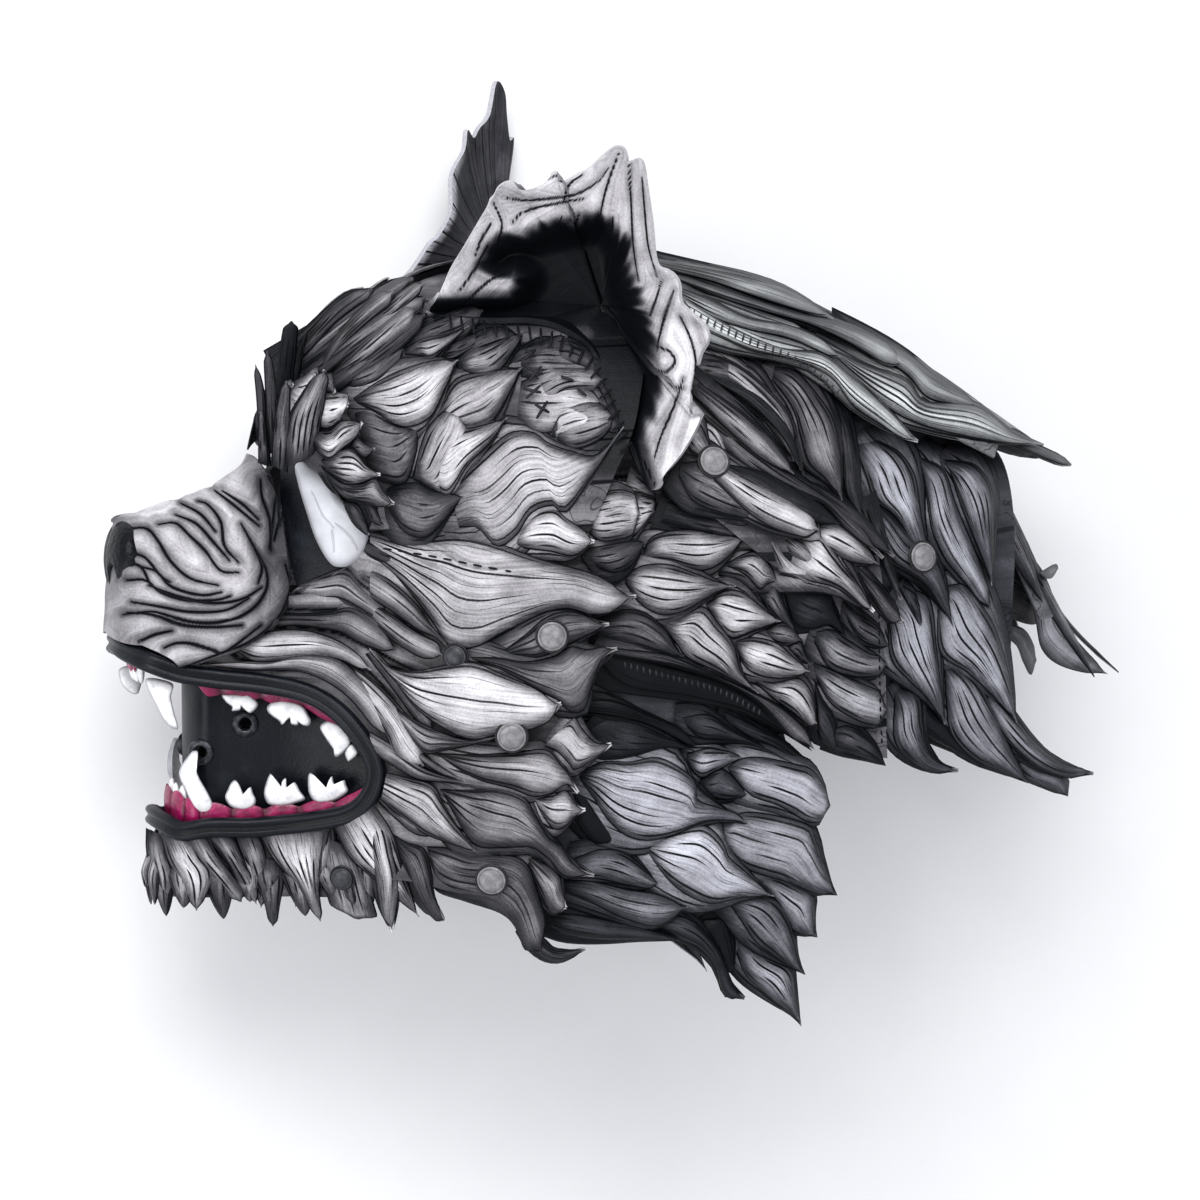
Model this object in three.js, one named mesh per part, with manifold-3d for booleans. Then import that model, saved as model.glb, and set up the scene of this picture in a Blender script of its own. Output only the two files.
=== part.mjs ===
// Leather werewolf mask lying on its right side, in millimetres.
// X runs from the nose to the tail of the mane, Y from the throat to the crown,
// Z from the right cheek, which rests on the ground, up to the left cheek.
// Outlines are drawn as the mask is seen from a little in front and above,
// as [across, up] in millimetres, and then laid on the rounded head form.

import * as THREE from 'three';
import { mergeVertices } from 'three/addons/utils/BufferGeometryUtils.js';
import Module from 'manifold-3d';

const wasm = await Module();
wasm.setup();

// Driving dimensions
const LEATHER = 3;
const LOCK_RIDGE = 3;
const LOCK_SINK = 1.8;
const LONG_LOCK = 90;
const SETTLED_HALF_WIDTH = 96;
const REST_HALF_WIDTH = 112.6;
const GAP = 0.5;
const WELT_WIDTH = 9.5;
const WELT_LIFT = 3.2;
const WELT_THICKNESS = 4.5;
const SNAP_RADIUS = 7;
const SMALL_SNAP_RADIUS = 5.46;
const SNAP_HEIGHT = 2.6;
const EYELET_RADIUS = 6.5;
const EYELET_HOLE = 3;

// The direction the drawing looks from, and how far away
const TURN_TO_FRONT = THREE.MathUtils.degToRad(16);
const TILT_TO_CROWN = THREE.MathUtils.degToRad(6);
const VIEW_DISTANCE = 2500;
const VIEW_CENTRE = new THREE.Vector2(-2.5, -23);

// Head form: half width, crown, middle and throat heights along X
const HALF_WIDTH = [
  [-262, 10], [-252, 19], [-240, 25], [-215, 32], [-190, 38], [-168, 45], [-150, 56],
  [-132, 70], [-112, 86], [-85, 100], [-50, 110], [0, 114], [50, 114], [100, 108],
  [150, 96], [190, 80], [225, 58], [255, 38], [290, 20],
];
const CROWN = [
  [-262, 10], [-245, 22], [-225, 30], [-195, 38], [-172, 49], [-158, 78], [-140, 104],
  [-112, 127], [-85, 139], [-30, 144], [25, 137], [75, 126], [102, 113], [138, 94],
  [168, 77], [190, 62], [215, 44], [245, 30], [290, 14],
];
const MIDDLE = [[-262, -20], [-180, -22], [-100, -14], [0, -10], [150, -14], [290, -20]];
const THROAT = [[-262, -150], [-215, -215], [-120, -225], [-60, -290], [290, -300]];

const LEATHERS = {
  fur: { color: 0x9a979b, roughness: 0.55, metalness: 0 },
  dark: { color: 0x15171b, roughness: 0.42, metalness: 0 },
  gum: { color: 0x8f1236, roughness: 0.4, metalness: 0 },
  tooth: { color: 0xeeeeee, roughness: 0.5, metalness: 0 },
  eye: { color: 0xd9dce2, roughness: 0.35, metalness: 0 },
  snap: { color: 0x8c8a90, roughness: 0.4, metalness: 0.3 },
  steel: { color: 0xb5b5b5, roughness: 0.3, metalness: 1 },
};

// Profiles and curves

function along(table, x) {
  const last = table.length - 1;
  let i = 0;
  while (i < last - 1 && x > table[i + 1][0]) i += 1;
  const slope = (k) => {
    const a = Math.max(0, k - 1);
    const b = Math.min(last, k + 1);
    return (table[b][1] - table[a][1]) / (table[b][0] - table[a][0]);
  };
  const span = table[i + 1][0] - table[i][0];
  const t = THREE.MathUtils.clamp((x - table[i][0]) / span, 0, 1);
  const h = t * t * (3 - 2 * t);
  const bendA = t * (1 - t) * (1 - t) * span * slope(i);
  const bendB = -t * t * (1 - t) * span * slope(i + 1);
  return table[i][1] * (1 - h) + table[i + 1][1] * h + bendA + bendB;
}

function curve(points) {
  const line = new THREE.CatmullRomCurve3(points.map((p) => new THREE.Vector3(p[0], p[1], 0)));
  return (t) => {
    const p = line.getPoint(THREE.MathUtils.clamp(t, 0, 1));
    return [p.x, p.y];
  };
}

const mix = THREE.MathUtils.lerp;
const smooth = (t) => THREE.MathUtils.smoothstep(t, 0, 1);

// Skin of the head. A place on it is [x, bend], where bend is 100 times the angle
// round the section, 0 at the side, 157 at the crown. side is 1 for left, -1 for right.

const BEND = 100;

function settle(z, side) {
  const soft = 14;
  const over = z - (SETTLED_HALF_WIDTH - soft);
  if (side > 0 || over <= 0) return z;
  return SETTLED_HALF_WIDTH - soft + soft * (1 - Math.exp(-over / soft));
}

function bareSkin(x, bend, side) {
  const angle = bend / BEND;
  const middle = along(MIDDLE, x);
  const reach = angle >= 0 ? along(CROWN, x) - middle : middle - along(THROAT, x);
  const z = settle(along(HALF_WIDTH, x) * Math.cos(angle), side);
  return new THREE.Vector3(x, middle + reach * Math.sin(angle), z);
}

function skin(x, bend, lift = 0, side = 1) {
  const point = bareSkin(x, bend, side);
  const forward = bareSkin(x + 1, bend, side).sub(bareSkin(x - 1, bend, side));
  const around = bareSkin(x, bend + 1, side).sub(bareSkin(x, bend - 1, side));
  const normal = forward.cross(around).normalize();
  point.addScaledVector(normal, lift);
  point.z *= side;
  return point;
}

// How a point shows in the drawing
function seen(p) {
  const st = Math.sin(TURN_TO_FRONT);
  const ct = Math.cos(TURN_TO_FRONT);
  const se = Math.sin(TILT_TO_CROWN);
  const ce = Math.cos(TILT_TO_CROWN);
  const across = p.x * ct + p.z * st;
  const up = p.x * st * se + p.y * ce - p.z * ct * se;
  const nearer = -p.x * st * ce + p.y * se + p.z * ct * ce;
  const grow = VIEW_DISTANCE / (VIEW_DISTANCE - nearer);
  return [
    VIEW_CENTRE.x + (across - VIEW_CENTRE.x) * grow,
    VIEW_CENTRE.y + (up - VIEW_CENTRE.y) * grow,
  ];
}

// Points of the drawing over this height lie between the middle and the crown
const UPPER_HALF = -10;
const BEND_LIMITS = [-125, 150];

// The place on the left side of the skin that shows at a point of the drawing
function onSkin([u, v], lift = 3) {
  let x = u;
  let bend = 0;
  for (let tries = 0; tries < 50; tries += 1) {
    const [shownU, shownV] = seen(skin(x, bend, lift));
    const middle = along(MIDDLE, x);
    const reach = v > UPPER_HALF ? along(CROWN, x) - middle : middle - along(THROAT, x);
    const turn = Math.max(0.25, Math.cos(bend / BEND));
    x += 0.7 * (u - shownU);
    const step = (0.7 * BEND * (v - shownV)) / (reach * turn);
    bend = THREE.MathUtils.clamp(bend + step, ...BEND_LIMITS);
  }
  return [x, bend];
}

const laid = (points) => points.map((p) => onSkin(p));

// Solids

function tidy(positions, faces) {
  const geometry = new THREE.BufferGeometry();
  geometry.setAttribute('position', new THREE.Float32BufferAttribute(positions.flat(), 3));
  geometry.setIndex(faces.flat());
  return mergeVertices(geometry, 1e-3);
}

function solid(geometry) {
  const bare = geometry.index ? geometry.clone() : geometry.toNonIndexed();
  bare.deleteAttribute('normal');
  bare.deleteAttribute('uv');
  const merged = mergeVertices(bare, 1e-3);
  const index = Array.from(merged.index.array);
  const kept = [];
  for (let i = 0; i < index.length; i += 3) {
    const [a, b, c] = index.slice(i, i + 3);
    if (a !== b && b !== c && a !== c) kept.push(a, b, c);
  }
  const place = merged.attributes.position.array;
  const corner = (i) => new THREE.Vector3().fromArray(place, 3 * i);
  let volume = 0;
  for (let i = 0; i < kept.length; i += 3) {
    volume += corner(kept[i]).dot(corner(kept[i + 1]).cross(corner(kept[i + 2])));
  }
  if (volume < 0) kept.reverse();
  const mesh = new wasm.Mesh({
    numProp: 3,
    vertProperties: new Float32Array(place),
    triVerts: new Uint32Array(kept),
  });
  return new wasm.Manifold(mesh);
}

const join = (parts) => parts.reduce((whole, part) => whole.add(part));
const cut = (whole, tools) => tools.reduce((left, tool) => left.subtract(tool), whole);

// A sheet of leather: outer(i, j) and inner(i, j) give its two faces on a grid
function sheet(columns, rows, outer, inner) {
  const positions = [];
  for (const face of [outer, inner]) {
    for (let i = 0; i <= columns; i += 1) {
      for (let j = 0; j <= rows; j += 1) positions.push(face(i / columns, j / rows).toArray());
    }
  }
  const key = (p) => p.map((value) => Math.round(value * 1000)).join();
  const count = (columns + 1) * (rows + 1);
  const first = new Map();
  const same = [];
  for (let k = 0; k < count; k += 1) {
    const name = key(positions[k]);
    if (!first.has(name)) first.set(name, k);
    same.push(first.get(name));
  }
  const at = (i, j) => same[i * (rows + 1) + j];
  const faces = [];
  const add = (a, b, c) => {
    if (a !== b && b !== c && a !== c) faces.push([a, b, c]);
  };
  for (let i = 0; i < columns; i += 1) {
    for (let j = 0; j < rows; j += 1) {
      add(at(i, j), at(i + 1, j), at(i + 1, j + 1));
      add(at(i, j), at(i + 1, j + 1), at(i, j + 1));
    }
  }
  const edges = new Set();
  for (const [a, b, c] of faces) [[a, b], [b, c], [c, a]].forEach((e) => edges.add(e.join()));
  const all = [...faces, ...faces.map(([a, b, c]) => [count + a, count + c, count + b])];
  for (const edge of edges) {
    const [a, b] = edge.split(',').map(Number);
    if (!edges.has(`${b},${a}`)) all.push([b, a, count + a], [b, count + a, count + b]);
  }
  return solid(tidy(positions, all));
}

// A solid through rings of points; a ring of one point closes it to a tip
function loft(rings, closed = false) {
  const positions = [];
  const starts = [];
  for (const ring of rings) {
    starts.push(positions.length);
    ring.forEach((p) => positions.push(p.toArray()));
  }
  const faces = [];
  const last = rings.length - 1;
  for (let k = 0; k < (closed ? rings.length : last); k += 1) {
    const next = (k + 1) % rings.length;
    const size = Math.max(rings[k].length, rings[next].length);
    const here = (i) => starts[k] + (i % rings[k].length);
    const there = (i) => starts[next] + (i % rings[next].length);
    for (let i = 0; i < size; i += 1) {
      faces.push([here(i), here(i + 1), there(i + 1)], [here(i), there(i + 1), there(i)]);
    }
  }
  if (!closed) {
    const start = starts[0];
    for (let i = 1; i < rings[0].length - 1; i += 1) faces.push([start, start + i + 1, start + i]);
    const end = starts[last];
    for (let i = 1; i < rings[last].length - 1; i += 1) faces.push([end, end + i, end + i + 1]);
  }
  return solid(tidy(positions, faces));
}

// Locks of fur: a leaf with a ridge, pointed at root and tip

const LOCK_STATIONS = [
  { along: 0.32, width: 0.95, ridge: 0.9 },
  { along: 0.7, width: 0.82, ridge: 1 },
];
const LONG_LOCK_STATIONS = [
  { along: 0.25, width: 0.8, ridge: 0.8 },
  { along: 0.55, width: 1, ridge: 1 },
  { along: 0.82, width: 0.6, ridge: 0.8 },
];

function lock(surface, root, tip, halfWidth, bow = 0, lifts = [0, 0], side = 1) {
  const away = [tip[0] - root[0], tip[1] - root[1]];
  const middle = [
    (root[0] + tip[0]) / 2 - away[1] * bow,
    (root[1] + tip[1]) / 2 + away[0] * bow,
  ];
  const centre = (t) => [0, 1].map(
    (k) => (1 - t) * (1 - t) * root[k] + 2 * t * (1 - t) * middle[k] + t * t * tip[k],
  );
  const lift = (t) => mix(lifts[0], lifts[1], t * t);
  const at = (t, extra) => surface(...centre(t), lift(t) + extra, side);
  const rings = [[at(0, -LOCK_SINK)]];
  const stations = Math.hypot(...away) > LONG_LOCK ? LONG_LOCK_STATIONS : LOCK_STATIONS;
  for (const station of stations) {
    const here = at(station.along, 0);
    const out = at(station.along, 1).sub(here).normalize();
    const forward = at(station.along + 0.05, 0).sub(here).normalize();
    const across = new THREE.Vector3().crossVectors(out, forward);
    across.multiplyScalar(halfWidth * station.width);
    const low = here.clone().addScaledVector(out, -LOCK_SINK);
    const top = here.clone().addScaledVector(out, LOCK_RIDGE * station.ridge);
    rings.push([low.clone().add(across), top, low.clone().sub(across)]);
  }
  rings.push([at(1, -0.4)]);
  return loft(rings);
}

// A panel lies between its inner edge and its hem, which match point for point.
// Its lift grows from root to hem, sooner on the side that the mask lies on.
// s runs along the edge from 0 to 1, and tuck lowers the hem where s is 0.
function panel(design, side) {
  const edge = curve(laid(design.edge));
  const hem = curve(laid(design.hem));
  const [root, top] = side > 0 ? design.lifts : design.settled ?? design.lifts;
  const grow = (t) => (side > 0 ? t ** (design.growth ?? 1.3) : smooth((t - 0.12) / 0.45));
  const rootLift = (s) => mix(design.frontLift ?? root, root, smooth((s - 0.2) / 0.12));
  const place = (s, t, extra) => {
    const a = edge(s);
    const b = hem(s);
    const highest = top - (design.tuck ?? 0) * (1 - s) ** 2;
    const lift = mix(rootLift(s), highest, grow(t)) + extra;
    const bulge = (design.topBulge ?? 0) * Math.sin(Math.PI * t) * (1 - s) ** 4;
    return skin(mix(a[0], b[0], t), mix(a[1], b[1], t) + bulge, lift, side);
  };
  const base = sheet(
    design.columns,
    design.rows,
    (s, t) => place(s, t, 0),
    (s, t) => place(s, t, -LEATHER),
  );
  const plainer = side > 0 ? design.locks : design.locks.filter((_, i) => i % 3 === 0);
  const locks = plainer.map(([from, tip, halfWidth, bow = 0, reach = [0, 1]]) => {
    const lifts = reach.map((t) => mix(root, top, grow(t)));
    return lock(skin, onSkin(from), onSkin(tip), halfWidth, bow, lifts, side);
  });
  return join([base, ...locks]);
}

// Panels, drawn from the left

const CHEEK = {
  lifts: [-1.9, 16],
  columns: 8,
  rows: 3,
  topBulge: 14,
  growth: 1.2,
  frontLift: 3.5,
  tuck: 7,
  edge: [
    [-117, 4], [-138, -11.5], [-160, -22], [-180, -42], [-208, -57], [-168, -62.5],
    [-142, -70], [-124, -85], [-111.5, -106], [-113.5, -121], [-124, -132],
  ],
  hem: [
    [8, -20], [2, -34], [-3, -50], [-7, -66], [-10, -82], [-13, -100],
    [-17, -120], [-25, -142], [-45, -170], [-75, -170], [-108, -163],
  ],
  locks: [
    [[-112, 4], [17, -22], 17, -0.1, [0.25, 0.7]],
    [[-60, -50], [-1, -36], 8, -0.1, [0.5, 1]],
    [[-146, -20], [-76, -50], 10, 0.05, [0.4, 0.6]],
    [[-104, -56], [7, -45], 16, -0.18, [0.3, 1]],
    [[-174, -46], [-72, -98], 8, 0.14, [0.15, 0.6]],
    [[-140, -58], [-88, -112], 8, 0.16, [0.1, 0.4]],
    [[-66, -92], [3, -94], 9, -0.1, [0.5, 1]],
    [[-84, -98], [-13, -120], 10, 0.1, [0.4, 1]],
    [[-84, -117], [-7, -162], 14, 0.2, [0.4, 1]],
    [[-108, -120], [-64, -150], 11, 0.05, [0.2, 0.6]],
    [[-96, -142], [-36, -198], 13, 0.2, [0.4, 1]],
    [[-44, -186], [-10, -198], 5, -0.35, [1, 1.1]],
    [[-108, -134], [-82, -184], 10, 0.08, [0.3, 1]],
  ],
};

const SIDE_NECK = {
  lifts: [3.2, 10.2],
  settled: [3.2, 7.5],
  growth: 2.6,
  columns: 4,
  rows: 3,
  edge: [[-8, 40], [-12, 22], [-18, 0], [-20, -20], [-20, -44]],
  hem: [[54, 24], [84, -6], [90, -24], [98, -56], [104, -92]],
  locks: [
    [[10, -4], [70, 5], 8, -0.1, [0.3, 0.8]],
    [[2, -12], [66, -16], 11, 0.05, [0.2, 0.8]],
    [[46, -28], [88, -34], 10, 0.05, [0.6, 1]],
    [[60, -44], [104, -59], 11, 0.05, [0.7, 1]],
    [[-8, -34], [40, -56], 11, 0.1, [0.1, 0.7]],
    [[36, -50], [74, -70], 8, 0.1, [0.6, 0.9]],
    [[70, -66], [106, -98], 10, 0.12, [0.7, 1]],
    [[56, 0], [88, -20], 8, 0, [0.7, 1]],
  ],
};

const SIDE_MANE = {
  lifts: [12.7, 15.5],
  settled: [12, 15.5],
  frontLift: 8,
  tuck: 9,
  columns: 3,
  rows: 3,
  edge: [[46, 109], [38, 98], [34, 76], [30, 58], [28, 36]],
  hem: [[118, 78], [122, 34], [132, -4], [110, -18], [84, -8]],
  locks: [
    [[50, 97], [95, 46], 8, 0.12, [0, 0.7]],
    [[42, 88], [74, 58], 6, 0.12, [0, 0.5]],
    [[72, 97], [118, 32], 11, 0.15, [0.2, 1]],
    [[42, 76], [66, 44], 8, 0.12, [0, 0.4]],
    [[62, 62], [120, 15], 9, 0.05, [0.3, 0.9]],
    [[56, 42], [110, 10], 12, 0.05, [0.3, 0.9]],
    [[32, 44], [72, 20], 8, 0.05, [0, 0.5]],
    [[112, 14], [139, -12], 9, 0.05, [0.8, 1]],
    [[86, 12], [138, -30], 9, 0.08, [0.6, 1]],
  ],
};

const FLANK = {
  lifts: [4.5, 4.5],
  columns: 2,
  rows: 3,
  edge: [[86, 0], [108, 2], [136, 4]],
  hem: [[104, -98], [122, -104], [142, -108]],
  locks: [
    [[108, -38], [137, -64], 10, 0.1],
    [[110, -66], [138, -92], 11, 0.1],
    [[116, -88], [140, -106], 8, 0.1],
  ],
};

const BACK_MANE = {
  lifts: [0, 0],
  columns: 4,
  rows: 3,
  edge: [[112, 90], [142, 86], [172, 78], [194, 62]],
  hem: [[142, -92], [168, -96], [190, -106], [206, -76]],
  locks: [
    [[122, 52], [160, -18], 10, 0.05],
    [[157, 52], [188, -20], 11, 0.05],
    [[178, 52], [196, -44], 10, 0.03],
    [[160, 2], [194, -34], 11, 0.08],
    [[141, -34], [170, -84], 12, 0.08],
    [[166, -24], [207, -84], 13, 0.1],
    [[146, -66], [177, -109], 8, 0.15],
    [[168, -54], [212, -115], 15, 0.08],
    [[190, -68], [244, -110], 9, 0.16],
    [[198, -92], [232, -121], 8, 0.05],
  ],
};

const THROAT_PANEL = {
  lifts: [0, 0],
  columns: 4,
  rows: 3,
  edge: [[-26, -48], [-36, -100], [-38, -130], [-40, -160], [-40, -184]],
  hem: [[90, -64], [103, -122], [106, -166], [92, -192], [40, -192]],
  locks: [
    [[-12, -110], [70, -134], 18, 0.12],
    [[54, -92], [100, -112], 9, 0.08],
    [[62, -106], [112, -128], 14, 0.08],
    [[14, -146], [84, -171], 16, 0.1],
    [[50, -134], [116, -170], 15, 0.08],
    [[78, -162], [106, -191], 10, 0.08],
    [[60, -172], [99, -210], 13, 0.1],
    [[64, -186], [97, -236], 12, 0.08],
    [[26, -184], [66, -221], 9, 0.22],
    [[-20, -166], [42, -178], 11, 0.05],
  ],
};

// Pieces over the middle of the head: the near half is drawn and the far half mirrors it.
// across runs from the near edge, -1, over the crown, 0, to the far edge, 1.
function saddle(design) {
  const front = curve(design.front);
  const rear = curve(design.rear);
  const grow = (t, side) => (side > 0 ? t ** 1.3 : smooth(t / 0.45));
  const place = (s, t, extra) => {
    const across = 2 * s - 1;
    const side = across <= 0 ? 1 : -1;
    const a = front(1 - Math.abs(across));
    const b = rear(1 - Math.abs(across));
    const [middleLift, top] = design.lifts;
    const sideLift = design.sideLift ?? middleLift;
    const root = mix(middleLift, sideLift, smooth((Math.abs(across) - 0.4) / 0.5));
    const lift = mix(root, top, grow(t, Math.abs(across) < 0.02 ? 1 : side)) + extra;
    const point = skin(mix(a[0], b[0], t), mix(a[1], b[1], t), lift, side);
    if (Math.abs(across) < 0.01) point.z = 0;
    return point;
  };
  const base = sheet(
    design.columns,
    design.rows,
    (s, t) => place(s, t, 0),
    (s, t) => place(s, t, -LEATHER),
  );
  const locks = [];
  for (const side of [1, -1]) {
    design.locks.forEach(([root, tip, halfWidth, bow = 0, reach = [0, 1]], i) => {
      if (side < 0 && i % 3 !== 0) return;
      const lifts = reach.map((t) => mix(design.lifts[0], design.lifts[1], grow(t, side)));
      locks.push(lock(skin, onSkin(root), onSkin(tip), halfWidth, bow, lifts, side));
    });
  }
  return join([base, ...locks]);
}

const OVER_TOP = Math.PI * 0.5 * BEND;

const FOREHEAD = {
  lifts: [7.4, 15],
  columns: 8,
  rows: 3,
  front: [
    ...laid([[-117, 11], [-111, 30], [-119, 56], [-138, 66]]),
    [-163, 120], [-164, OVER_TOP],
  ],
  rear: [
    ...laid([[-10, 9], [2, 36], [12, 60], [18, 92]]),
    [16, 120], [16, OVER_TOP],
  ],
  locks: [
    [[-124, 74], [-74, 97], 12, -0.1, [0, 0.4]],
    [[-86, 62], [-41, 94], 12, -0.1, [0.2, 0.6]],
    [[-94, 39], [-52, 68], 11, -0.1, [0.2, 0.5]],
    [[-78, 31], [13, 57], 14, -0.12, [0.3, 1]],
    [[-108, 30], [-68, 30], 11, 0.2, [0, 0.4]],
    [[-88, 10], [-4, 40], 13, -0.08, [0.3, 1]],
    [[-48, 6], [-7, 7], 8, -0.05, [0.5, 1]],
    [[-138, 86], [-92, 124], 8, -0.08, [0, 0.5]],
    [[-146, 92], [-108, 128], 7, -0.08, [0, 0.5]],
  ],
};

const CREST = {
  lifts: [5, 15],
  sideLift: 14,
  columns: 6,
  rows: 3,
  front: [...laid([[44, 102], [42, 114]]), [18, 134], [10, OVER_TOP]],
  rear: [[172, 70], [186, 100], [206, 130], [222, OVER_TOP]],
  locks: [
    [[46, 117], [156, 56], 7, 0.14, [0.6, 1]],
    [[50, 126], [178, 60], 9, 0.12, [0.6, 1]],
    [[82, 124], [208, 55], 9, 0.12, [0.2, 1]],
    [[110, 108], [234, 44], 5, 0.06, [0.4, 1]],
  ],
};

// Muzzle: from the front line of the snout back to its rear edge over the cheeks

const MUZZLE_FRONT = { top: [-249, 24], bottom: [-253.5, -31] };
const MUZZLE_SHOULDER = [[-249, -9], [-253, 20], [-252, 70], [-247, 120], [-243, OVER_TOP]];
const MUZZLE_REAR = [
  ...laid([[-213, -53.5], [-178, -43], [-161, -28], [-157, -6], [-161, 22]]),
  [-170, 120], [-171, OVER_TOP],
];

function muzzle() {
  const shoulder = curve(MUZZLE_SHOULDER);
  const rear = curve(MUZZLE_REAR);
  const frontPart = 0.14;
  const place = (s, t, extra) => {
    const across = 2 * s - 1;
    const side = across <= 0 ? 1 : -1;
    const rise = 1 - Math.abs(across);
    if (t < 1e-6) {
      const { top, bottom } = MUZZLE_FRONT;
      return new THREE.Vector3(mix(bottom[0], top[0], rise) - extra, mix(bottom[1], top[1], rise), 0);
    }
    const back = Math.max(0, (t - frontPart) / (1 - frontPart));
    const a = shoulder(rise);
    const b = rear(rise);
    const lift = mix(1, 10, back ** 3) + extra;
    const point = skin(mix(a[0], b[0], back), mix(a[1], b[1], back), lift, side);
    if (rise > 0.999) point.z = 0;
    return point;
  };
  const rows = 5;
  const spread = (t) => (t === 0 ? 0 : Math.max(frontPart, t));
  return sheet(8, rows, (s, t) => place(s, spread(t), 0), (s, t) => place(s, spread(t), -LEATHER));
}

// A rounded lump: a sphere pulled to three half sizes
function lump(centre, halfSizes, around, high, turned = [0, 0, 0]) {
  const ball = new THREE.SphereGeometry(1, around, high);
  ball.scale(...halfSizes);
  ball.rotateZ(turned[2]);
  ball.rotateY(turned[1]);
  ball.translate(...centre);
  return solid(ball);
}

const NOSE = { centre: [-245, 7, 0], half: [9, 17, 15] };

// Mouth: both jaws are arches, seen in plan as straight sides with a round front

const UPPER_ARCH = { front: -246, shoulder: -235, back: -118 };
const LOWER_ARCH = { front: -228, shoulder: -211, back: -118 };
const INNER_ARCH = { front: -229, shoulder: -205, back: -105 };
const ROUND_PART = 0.3;

function arch(jaw, q, y, lift) {
  const side = q < 0 ? -1 : 1;
  const run = Math.abs(q);
  const widthAt = (x) => {
    const middle = along(MIDDLE, x);
    const reach = y >= middle ? along(CROWN, x) - middle : middle - along(THROAT, x);
    const rise = THREE.MathUtils.clamp((y - middle) / reach, -0.95, 0.95);
    return along(HALF_WIDTH, x) * Math.sqrt(1 - rise * rise);
  };
  if (run >= ROUND_PART) {
    const x = mix(jaw.shoulder, jaw.back, (run - ROUND_PART) / (1 - ROUND_PART));
    const slope = (widthAt(x + 2) - widthAt(x - 2)) / 4;
    const out = new THREE.Vector3(-slope, 0, side).normalize();
    return new THREE.Vector3(x, y, side * widthAt(x)).addScaledVector(out, lift);
  }
  const turn = ((run / ROUND_PART) * Math.PI) / 2;
  const depth = jaw.shoulder - jaw.front + lift;
  const width = widthAt(jaw.shoulder) + lift;
  return new THREE.Vector3(jaw.shoulder - depth * Math.cos(turn), y, side * width * Math.sin(turn));
}

// Centre line of the lip band, as drawn, from the front of the upper lip
// round the corner of the mouth to the front of the lower lip
const LIP_LINE = [
  [-229, -54], [-213, -59.5], [-194, -62.5], [-171, -65], [-150, -69.5], [-135, -78],
  [-123, -91], [-115.5, -104], [-115, -114], [-120, -124], [-128, -130], [-141, -133],
  [-160, -135.5], [-178, -137], [-197, -137],
];
const UPPER_FRONT = [[0.1, -39], [0, -37], [-0.1, -39]];
const LOWER_FRONT = [[0.2, -127], [0.1, -124], [0, -122.5], [-0.1, -124], [-0.2, -127]];

function weltPath() {
  const near = laid(LIP_LINE).map(([x, bend]) => skin(x, bend, WELT_LIFT));
  const mirrored = (p) => new THREE.Vector3(p.x, p.y, -p.z);
  const upperFront = UPPER_FRONT.map(([q, y]) => arch(UPPER_ARCH, q, y, WELT_LIFT));
  const lowerFront = LOWER_FRONT.map(([q, y]) => arch(LOWER_ARCH, q, y, WELT_LIFT));
  const far = near.map(mirrored);
  const loop = [...near, ...lowerFront, ...far.reverse(), ...upperFront.reverse()];
  return new THREE.CatmullRomCurve3(loop, true);
}

// The way out of the head at a point near its skin, radial at the round front of the jaws
function outward(p) {
  const middle = along(MIDDLE, p.x);
  const reach = middle - along(THROAT, p.x);
  const rise = THREE.MathUtils.clamp((p.y - middle) / reach, -0.95, 0);
  const bend = BEND * Math.asin(rise);
  const side = p.z < 0 ? -1 : 1;
  const normal = skin(p.x, bend, 1, side).sub(skin(p.x, bend, 0, side));
  const shoulder = p.y > -90 ? UPPER_ARCH.shoulder : LOWER_ARCH.shoulder;
  const radial = new THREE.Vector3(p.x - shoulder, 0, p.z).normalize();
  return radial.lerp(normal, smooth((p.x - shoulder + 12) / 12));
}

function welt(grow = 0) {
  const path = weltPath();
  const stations = 32;
  const rings = [];
  for (let k = 0; k < stations; k += 1) {
    const p = path.getPointAt(k / stations);
    const forward = path.getTangentAt(k / stations);
    const out = outward(p);
    out.addScaledVector(forward, -out.dot(forward)).normalize();
    const across = new THREE.Vector3().crossVectors(out, forward).normalize();
    const w = WELT_WIDTH / 2 + grow;
    const h = WELT_THICKNESS / 2 + grow;
    rings.push([[w, -h], [w * 0.75, h], [-w * 0.75, h], [-w, -h]].map(
      ([a, b]) => p.clone().addScaledVector(across, a).addScaledVector(out, b),
    ));
  }
  return loft(rings, true);
}

// Chin: a short curtain of leather round the lower jaw, with two rows of tufts

const CHIN_TOP = { front: -128, rise: 1, bottom: -158, reach: 0.86 };
const CHIN_BULGE = { depth: 4, below: 8, over: 16, sink: 1 };

function chinLift(y) {
  const fall = CHIN_TOP.front - CHIN_BULGE.below - y;
  return CHIN_BULGE.depth * smooth(fall / CHIN_BULGE.over) - CHIN_BULGE.sink;
}

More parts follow.
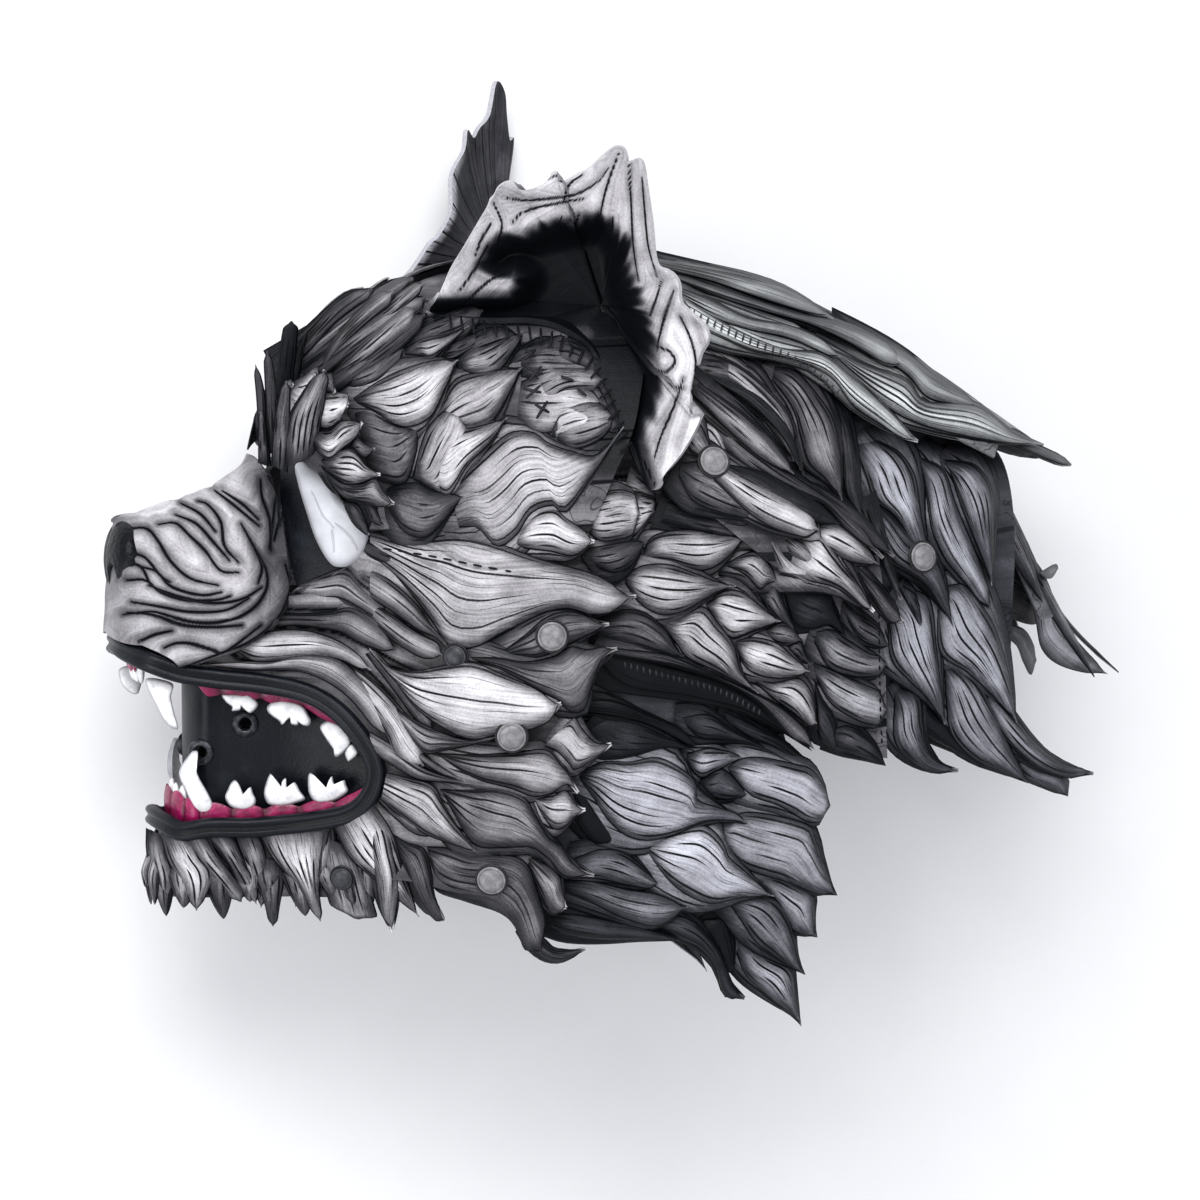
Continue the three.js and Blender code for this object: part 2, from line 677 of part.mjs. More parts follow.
function chin() {
  const place = (s, t, extra) => {
    const q = CHIN_TOP.reach * (2 * s - 1);
    const y = mix(CHIN_TOP.front + CHIN_TOP.rise * Math.abs(q), CHIN_TOP.bottom, t);
    return arch(LOWER_ARCH, q, y, extra + chinLift(y));
  };
  const base = sheet(10, 2, (s, t) => place(s, t, 0), (s, t) => place(s, t, -LEATHER));
  const tufts = [];
  const surface = (q, y, lift) => arch(LOWER_ARCH, q, y, lift + chinLift(y));
  const rows = [
    { count: 7, from: -135, to: -166, halfWidth: 12, start: -0.82 },
    { count: 6, from: -142, to: -180, halfWidth: 12, start: -0.74 },
  ];
  for (const row of rows) {
    for (let k = 0; k < row.count; k += 1) {
      const q = mix(row.start, -row.start, k / (row.count - 1));
      const longer = 4 * Math.sin(k * 2.3);
      tufts.push(tuft(surface, q, row.from, q * 1.03, row.to + longer, row.halfWidth));
    }
  }
  return join([base, ...tufts]);
}

// A short pointed tuft hanging on a surface given in its own two measures
function tuft(surface, q0, y0, q1, y1, halfWidth) {
  const at = (t, extra) => surface(mix(q0, q1, t), mix(y0, y1, t), extra);
  const rings = [[at(0, 0)]];
  for (const [t, width] of [[0.4, 1], [0.75, 0.75]]) {
    const here = at(t, 0);
    const out = at(t, 1).sub(here).normalize();
    const forward = at(t + 0.05, 0).sub(here).normalize();
    const across = new THREE.Vector3().crossVectors(out, forward);
    across.multiplyScalar(halfWidth * width);
    const low = here.clone().addScaledVector(out, -LOCK_SINK);
    const top = here.clone().addScaledVector(out, LOCK_RIDGE);
    rings.push([low.clone().add(across), top, low.clone().sub(across)]);
  }
  rings.push([at(1, 0)]);
  return loft(rings);
}

// Gums: strips set inside the lips
function gum({ jaw, reach, lip, from, to }) {
  const place = (s, t, extra) => {
    const q = reach * (2 * s - 1);
    return arch(jaw, q, lip(archX(jaw, q)) + mix(from, to, t), extra - 2.5);
  };
  return sheet(9, 1, (s, t) => place(s, t, 0), (s, t) => place(s, t, -1.6));
}

// Height of the upper and lower lip line on an arch, from the drawn lip line
function lipHeight(upper) {
  const near = laid(LIP_LINE).map(([x, bend]) => skin(x, bend, 2));
  const half = upper ? near.slice(0, 9) : near.slice(9).reverse();
  return (x) => {
    const table = half.map((p) => [p.x, p.y]).sort((a, b) => a[0] - b[0]);
    const front = upper ? [-260, -36] : [-240, -120];
    return along([front, ...table], x);
  };
}

const upperLip = lipHeight(true);
const lowerLip = lipHeight(false);

const archX = (jaw, q) => arch(jaw, q, -90, 0).x;

// The place on an arch, [q, height], that shows at a point of the drawing
function onArch(jaw, [u, v], lift) {
  let q = jaw === UPPER_ARCH ? -0.5 : -0.6;
  let y = v;
  for (let step = 0; step < 60; step += 1) {
    const [a, b] = seen(arch(jaw, -q, y, lift));
    q = THREE.MathUtils.clamp(q - (0.5 * (u - a)) / 150, -1, 0);
    y += 0.7 * (v - b);
  }
  return [-q, y];
}

// A tooth block: a row of pointed cusps on one root, set along the arch
function tooth({ jaw, root, tip, width, cusps }, side) {
  const [q, rootY] = onArch(jaw, root, TOOTH_INSET);
  const [tipQ, tipY] = onArch(jaw, tip, TOOTH_INSET);
  const at = (share, t, out) => {
    const here = mix(q, tipQ, t) * side;
    const y = mix(rootY, tipY, t);
    const p = arch(jaw, here, y, TOOTH_INSET + out);
    const onward = arch(jaw, here + 0.01 * side, y, TOOTH_INSET + out).sub(p).normalize();
    return p.addScaledVector(onward, share * width * 0.5);
  };
  const parts = [];
  for (let k = 0; k < cusps; k += 1) {
    const half = 1 / cusps;
    const middle = -1 + half + 2 * half * k;
    const high = k === 0 ? 1 : 0.78;
    const ring = (t, scale) => [[-1.04, 0], [0, 1], [1.04, 0], [0, -0.8]].map(
      ([a, b]) => at(middle + a * half * scale, t, b * TOOTH_DEPTH * scale),
    );
    parts.push(loft([ring(0, 0.94), ring(0.5 * high, 1), [at(middle, high, 0)]]));
  }
  return join(parts);
}

const TOOTH_INSET = -8.6;
const TOOTH_DEPTH = 3.4;
const FRONT_TOOTH_DEPTH = 2.4;
const TEETH = [
  { name: 'upper_fang', jaw: UPPER_ARCH, root: [-219, -61], tip: [-219, -87], width: 10, cusps: 1 },
  { name: 'upper_cheek_tooth_1', jaw: UPPER_ARCH, root: [-183, -66], tip: [-181, -80], width: 17, cusps: 2 },
  { name: 'upper_cheek_tooth_2', jaw: UPPER_ARCH, root: [-158, -70], tip: [-156, -86], width: 21, cusps: 3 },
  { name: 'upper_cheek_tooth_3', jaw: UPPER_ARCH, root: [-136, -81], tip: [-130, -102], width: 15, cusps: 1 },
  { name: 'lower_fang', jaw: LOWER_ARCH, root: [-202, -129], tip: [-206, -98], width: 10, cusps: 1 },
  { name: 'lower_cheek_tooth_1', jaw: LOWER_ARCH, root: [-182, -130], tip: [-184, -112], width: 17, cusps: 2 },
  { name: 'lower_cheek_tooth_2', jaw: LOWER_ARCH, root: [-160, -129], tip: [-163, -109], width: 20, cusps: 3 },
  { name: 'lower_cheek_tooth_3', jaw: LOWER_ARCH, root: [-138, -127], tip: [-143, -109], width: 20, cusps: 3 },
];

// Front teeth: one block across the middle of each jaw
function incisors(jaw, rootY, tipY, inset) {
  const halfRun = 0.16;
  const at = (q, y, out) => arch(jaw, q, y, inset + out);
  const parts = [-1, 0, 1].map((k) => {
    const middle = (k * 2 * halfRun) / 3;
    const half = halfRun / 3;
    const ring = (y, scale) => [[-1.06, 0], [0, 1], [1.06, 0], [0, -0.8]].map(
      ([a, b]) => at(middle + a * half * scale, y, b * FRONT_TOOTH_DEPTH * scale),
    );
    return loft([ring(rootY, 0.94), ring(mix(rootY, tipY, 0.5), 1), [at(middle, tipY, 0)]]);
  });
  return join(parts);
}

// Black half mask inside the mouth, with its eyelets

const INNER_MUZZLE = { top: -44, bottom: -146, inset: -14, thickness: 2.5 };

function innerPoint(s, y, extra) {
  return arch(INNER_ARCH, 1 - 2 * s, y, INNER_MUZZLE.inset + extra);
}

function innerMuzzle() {
  const { top, bottom, thickness } = INNER_MUZZLE;
  const shell = sheet(
    8,
    1,
    (s, t) => innerPoint(s, mix(top, bottom, t), 0),
    (s, t) => innerPoint(s, mix(top, bottom, t), -thickness),
  );
  return cut(shell, EYELETS.map((e) => eyeletPlug(e, EYELET_RADIUS - 1.2)));
}

const EYELETS = [[0.305, -76], [0.395, -90], [0.605, -90], [0.695, -76]];

function eyeletFrame([s, y]) {
  const at = innerPoint(s, y, 0);
  const out = innerPoint(s, y, 1).sub(at).normalize();
  const turn = new THREE.Quaternion().setFromUnitVectors(new THREE.Vector3(0, 1, 0), out);
  return new THREE.Matrix4().makeRotationFromQuaternion(turn).setPosition(at);
}

function eyeletPlug(e, radius) {
  const plug = new THREE.CylinderGeometry(radius, radius, 12, 6);
  plug.applyMatrix4(eyeletFrame(e));
  return solid(plug);
}

function eyelet(e) {
  const neck = EYELET_RADIUS - 1.2 - GAP;
  const profile = [
    [EYELET_HOLE, -4], [neck, -4], [neck, GAP], [EYELET_RADIUS, GAP],
    [EYELET_HOLE, 2], [EYELET_HOLE, -4],
  ].map(([r, h]) => new THREE.Vector2(r, h));
  const ring = new THREE.LatheGeometry(profile, 6);
  ring.applyMatrix4(eyeletFrame(e));
  return solid(ring);
}

// Eyes and their dark sockets

const EYE_OUTLINE = [
  [-153.5, 44], [-144, 38], [-136, 28], [-129, 18], [-120, 10], [-122, 1],
  [-130, -4.5], [-140, -5], [-147, 12], [-152, 30],
];

function disc(points, liftEdge, liftMiddle, thickness, side) {
  const middle = [0, 1].map((k) => points.reduce((sum, p) => sum + p[k], 0) / points.length);
  const ring = (shrink, lift) => points.map(([x, bend]) => skin(
    mix(x, middle[0], shrink),
    mix(bend, middle[1], shrink),
    lift,
    side,
  ));
  return loft([
    ring(0, liftEdge - thickness),
    ring(0, liftEdge),
    ring(0.45, mix(liftEdge, liftMiddle, 0.8)),
    [skin(...middle, liftMiddle, side)],
  ]);
}

const eye = (side) => disc(laid(EYE_OUTLINE), 1.5, 7, 2, side);

const SOCKET_OUTLINE = [
  [-160, 50], [-142, 54], [-120, 44], [-102, 26], [-104, 6], [-116, -10], [-134, -18],
  [-152, -18], [-158, 0], [-162, 24],
];

const EYE_MIDDLE = [-137, 17];
const SOCKET_OPENING = 1.08;

function socket(side) {
  const opening = EYE_OUTLINE.map((p) => p.map((v, k) => mix(EYE_MIDDLE[k], v, SOCKET_OPENING)));
  const ring = (outline, lift) => laid(outline).map((p) => skin(...p, lift, side));
  return loft([
    ring(SOCKET_OUTLINE, -1),
    ring(opening, -1),
    ring(opening, -1 - LEATHER),
    ring(SOCKET_OUTLINE, -1 - LEATHER),
  ], true);
}

// Brow tuft: petals fanned round a root at the inner corner of the eye

const BROW_ROOT = [-150, 50];
const BROW_TIPS = [
  [[-158, 112], 8], [[-172, 92], 8], [[-128, 80], 11], [[-117, 58], 12], [[-107, 30], 11],
];

const BROW_PAD = [
  [-162, 70], [-150, 88], [-134, 72], [-124, 50], [-132, 34], [-148, 44], [-158, 52],
];

function brow(side) {
  const root = onSkin(BROW_ROOT, 12);
  const petals = BROW_TIPS.map(([tip, halfWidth], i) => {
    const end = onSkin(tip, 14);
    const start = [mix(root[0], end[0], 0.1), mix(root[1], end[1], 0.1)];
    return lock(skin, start, end, halfWidth, 0.05, [17, 19 + (i % 2)], side);
  });
  const pad = disc(laid(BROW_PAD), 17.2, 19, LEATHER, side);
  return join([pad, ...petals]);
}

// Ear: a deep scoop, its rim drawn as it is seen and its hollow sunk towards the head

const EAR_RIM = [
  { at: [-84, 121], lift: 17 }, { at: [-66, 152], height: 84 }, { at: [-53, 183], height: 92 },
  { at: [-33, 181], height: 92 }, { at: [-12, 188], height: 96 }, { at: [8, 203], height: 100 },
  { at: [19, 182], height: 102 }, { at: [24, 150], height: 108 }, { at: [36, 128], height: 116 },
  { at: [52, 109], height: 128 }, { at: [44, 84], height: 130 }, { at: [46, 66], height: 132 },
  { at: [23, 34], lift: 23 }, { at: [8, 62], lift: 19 }, { at: [-20, 92], lift: 18 },
  { at: [-52, 110], lift: 17 },
];
const FAR_EAR_RIM = [
  { at: [-84, 121], lift: 18 }, { at: [-82, 164], height: -66 }, { at: [-75, 194], height: -76 },
  { at: [-67, 214], height: -84 }, { at: [-56, 236], height: -92 }, { at: [-48, 207], height: -97 },
  { at: [-44, 184], height: -102 }, { at: [-30, 160], height: -106 }, { at: [-16, 130], height: -109 },
  { at: [-12, 100], height: -110 }, { at: [-8, 72], height: -110 }, { at: [8, 62], lift: 18 },
  { at: [-20, 92], lift: 19 }, { at: [-52, 110], lift: 18 },
];
const EAR_DEPTH = { near: 22, far: 2 };

// The point at a height over the middle plane that shows at a point of the drawing
function atHeight([u, v], z) {
  let x = u;
  let y = v;
  for (let step = 0; step < 20; step += 1) {
    const [a, b] = seen(new THREE.Vector3(x, y, z));
    x += u - a;
    y += v - b;
  }
  return new THREE.Vector3(x, y, z);
}

function ear(side) {
  const rim = (side > 0 ? EAR_RIM : FAR_EAR_RIM).map((r) => {
    if (r.lift === undefined) return atHeight(r.at, r.height);
    return skin(...onSkin(r.at, r.lift), r.lift, side);
  });
  const middle = new THREE.Vector3();
  rim.forEach((p) => middle.addScaledVector(p, 1 / rim.length));
  middle.x += 8;
  const place = (s, t, extra) => {
    const k = Math.round(s * rim.length) % rim.length;
    const p = rim[k].clone().lerp(middle, t);
    const inward = rim[k].clone().sub(middle).normalize();
    const depth = side > 0 ? EAR_DEPTH.near : EAR_DEPTH.far;
    p.z -= side * depth * Math.sin(t * Math.PI * 0.5) * smooth(t * 1.2);
    p.z += side * extra * mix(0.4, 1, t);
    p.addScaledVector(inward, -extra * (1 - t));
    return p;
  };
  return sheet(rim.length, 3, (s, t) => place(s, t, 0), (s, t) => place(s, t, -LEATHER));
}

// Nape: the piece that closes the back between the two manes, ending in horn-like tips
const NAPE_TOP = 44;
const NAPE_BOTTOM = -34;
const NAPE_TIPS = [
  { turn: -0.75, end: -60, halfWidth: 9, flare: 4 },
  { turn: -0.3, end: -62, halfWidth: 9, flare: 8 },
  { turn: 0.15, end: -67, halfWidth: 12, flare: 17 },
  { turn: 0.6, end: -66, halfWidth: 9, flare: 4 },
];

function napePoint(turn, y, extra) {
  const drop = (NAPE_TOP - y) / (NAPE_TOP - NAPE_BOTTOM);
  const x = 166 + 28 * drop + (34 + 8 * drop + extra) * Math.cos(turn);
  return new THREE.Vector3(x, y, (57 + extra) * Math.sin(turn));
}

function nape() {
  const place = (s, t, extra) => napePoint((2 * s - 1) * 1.1, mix(NAPE_TOP, NAPE_BOTTOM, t), extra);
  const base = sheet(6, 2, (s, t) => place(s, t, 0), (s, t) => place(s, t, -LEATHER));
  const tufts = NAPE_TIPS.map(({ turn, end, halfWidth, flare }) => {
    const surface = (a, y, lift) => {
      const fallen = (y + 4) / (end + 4);
      return napePoint(a, y, lift - 2 + flare * fallen ** 3);
    };
    return tuft(surface, turn, -4, turn * 1.05, end, halfWidth);
  });
  return join([base, ...tufts]);
}

// Snap caps on the near side: where each is drawn, and the lift of the leather under it
const SNAPS = [
  { at: [-74.5, -51], lift: 9.5, black: true },
  { at: [-26.5, -41], lift: 16.5 },
  { at: [-46.5, -91], lift: 14.5 },
  { at: [-56.5, -162.5], lift: 14.5 },
  { at: [-131, -161.5], lift: 7, black: true },
  { at: [54, 46], lift: 16.5 },
  { at: [158, -1.5], lift: 4 },
];

function snap({ at, lift, black }) {
  const place = onSkin(at, lift);
  const foot = skin(...place, lift);
  const out = skin(...place, lift + 1).sub(foot).normalize();
  const radius = black ? SMALL_SNAP_RADIUS : SNAP_RADIUS;
  const profile = [[0, 0], [1, 0], [1, 0.5], [0.7, 1], [0, 1]];
  const points = profile.map(([r, h]) => new THREE.Vector2(r * radius, h * SNAP_HEIGHT));
  const cap = new THREE.LatheGeometry(points, 8);
  const turn = new THREE.Quaternion().setFromUnitVectors(new THREE.Vector3(0, 1, 0), out);
  cap.applyQuaternion(turn);
  cap.translate(foot.x, foot.y, foot.z);
  return solid(cap);
}

// Assembly

const mask = new THREE.Group();
const SIDES = [['left', 1], ['right', -1]];

// Takes off what would lie under the ground
function flatFloor(body) {
  const thick = 100;
  const block = new THREE.BoxGeometry(9 * thick, 9 * thick, thick);
  block.translate(0, 0, -REST_HALF_WIDTH - thick / 2);
  return body.subtract(solid(block));
}

// The faces of the largest closed surface, without pockets sealed between locks and panel
function outerFaces(place, faces) {
  const leader = Array.from({ length: place.length / 3 }, (_, i) => i);
  const find = (i) => {
    while (leader[i] !== i) i = leader[i] = leader[leader[i]];
    return i;
  };
  for (let i = 0; i < faces.length; i += 3) {
    leader[find(faces[i])] = find(faces[i + 1]);
    leader[find(faces[i + 1])] = find(faces[i + 2]);
  }
  const corner = (i) => new THREE.Vector3().fromArray(place, 3 * i);
  const volumes = new Map();
  for (let i = 0; i < faces.length; i += 3) {
    const part = find(faces[i]);
    const piece = corner(faces[i]).dot(corner(faces[i + 1]).cross(corner(faces[i + 2]))) / 6;
    volumes.set(part, (volumes.get(part) ?? 0) + piece);
  }
  const largest = [...volumes].sort((a, b) => b[1] - a[1])[0][0];
  return faces.filter((_, i) => find(faces[i - (i % 3)]) === largest);
}

function keep(name, body, leather, rests = false) {
  const made = rests ? flatFloor(body) : body;
  const { vertProperties, triVerts } = made.getMesh();
  const faces = outerFaces(Array.from(vertProperties), Array.from(triVerts));
  const geometry = new THREE.BufferGeometry();
  geometry.setAttribute('position', new THREE.BufferAttribute(new Float32Array(vertProperties), 3));
  geometry.setIndex(faces);
  const mesh = new THREE.Mesh(geometry, new THREE.MeshStandardMaterial(LEATHERS[leather]));
  mesh.name = name;
  mask.add(mesh);
}

const grownWelt = welt(GAP);

keep('muzzle', cut(muzzle(), [lump(NOSE.centre, NOSE.half.map((v) => v + GAP), 8, 6), grownWelt]), 'fur');
keep('nose_pad', lump(NOSE.centre, NOSE.half, 8, 6), 'dark');
keep('lip_welt', welt(), 'dark');
keep('chin', chin(), 'fur');
keep('inner_muzzle', innerMuzzle(), 'dark');
EYELETS.forEach((e, i) => keep(`eyelet_${i + 1}`, eyelet(e), 'steel'));

const upperGum = { jaw: UPPER_ARCH, reach: 0.82, lip: upperLip, from: -2, to: -10 };
const lowerGum = { jaw: LOWER_ARCH, reach: 0.86, lip: lowerLip, from: 10, to: 2 };
keep('upper_gum', gum(upperGum), 'gum');
keep('lower_gum', gum(lowerGum), 'gum');
keep('upper_incisors', incisors(UPPER_ARCH, -50, -62, -7.6), 'tooth');
keep('lower_incisors', incisors(LOWER_ARCH, -117, -105, -8), 'tooth');
for (const [name, side] of SIDES) {
  TEETH.forEach((t) => keep(`${t.name}_${name}`, tooth(t, side), 'tooth'));
}

keep('forehead', saddle(FOREHEAD), 'fur', true);
keep('crest', saddle(CREST), 'fur', true);
keep('nape', nape(), 'fur');

for (const [name, side] of SIDES) {
  keep(`cheek_${name}`, cut(panel(CHEEK, side), [grownWelt]), 'fur', true);
  keep(`side_neck_${name}`, panel(SIDE_NECK, side), 'fur', true);
  keep(`side_mane_${name}`, panel(SIDE_MANE, side), 'fur', true);
  keep(`flank_${name}`, panel(FLANK, side), 'fur', true);
  keep(`back_mane_${name}`, panel(BACK_MANE, side), 'fur', true);
  keep(`throat_${name}`, panel(THROAT_PANEL, side), 'fur', true);
  keep(`eye_socket_${name}`, socket(side), 'dark');
  keep(`eye_${name}`, eye(side), 'eye');
  keep(`brow_${name}`, brow(side), 'fur');
  keep(`ear_${name}`, ear(side), 'fur', true);
}

SNAPS.forEach((s, i) => keep(`snap_${i + 1}`, snap(s), s.black ? 'dark' : 'snap'));

// Stand the frame's origin under the middle of the mask
const box = new THREE.Box3().setFromObject(mask);
const centre = box.getCenter(new THREE.Vector3());
mask.position.set(-centre.x, -centre.y, -box.min.z);

export default mask;
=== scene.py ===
# Leather werewolf mask lying on its right side, in metres, in the frame of its parts.
# The locks are drawn on a sheet 1200 half millimetres wide and high, seen from a
# little in front and above, and are laid on the rounded form of the head.

import math

import bpy
import numpy as np
from mathutils import Matrix, Vector


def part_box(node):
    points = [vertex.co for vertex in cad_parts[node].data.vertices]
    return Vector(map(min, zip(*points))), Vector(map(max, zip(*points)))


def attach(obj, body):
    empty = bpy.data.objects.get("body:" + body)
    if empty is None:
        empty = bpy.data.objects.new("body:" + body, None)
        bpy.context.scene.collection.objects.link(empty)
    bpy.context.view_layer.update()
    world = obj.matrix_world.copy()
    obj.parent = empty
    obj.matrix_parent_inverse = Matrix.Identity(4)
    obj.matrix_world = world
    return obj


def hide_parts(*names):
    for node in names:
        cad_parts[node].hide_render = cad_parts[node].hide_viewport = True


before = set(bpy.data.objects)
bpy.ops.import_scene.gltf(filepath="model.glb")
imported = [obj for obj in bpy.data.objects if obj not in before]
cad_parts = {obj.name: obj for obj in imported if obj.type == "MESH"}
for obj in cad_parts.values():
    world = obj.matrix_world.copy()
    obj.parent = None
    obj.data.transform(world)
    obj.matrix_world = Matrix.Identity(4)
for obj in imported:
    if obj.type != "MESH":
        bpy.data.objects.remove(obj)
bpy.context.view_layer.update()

MM = 0.001
RANDOM = np.random.default_rng(7)

# The direction the drawing looks from
TURN = math.radians(16)
TILT = math.radians(6)
DISTANCE = 2500.0
SHEET = 600.0
AIM = (-2.5, -23.0)
RIGHT = np.array([math.cos(TURN), 0, math.sin(TURN)])
TOWARD = np.array([-math.sin(TURN) * math.cos(TILT), math.sin(TILT), math.cos(TURN) * math.cos(TILT)])
UP = np.cross(TOWARD, RIGHT)

NOSE_CENTRE = np.array([-245.0, 7.0, 0.0])
nose_low, nose_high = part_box("nose_pad")
SHIFT = np.array((nose_low + nose_high) / 2) / MM - NOSE_CENTRE
GROUND = -SHIFT[2]


def make_camera():
    camera = bpy.data.objects.new("camera", bpy.data.cameras.new("camera"))
    bpy.context.scene.collection.objects.link(camera)
    place = RIGHT * AIM[0] + UP * AIM[1] + TOWARD * DISTANCE + SHIFT
    turn = Matrix((RIGHT, UP, TOWARD)).transposed().to_4x4()
    camera.matrix_world = Matrix.Translation(Vector(place * MM)) @ turn
    camera.data.sensor_width = 36
    camera.data.lens = 36 * DISTANCE / SHEET
    camera.data.clip_start = 0.1
    camera.data.clip_end = 20
    bpy.context.scene.camera = camera


make_camera()

# Form of the head: half width, crown, middle and throat heights along X, in millimetres

HALF_WIDTH = [
    (-262, 10), (-252, 19), (-240, 25), (-215, 32), (-190, 38), (-168, 45), (-150, 56),
    (-132, 70), (-112, 86), (-85, 100), (-50, 110), (0, 114), (50, 114), (100, 108),
    (150, 96), (190, 80), (225, 58), (255, 38), (290, 20),
]
CROWN = [
    (-262, 10), (-245, 22), (-225, 30), (-195, 38), (-172, 49), (-158, 78), (-140, 104),
    (-112, 127), (-85, 139), (-30, 144), (25, 137), (75, 126), (102, 113), (138, 94),
    (168, 77), (190, 62), (215, 44), (245, 30), (290, 14),
]
MIDDLE = [(-262, -20), (-180, -22), (-100, -14), (0, -10), (150, -14), (290, -20)]
THROAT = [(-262, -150), (-215, -215), (-120, -225), (-60, -290), (290, -300)]
SETTLED_HALF_WIDTH = 96.0
SETTLING = 14.0


def smooth(t, low=0.0, high=1.0):
    t = np.clip((t - low) / (high - low), 0, 1)
    return t * t * (3 - 2 * t)


def mix(a, b, t):
    return a + (b - a) * t


def together(*values):
    """Numbers and grids of numbers side by side, as one grid of points or notes."""
    return np.stack(np.broadcast_arrays(*values), axis=-1)


def along(table, x):
    """A smooth line through a table of x and y, read at x."""
    xs = np.array([p[0] for p in table], float)
    ys = np.array([p[1] for p in table], float)
    last = len(xs) - 1
    slopes = np.array([
        (ys[min(last, k + 1)] - ys[max(0, k - 1)]) / (xs[min(last, k + 1)] - xs[max(0, k - 1)])
        for k in range(last + 1)
    ])
    x = np.asarray(x, float)
    i = np.clip(np.searchsorted(xs, x, side="left") - 1, 0, last - 1)
    span = xs[i + 1] - xs[i]
    t = np.clip((x - xs[i]) / span, 0, 1)
    h = t * t * (3 - 2 * t)
    bend_a = t * (1 - t) ** 2 * span * slopes[i]
    bend_b = -t * t * (1 - t) * span * slopes[i + 1]
    return ys[i] * (1 - h) + ys[i + 1] * h + bend_a + bend_b


def between(p, k, t):
    """A point between p[k + 1] and p[k + 2] on the smooth line through the points p."""
    a, b, c, d = p[k], p[k + 1], p[k + 2], p[k + 3]
    straight = 2 * b + (c - a) * t
    bent = (2 * a - 5 * b + 4 * c - d) * t * t + (3 * b - a - 3 * c + d) * t ** 3
    return 0.5 * (straight + bent)


def curve(points, count, closed=False):
    """Points at even steps of chord length on a smooth line through the given ones."""
    p = np.array(points, float)
    if closed:
        p = np.vstack([p[-1:], p, p[:2]])
    else:
        p = np.vstack([2 * p[0] - p[1], p, 2 * p[-1] - p[-2]])
    chord = np.linalg.norm(np.diff(p[1:-1], axis=0), axis=1)
    reach = np.concatenate([[0], np.cumsum(chord)])
    at = np.linspace(0, reach[-1], count + 1 if closed else count)
    if closed:
        at = at[:-1]
    k = np.clip(np.searchsorted(reach, at, side="right") - 1, 0, len(chord) - 1)
    t = ((at - reach[k]) / np.maximum(chord[k], 1e-9))[:, None]
    return between(p, k, t)


# Skin of the head: a place on it is x and bend, 100 times the angle round the section

def bare_skin(x, bend, side):
    angle = bend / 100
    middle = along(MIDDLE, x)
    reach = np.where(angle >= 0, along(CROWN, x) - middle, middle - along(THROAT, x))
    z = along(HALF_WIDTH, x) * np.cos(angle)
    if side < 0:
        soft = SETTLED_HALF_WIDTH - SETTLING
        z = np.where(z > soft, soft + SETTLING * (1 - np.exp(-np.maximum(z - soft, 0) / SETTLING)), z)
    return together(x, middle + reach * np.sin(angle), z)


def skin(x, bend, lift=0.0, side=1):
    x, bend, lift = np.broadcast_arrays(*(np.asarray(v, float) for v in (x, bend, lift)))
    point = bare_skin(x, bend, side)
    forward = bare_skin(x + 1, bend, side) - bare_skin(x - 1, bend, side)
    around = bare_skin(x, bend + 1, side) - bare_skin(x, bend - 1, side)
    normal = np.cross(forward, around)
    normal /= np.linalg.norm(normal, axis=-1, keepdims=True)
    point = point + normal * lift[..., None]
    point[..., 2] *= side
    return point


def seen(p):
    """Where a point shows in the drawing, in millimetres across and up."""
    grow = DISTANCE / (DISTANCE - p @ TOWARD)
    return np.stack([AIM[0] + (p @ RIGHT - AIM[0]) * grow, AIM[1] + (p @ UP - AIM[1]) * grow], axis=-1)


def drawn(points):
    """Half millimetres of the sheet to millimetres across and up."""
    p = np.asarray(points, float)
    return np.stack([(p[..., 0] - 605) / 2, (554 - p[..., 1]) / 2], axis=-1)


def on_skin(uv, lift):
    u, v = uv[..., 0], uv[..., 1]
    x, bend = u.copy(), np.zeros_like(u)
    for _ in range(40):
        shown = seen(skin(x, bend, lift))
        middle = along(MIDDLE, x)
        reach = np.where(v > -10, along(CROWN, x) - middle, middle - along(THROAT, x))
        turn = np.maximum(0.25, np.cos(bend / 100))
        x = np.clip(x + 0.7 * (u - shown[..., 0]), -262, 290)
        bend = np.clip(bend + 70 * (v - shown[..., 1]) / (reach * turn), -125, 150)
    return x, bend


def head_place(uv, lift, side=1):
    """The point of the head, lifted off its skin, that shows at a point of the drawing."""
    lift = np.broadcast_to(np.asarray(lift, float), uv.shape[:-1])
    x, bend = on_skin(uv, lift)
    point = skin(x, bend, lift)
    miss = uv - seen(point)
    if side < 0:
        point = skin(x, bend, np.minimum(lift, 15.5), -1)
        aside = miss[..., :1] * RIGHT + miss[..., 1:] * UP
        return point + aside * np.array([1, 1, -1])
    return point + miss[..., :1] * RIGHT + miss[..., 1:] * UP


def at_height(uv, z):
    z = np.broadcast_to(np.asarray(z, float), uv.shape[:-1])
    p = np.stack([uv[..., 0], uv[..., 1], z], axis=-1)
    for _ in range(12):
        p[..., :2] += uv - seen(p)
    return p


# Meshes

EDGE_STEEPNESS = 8
EDGE_SHARE = 0.35


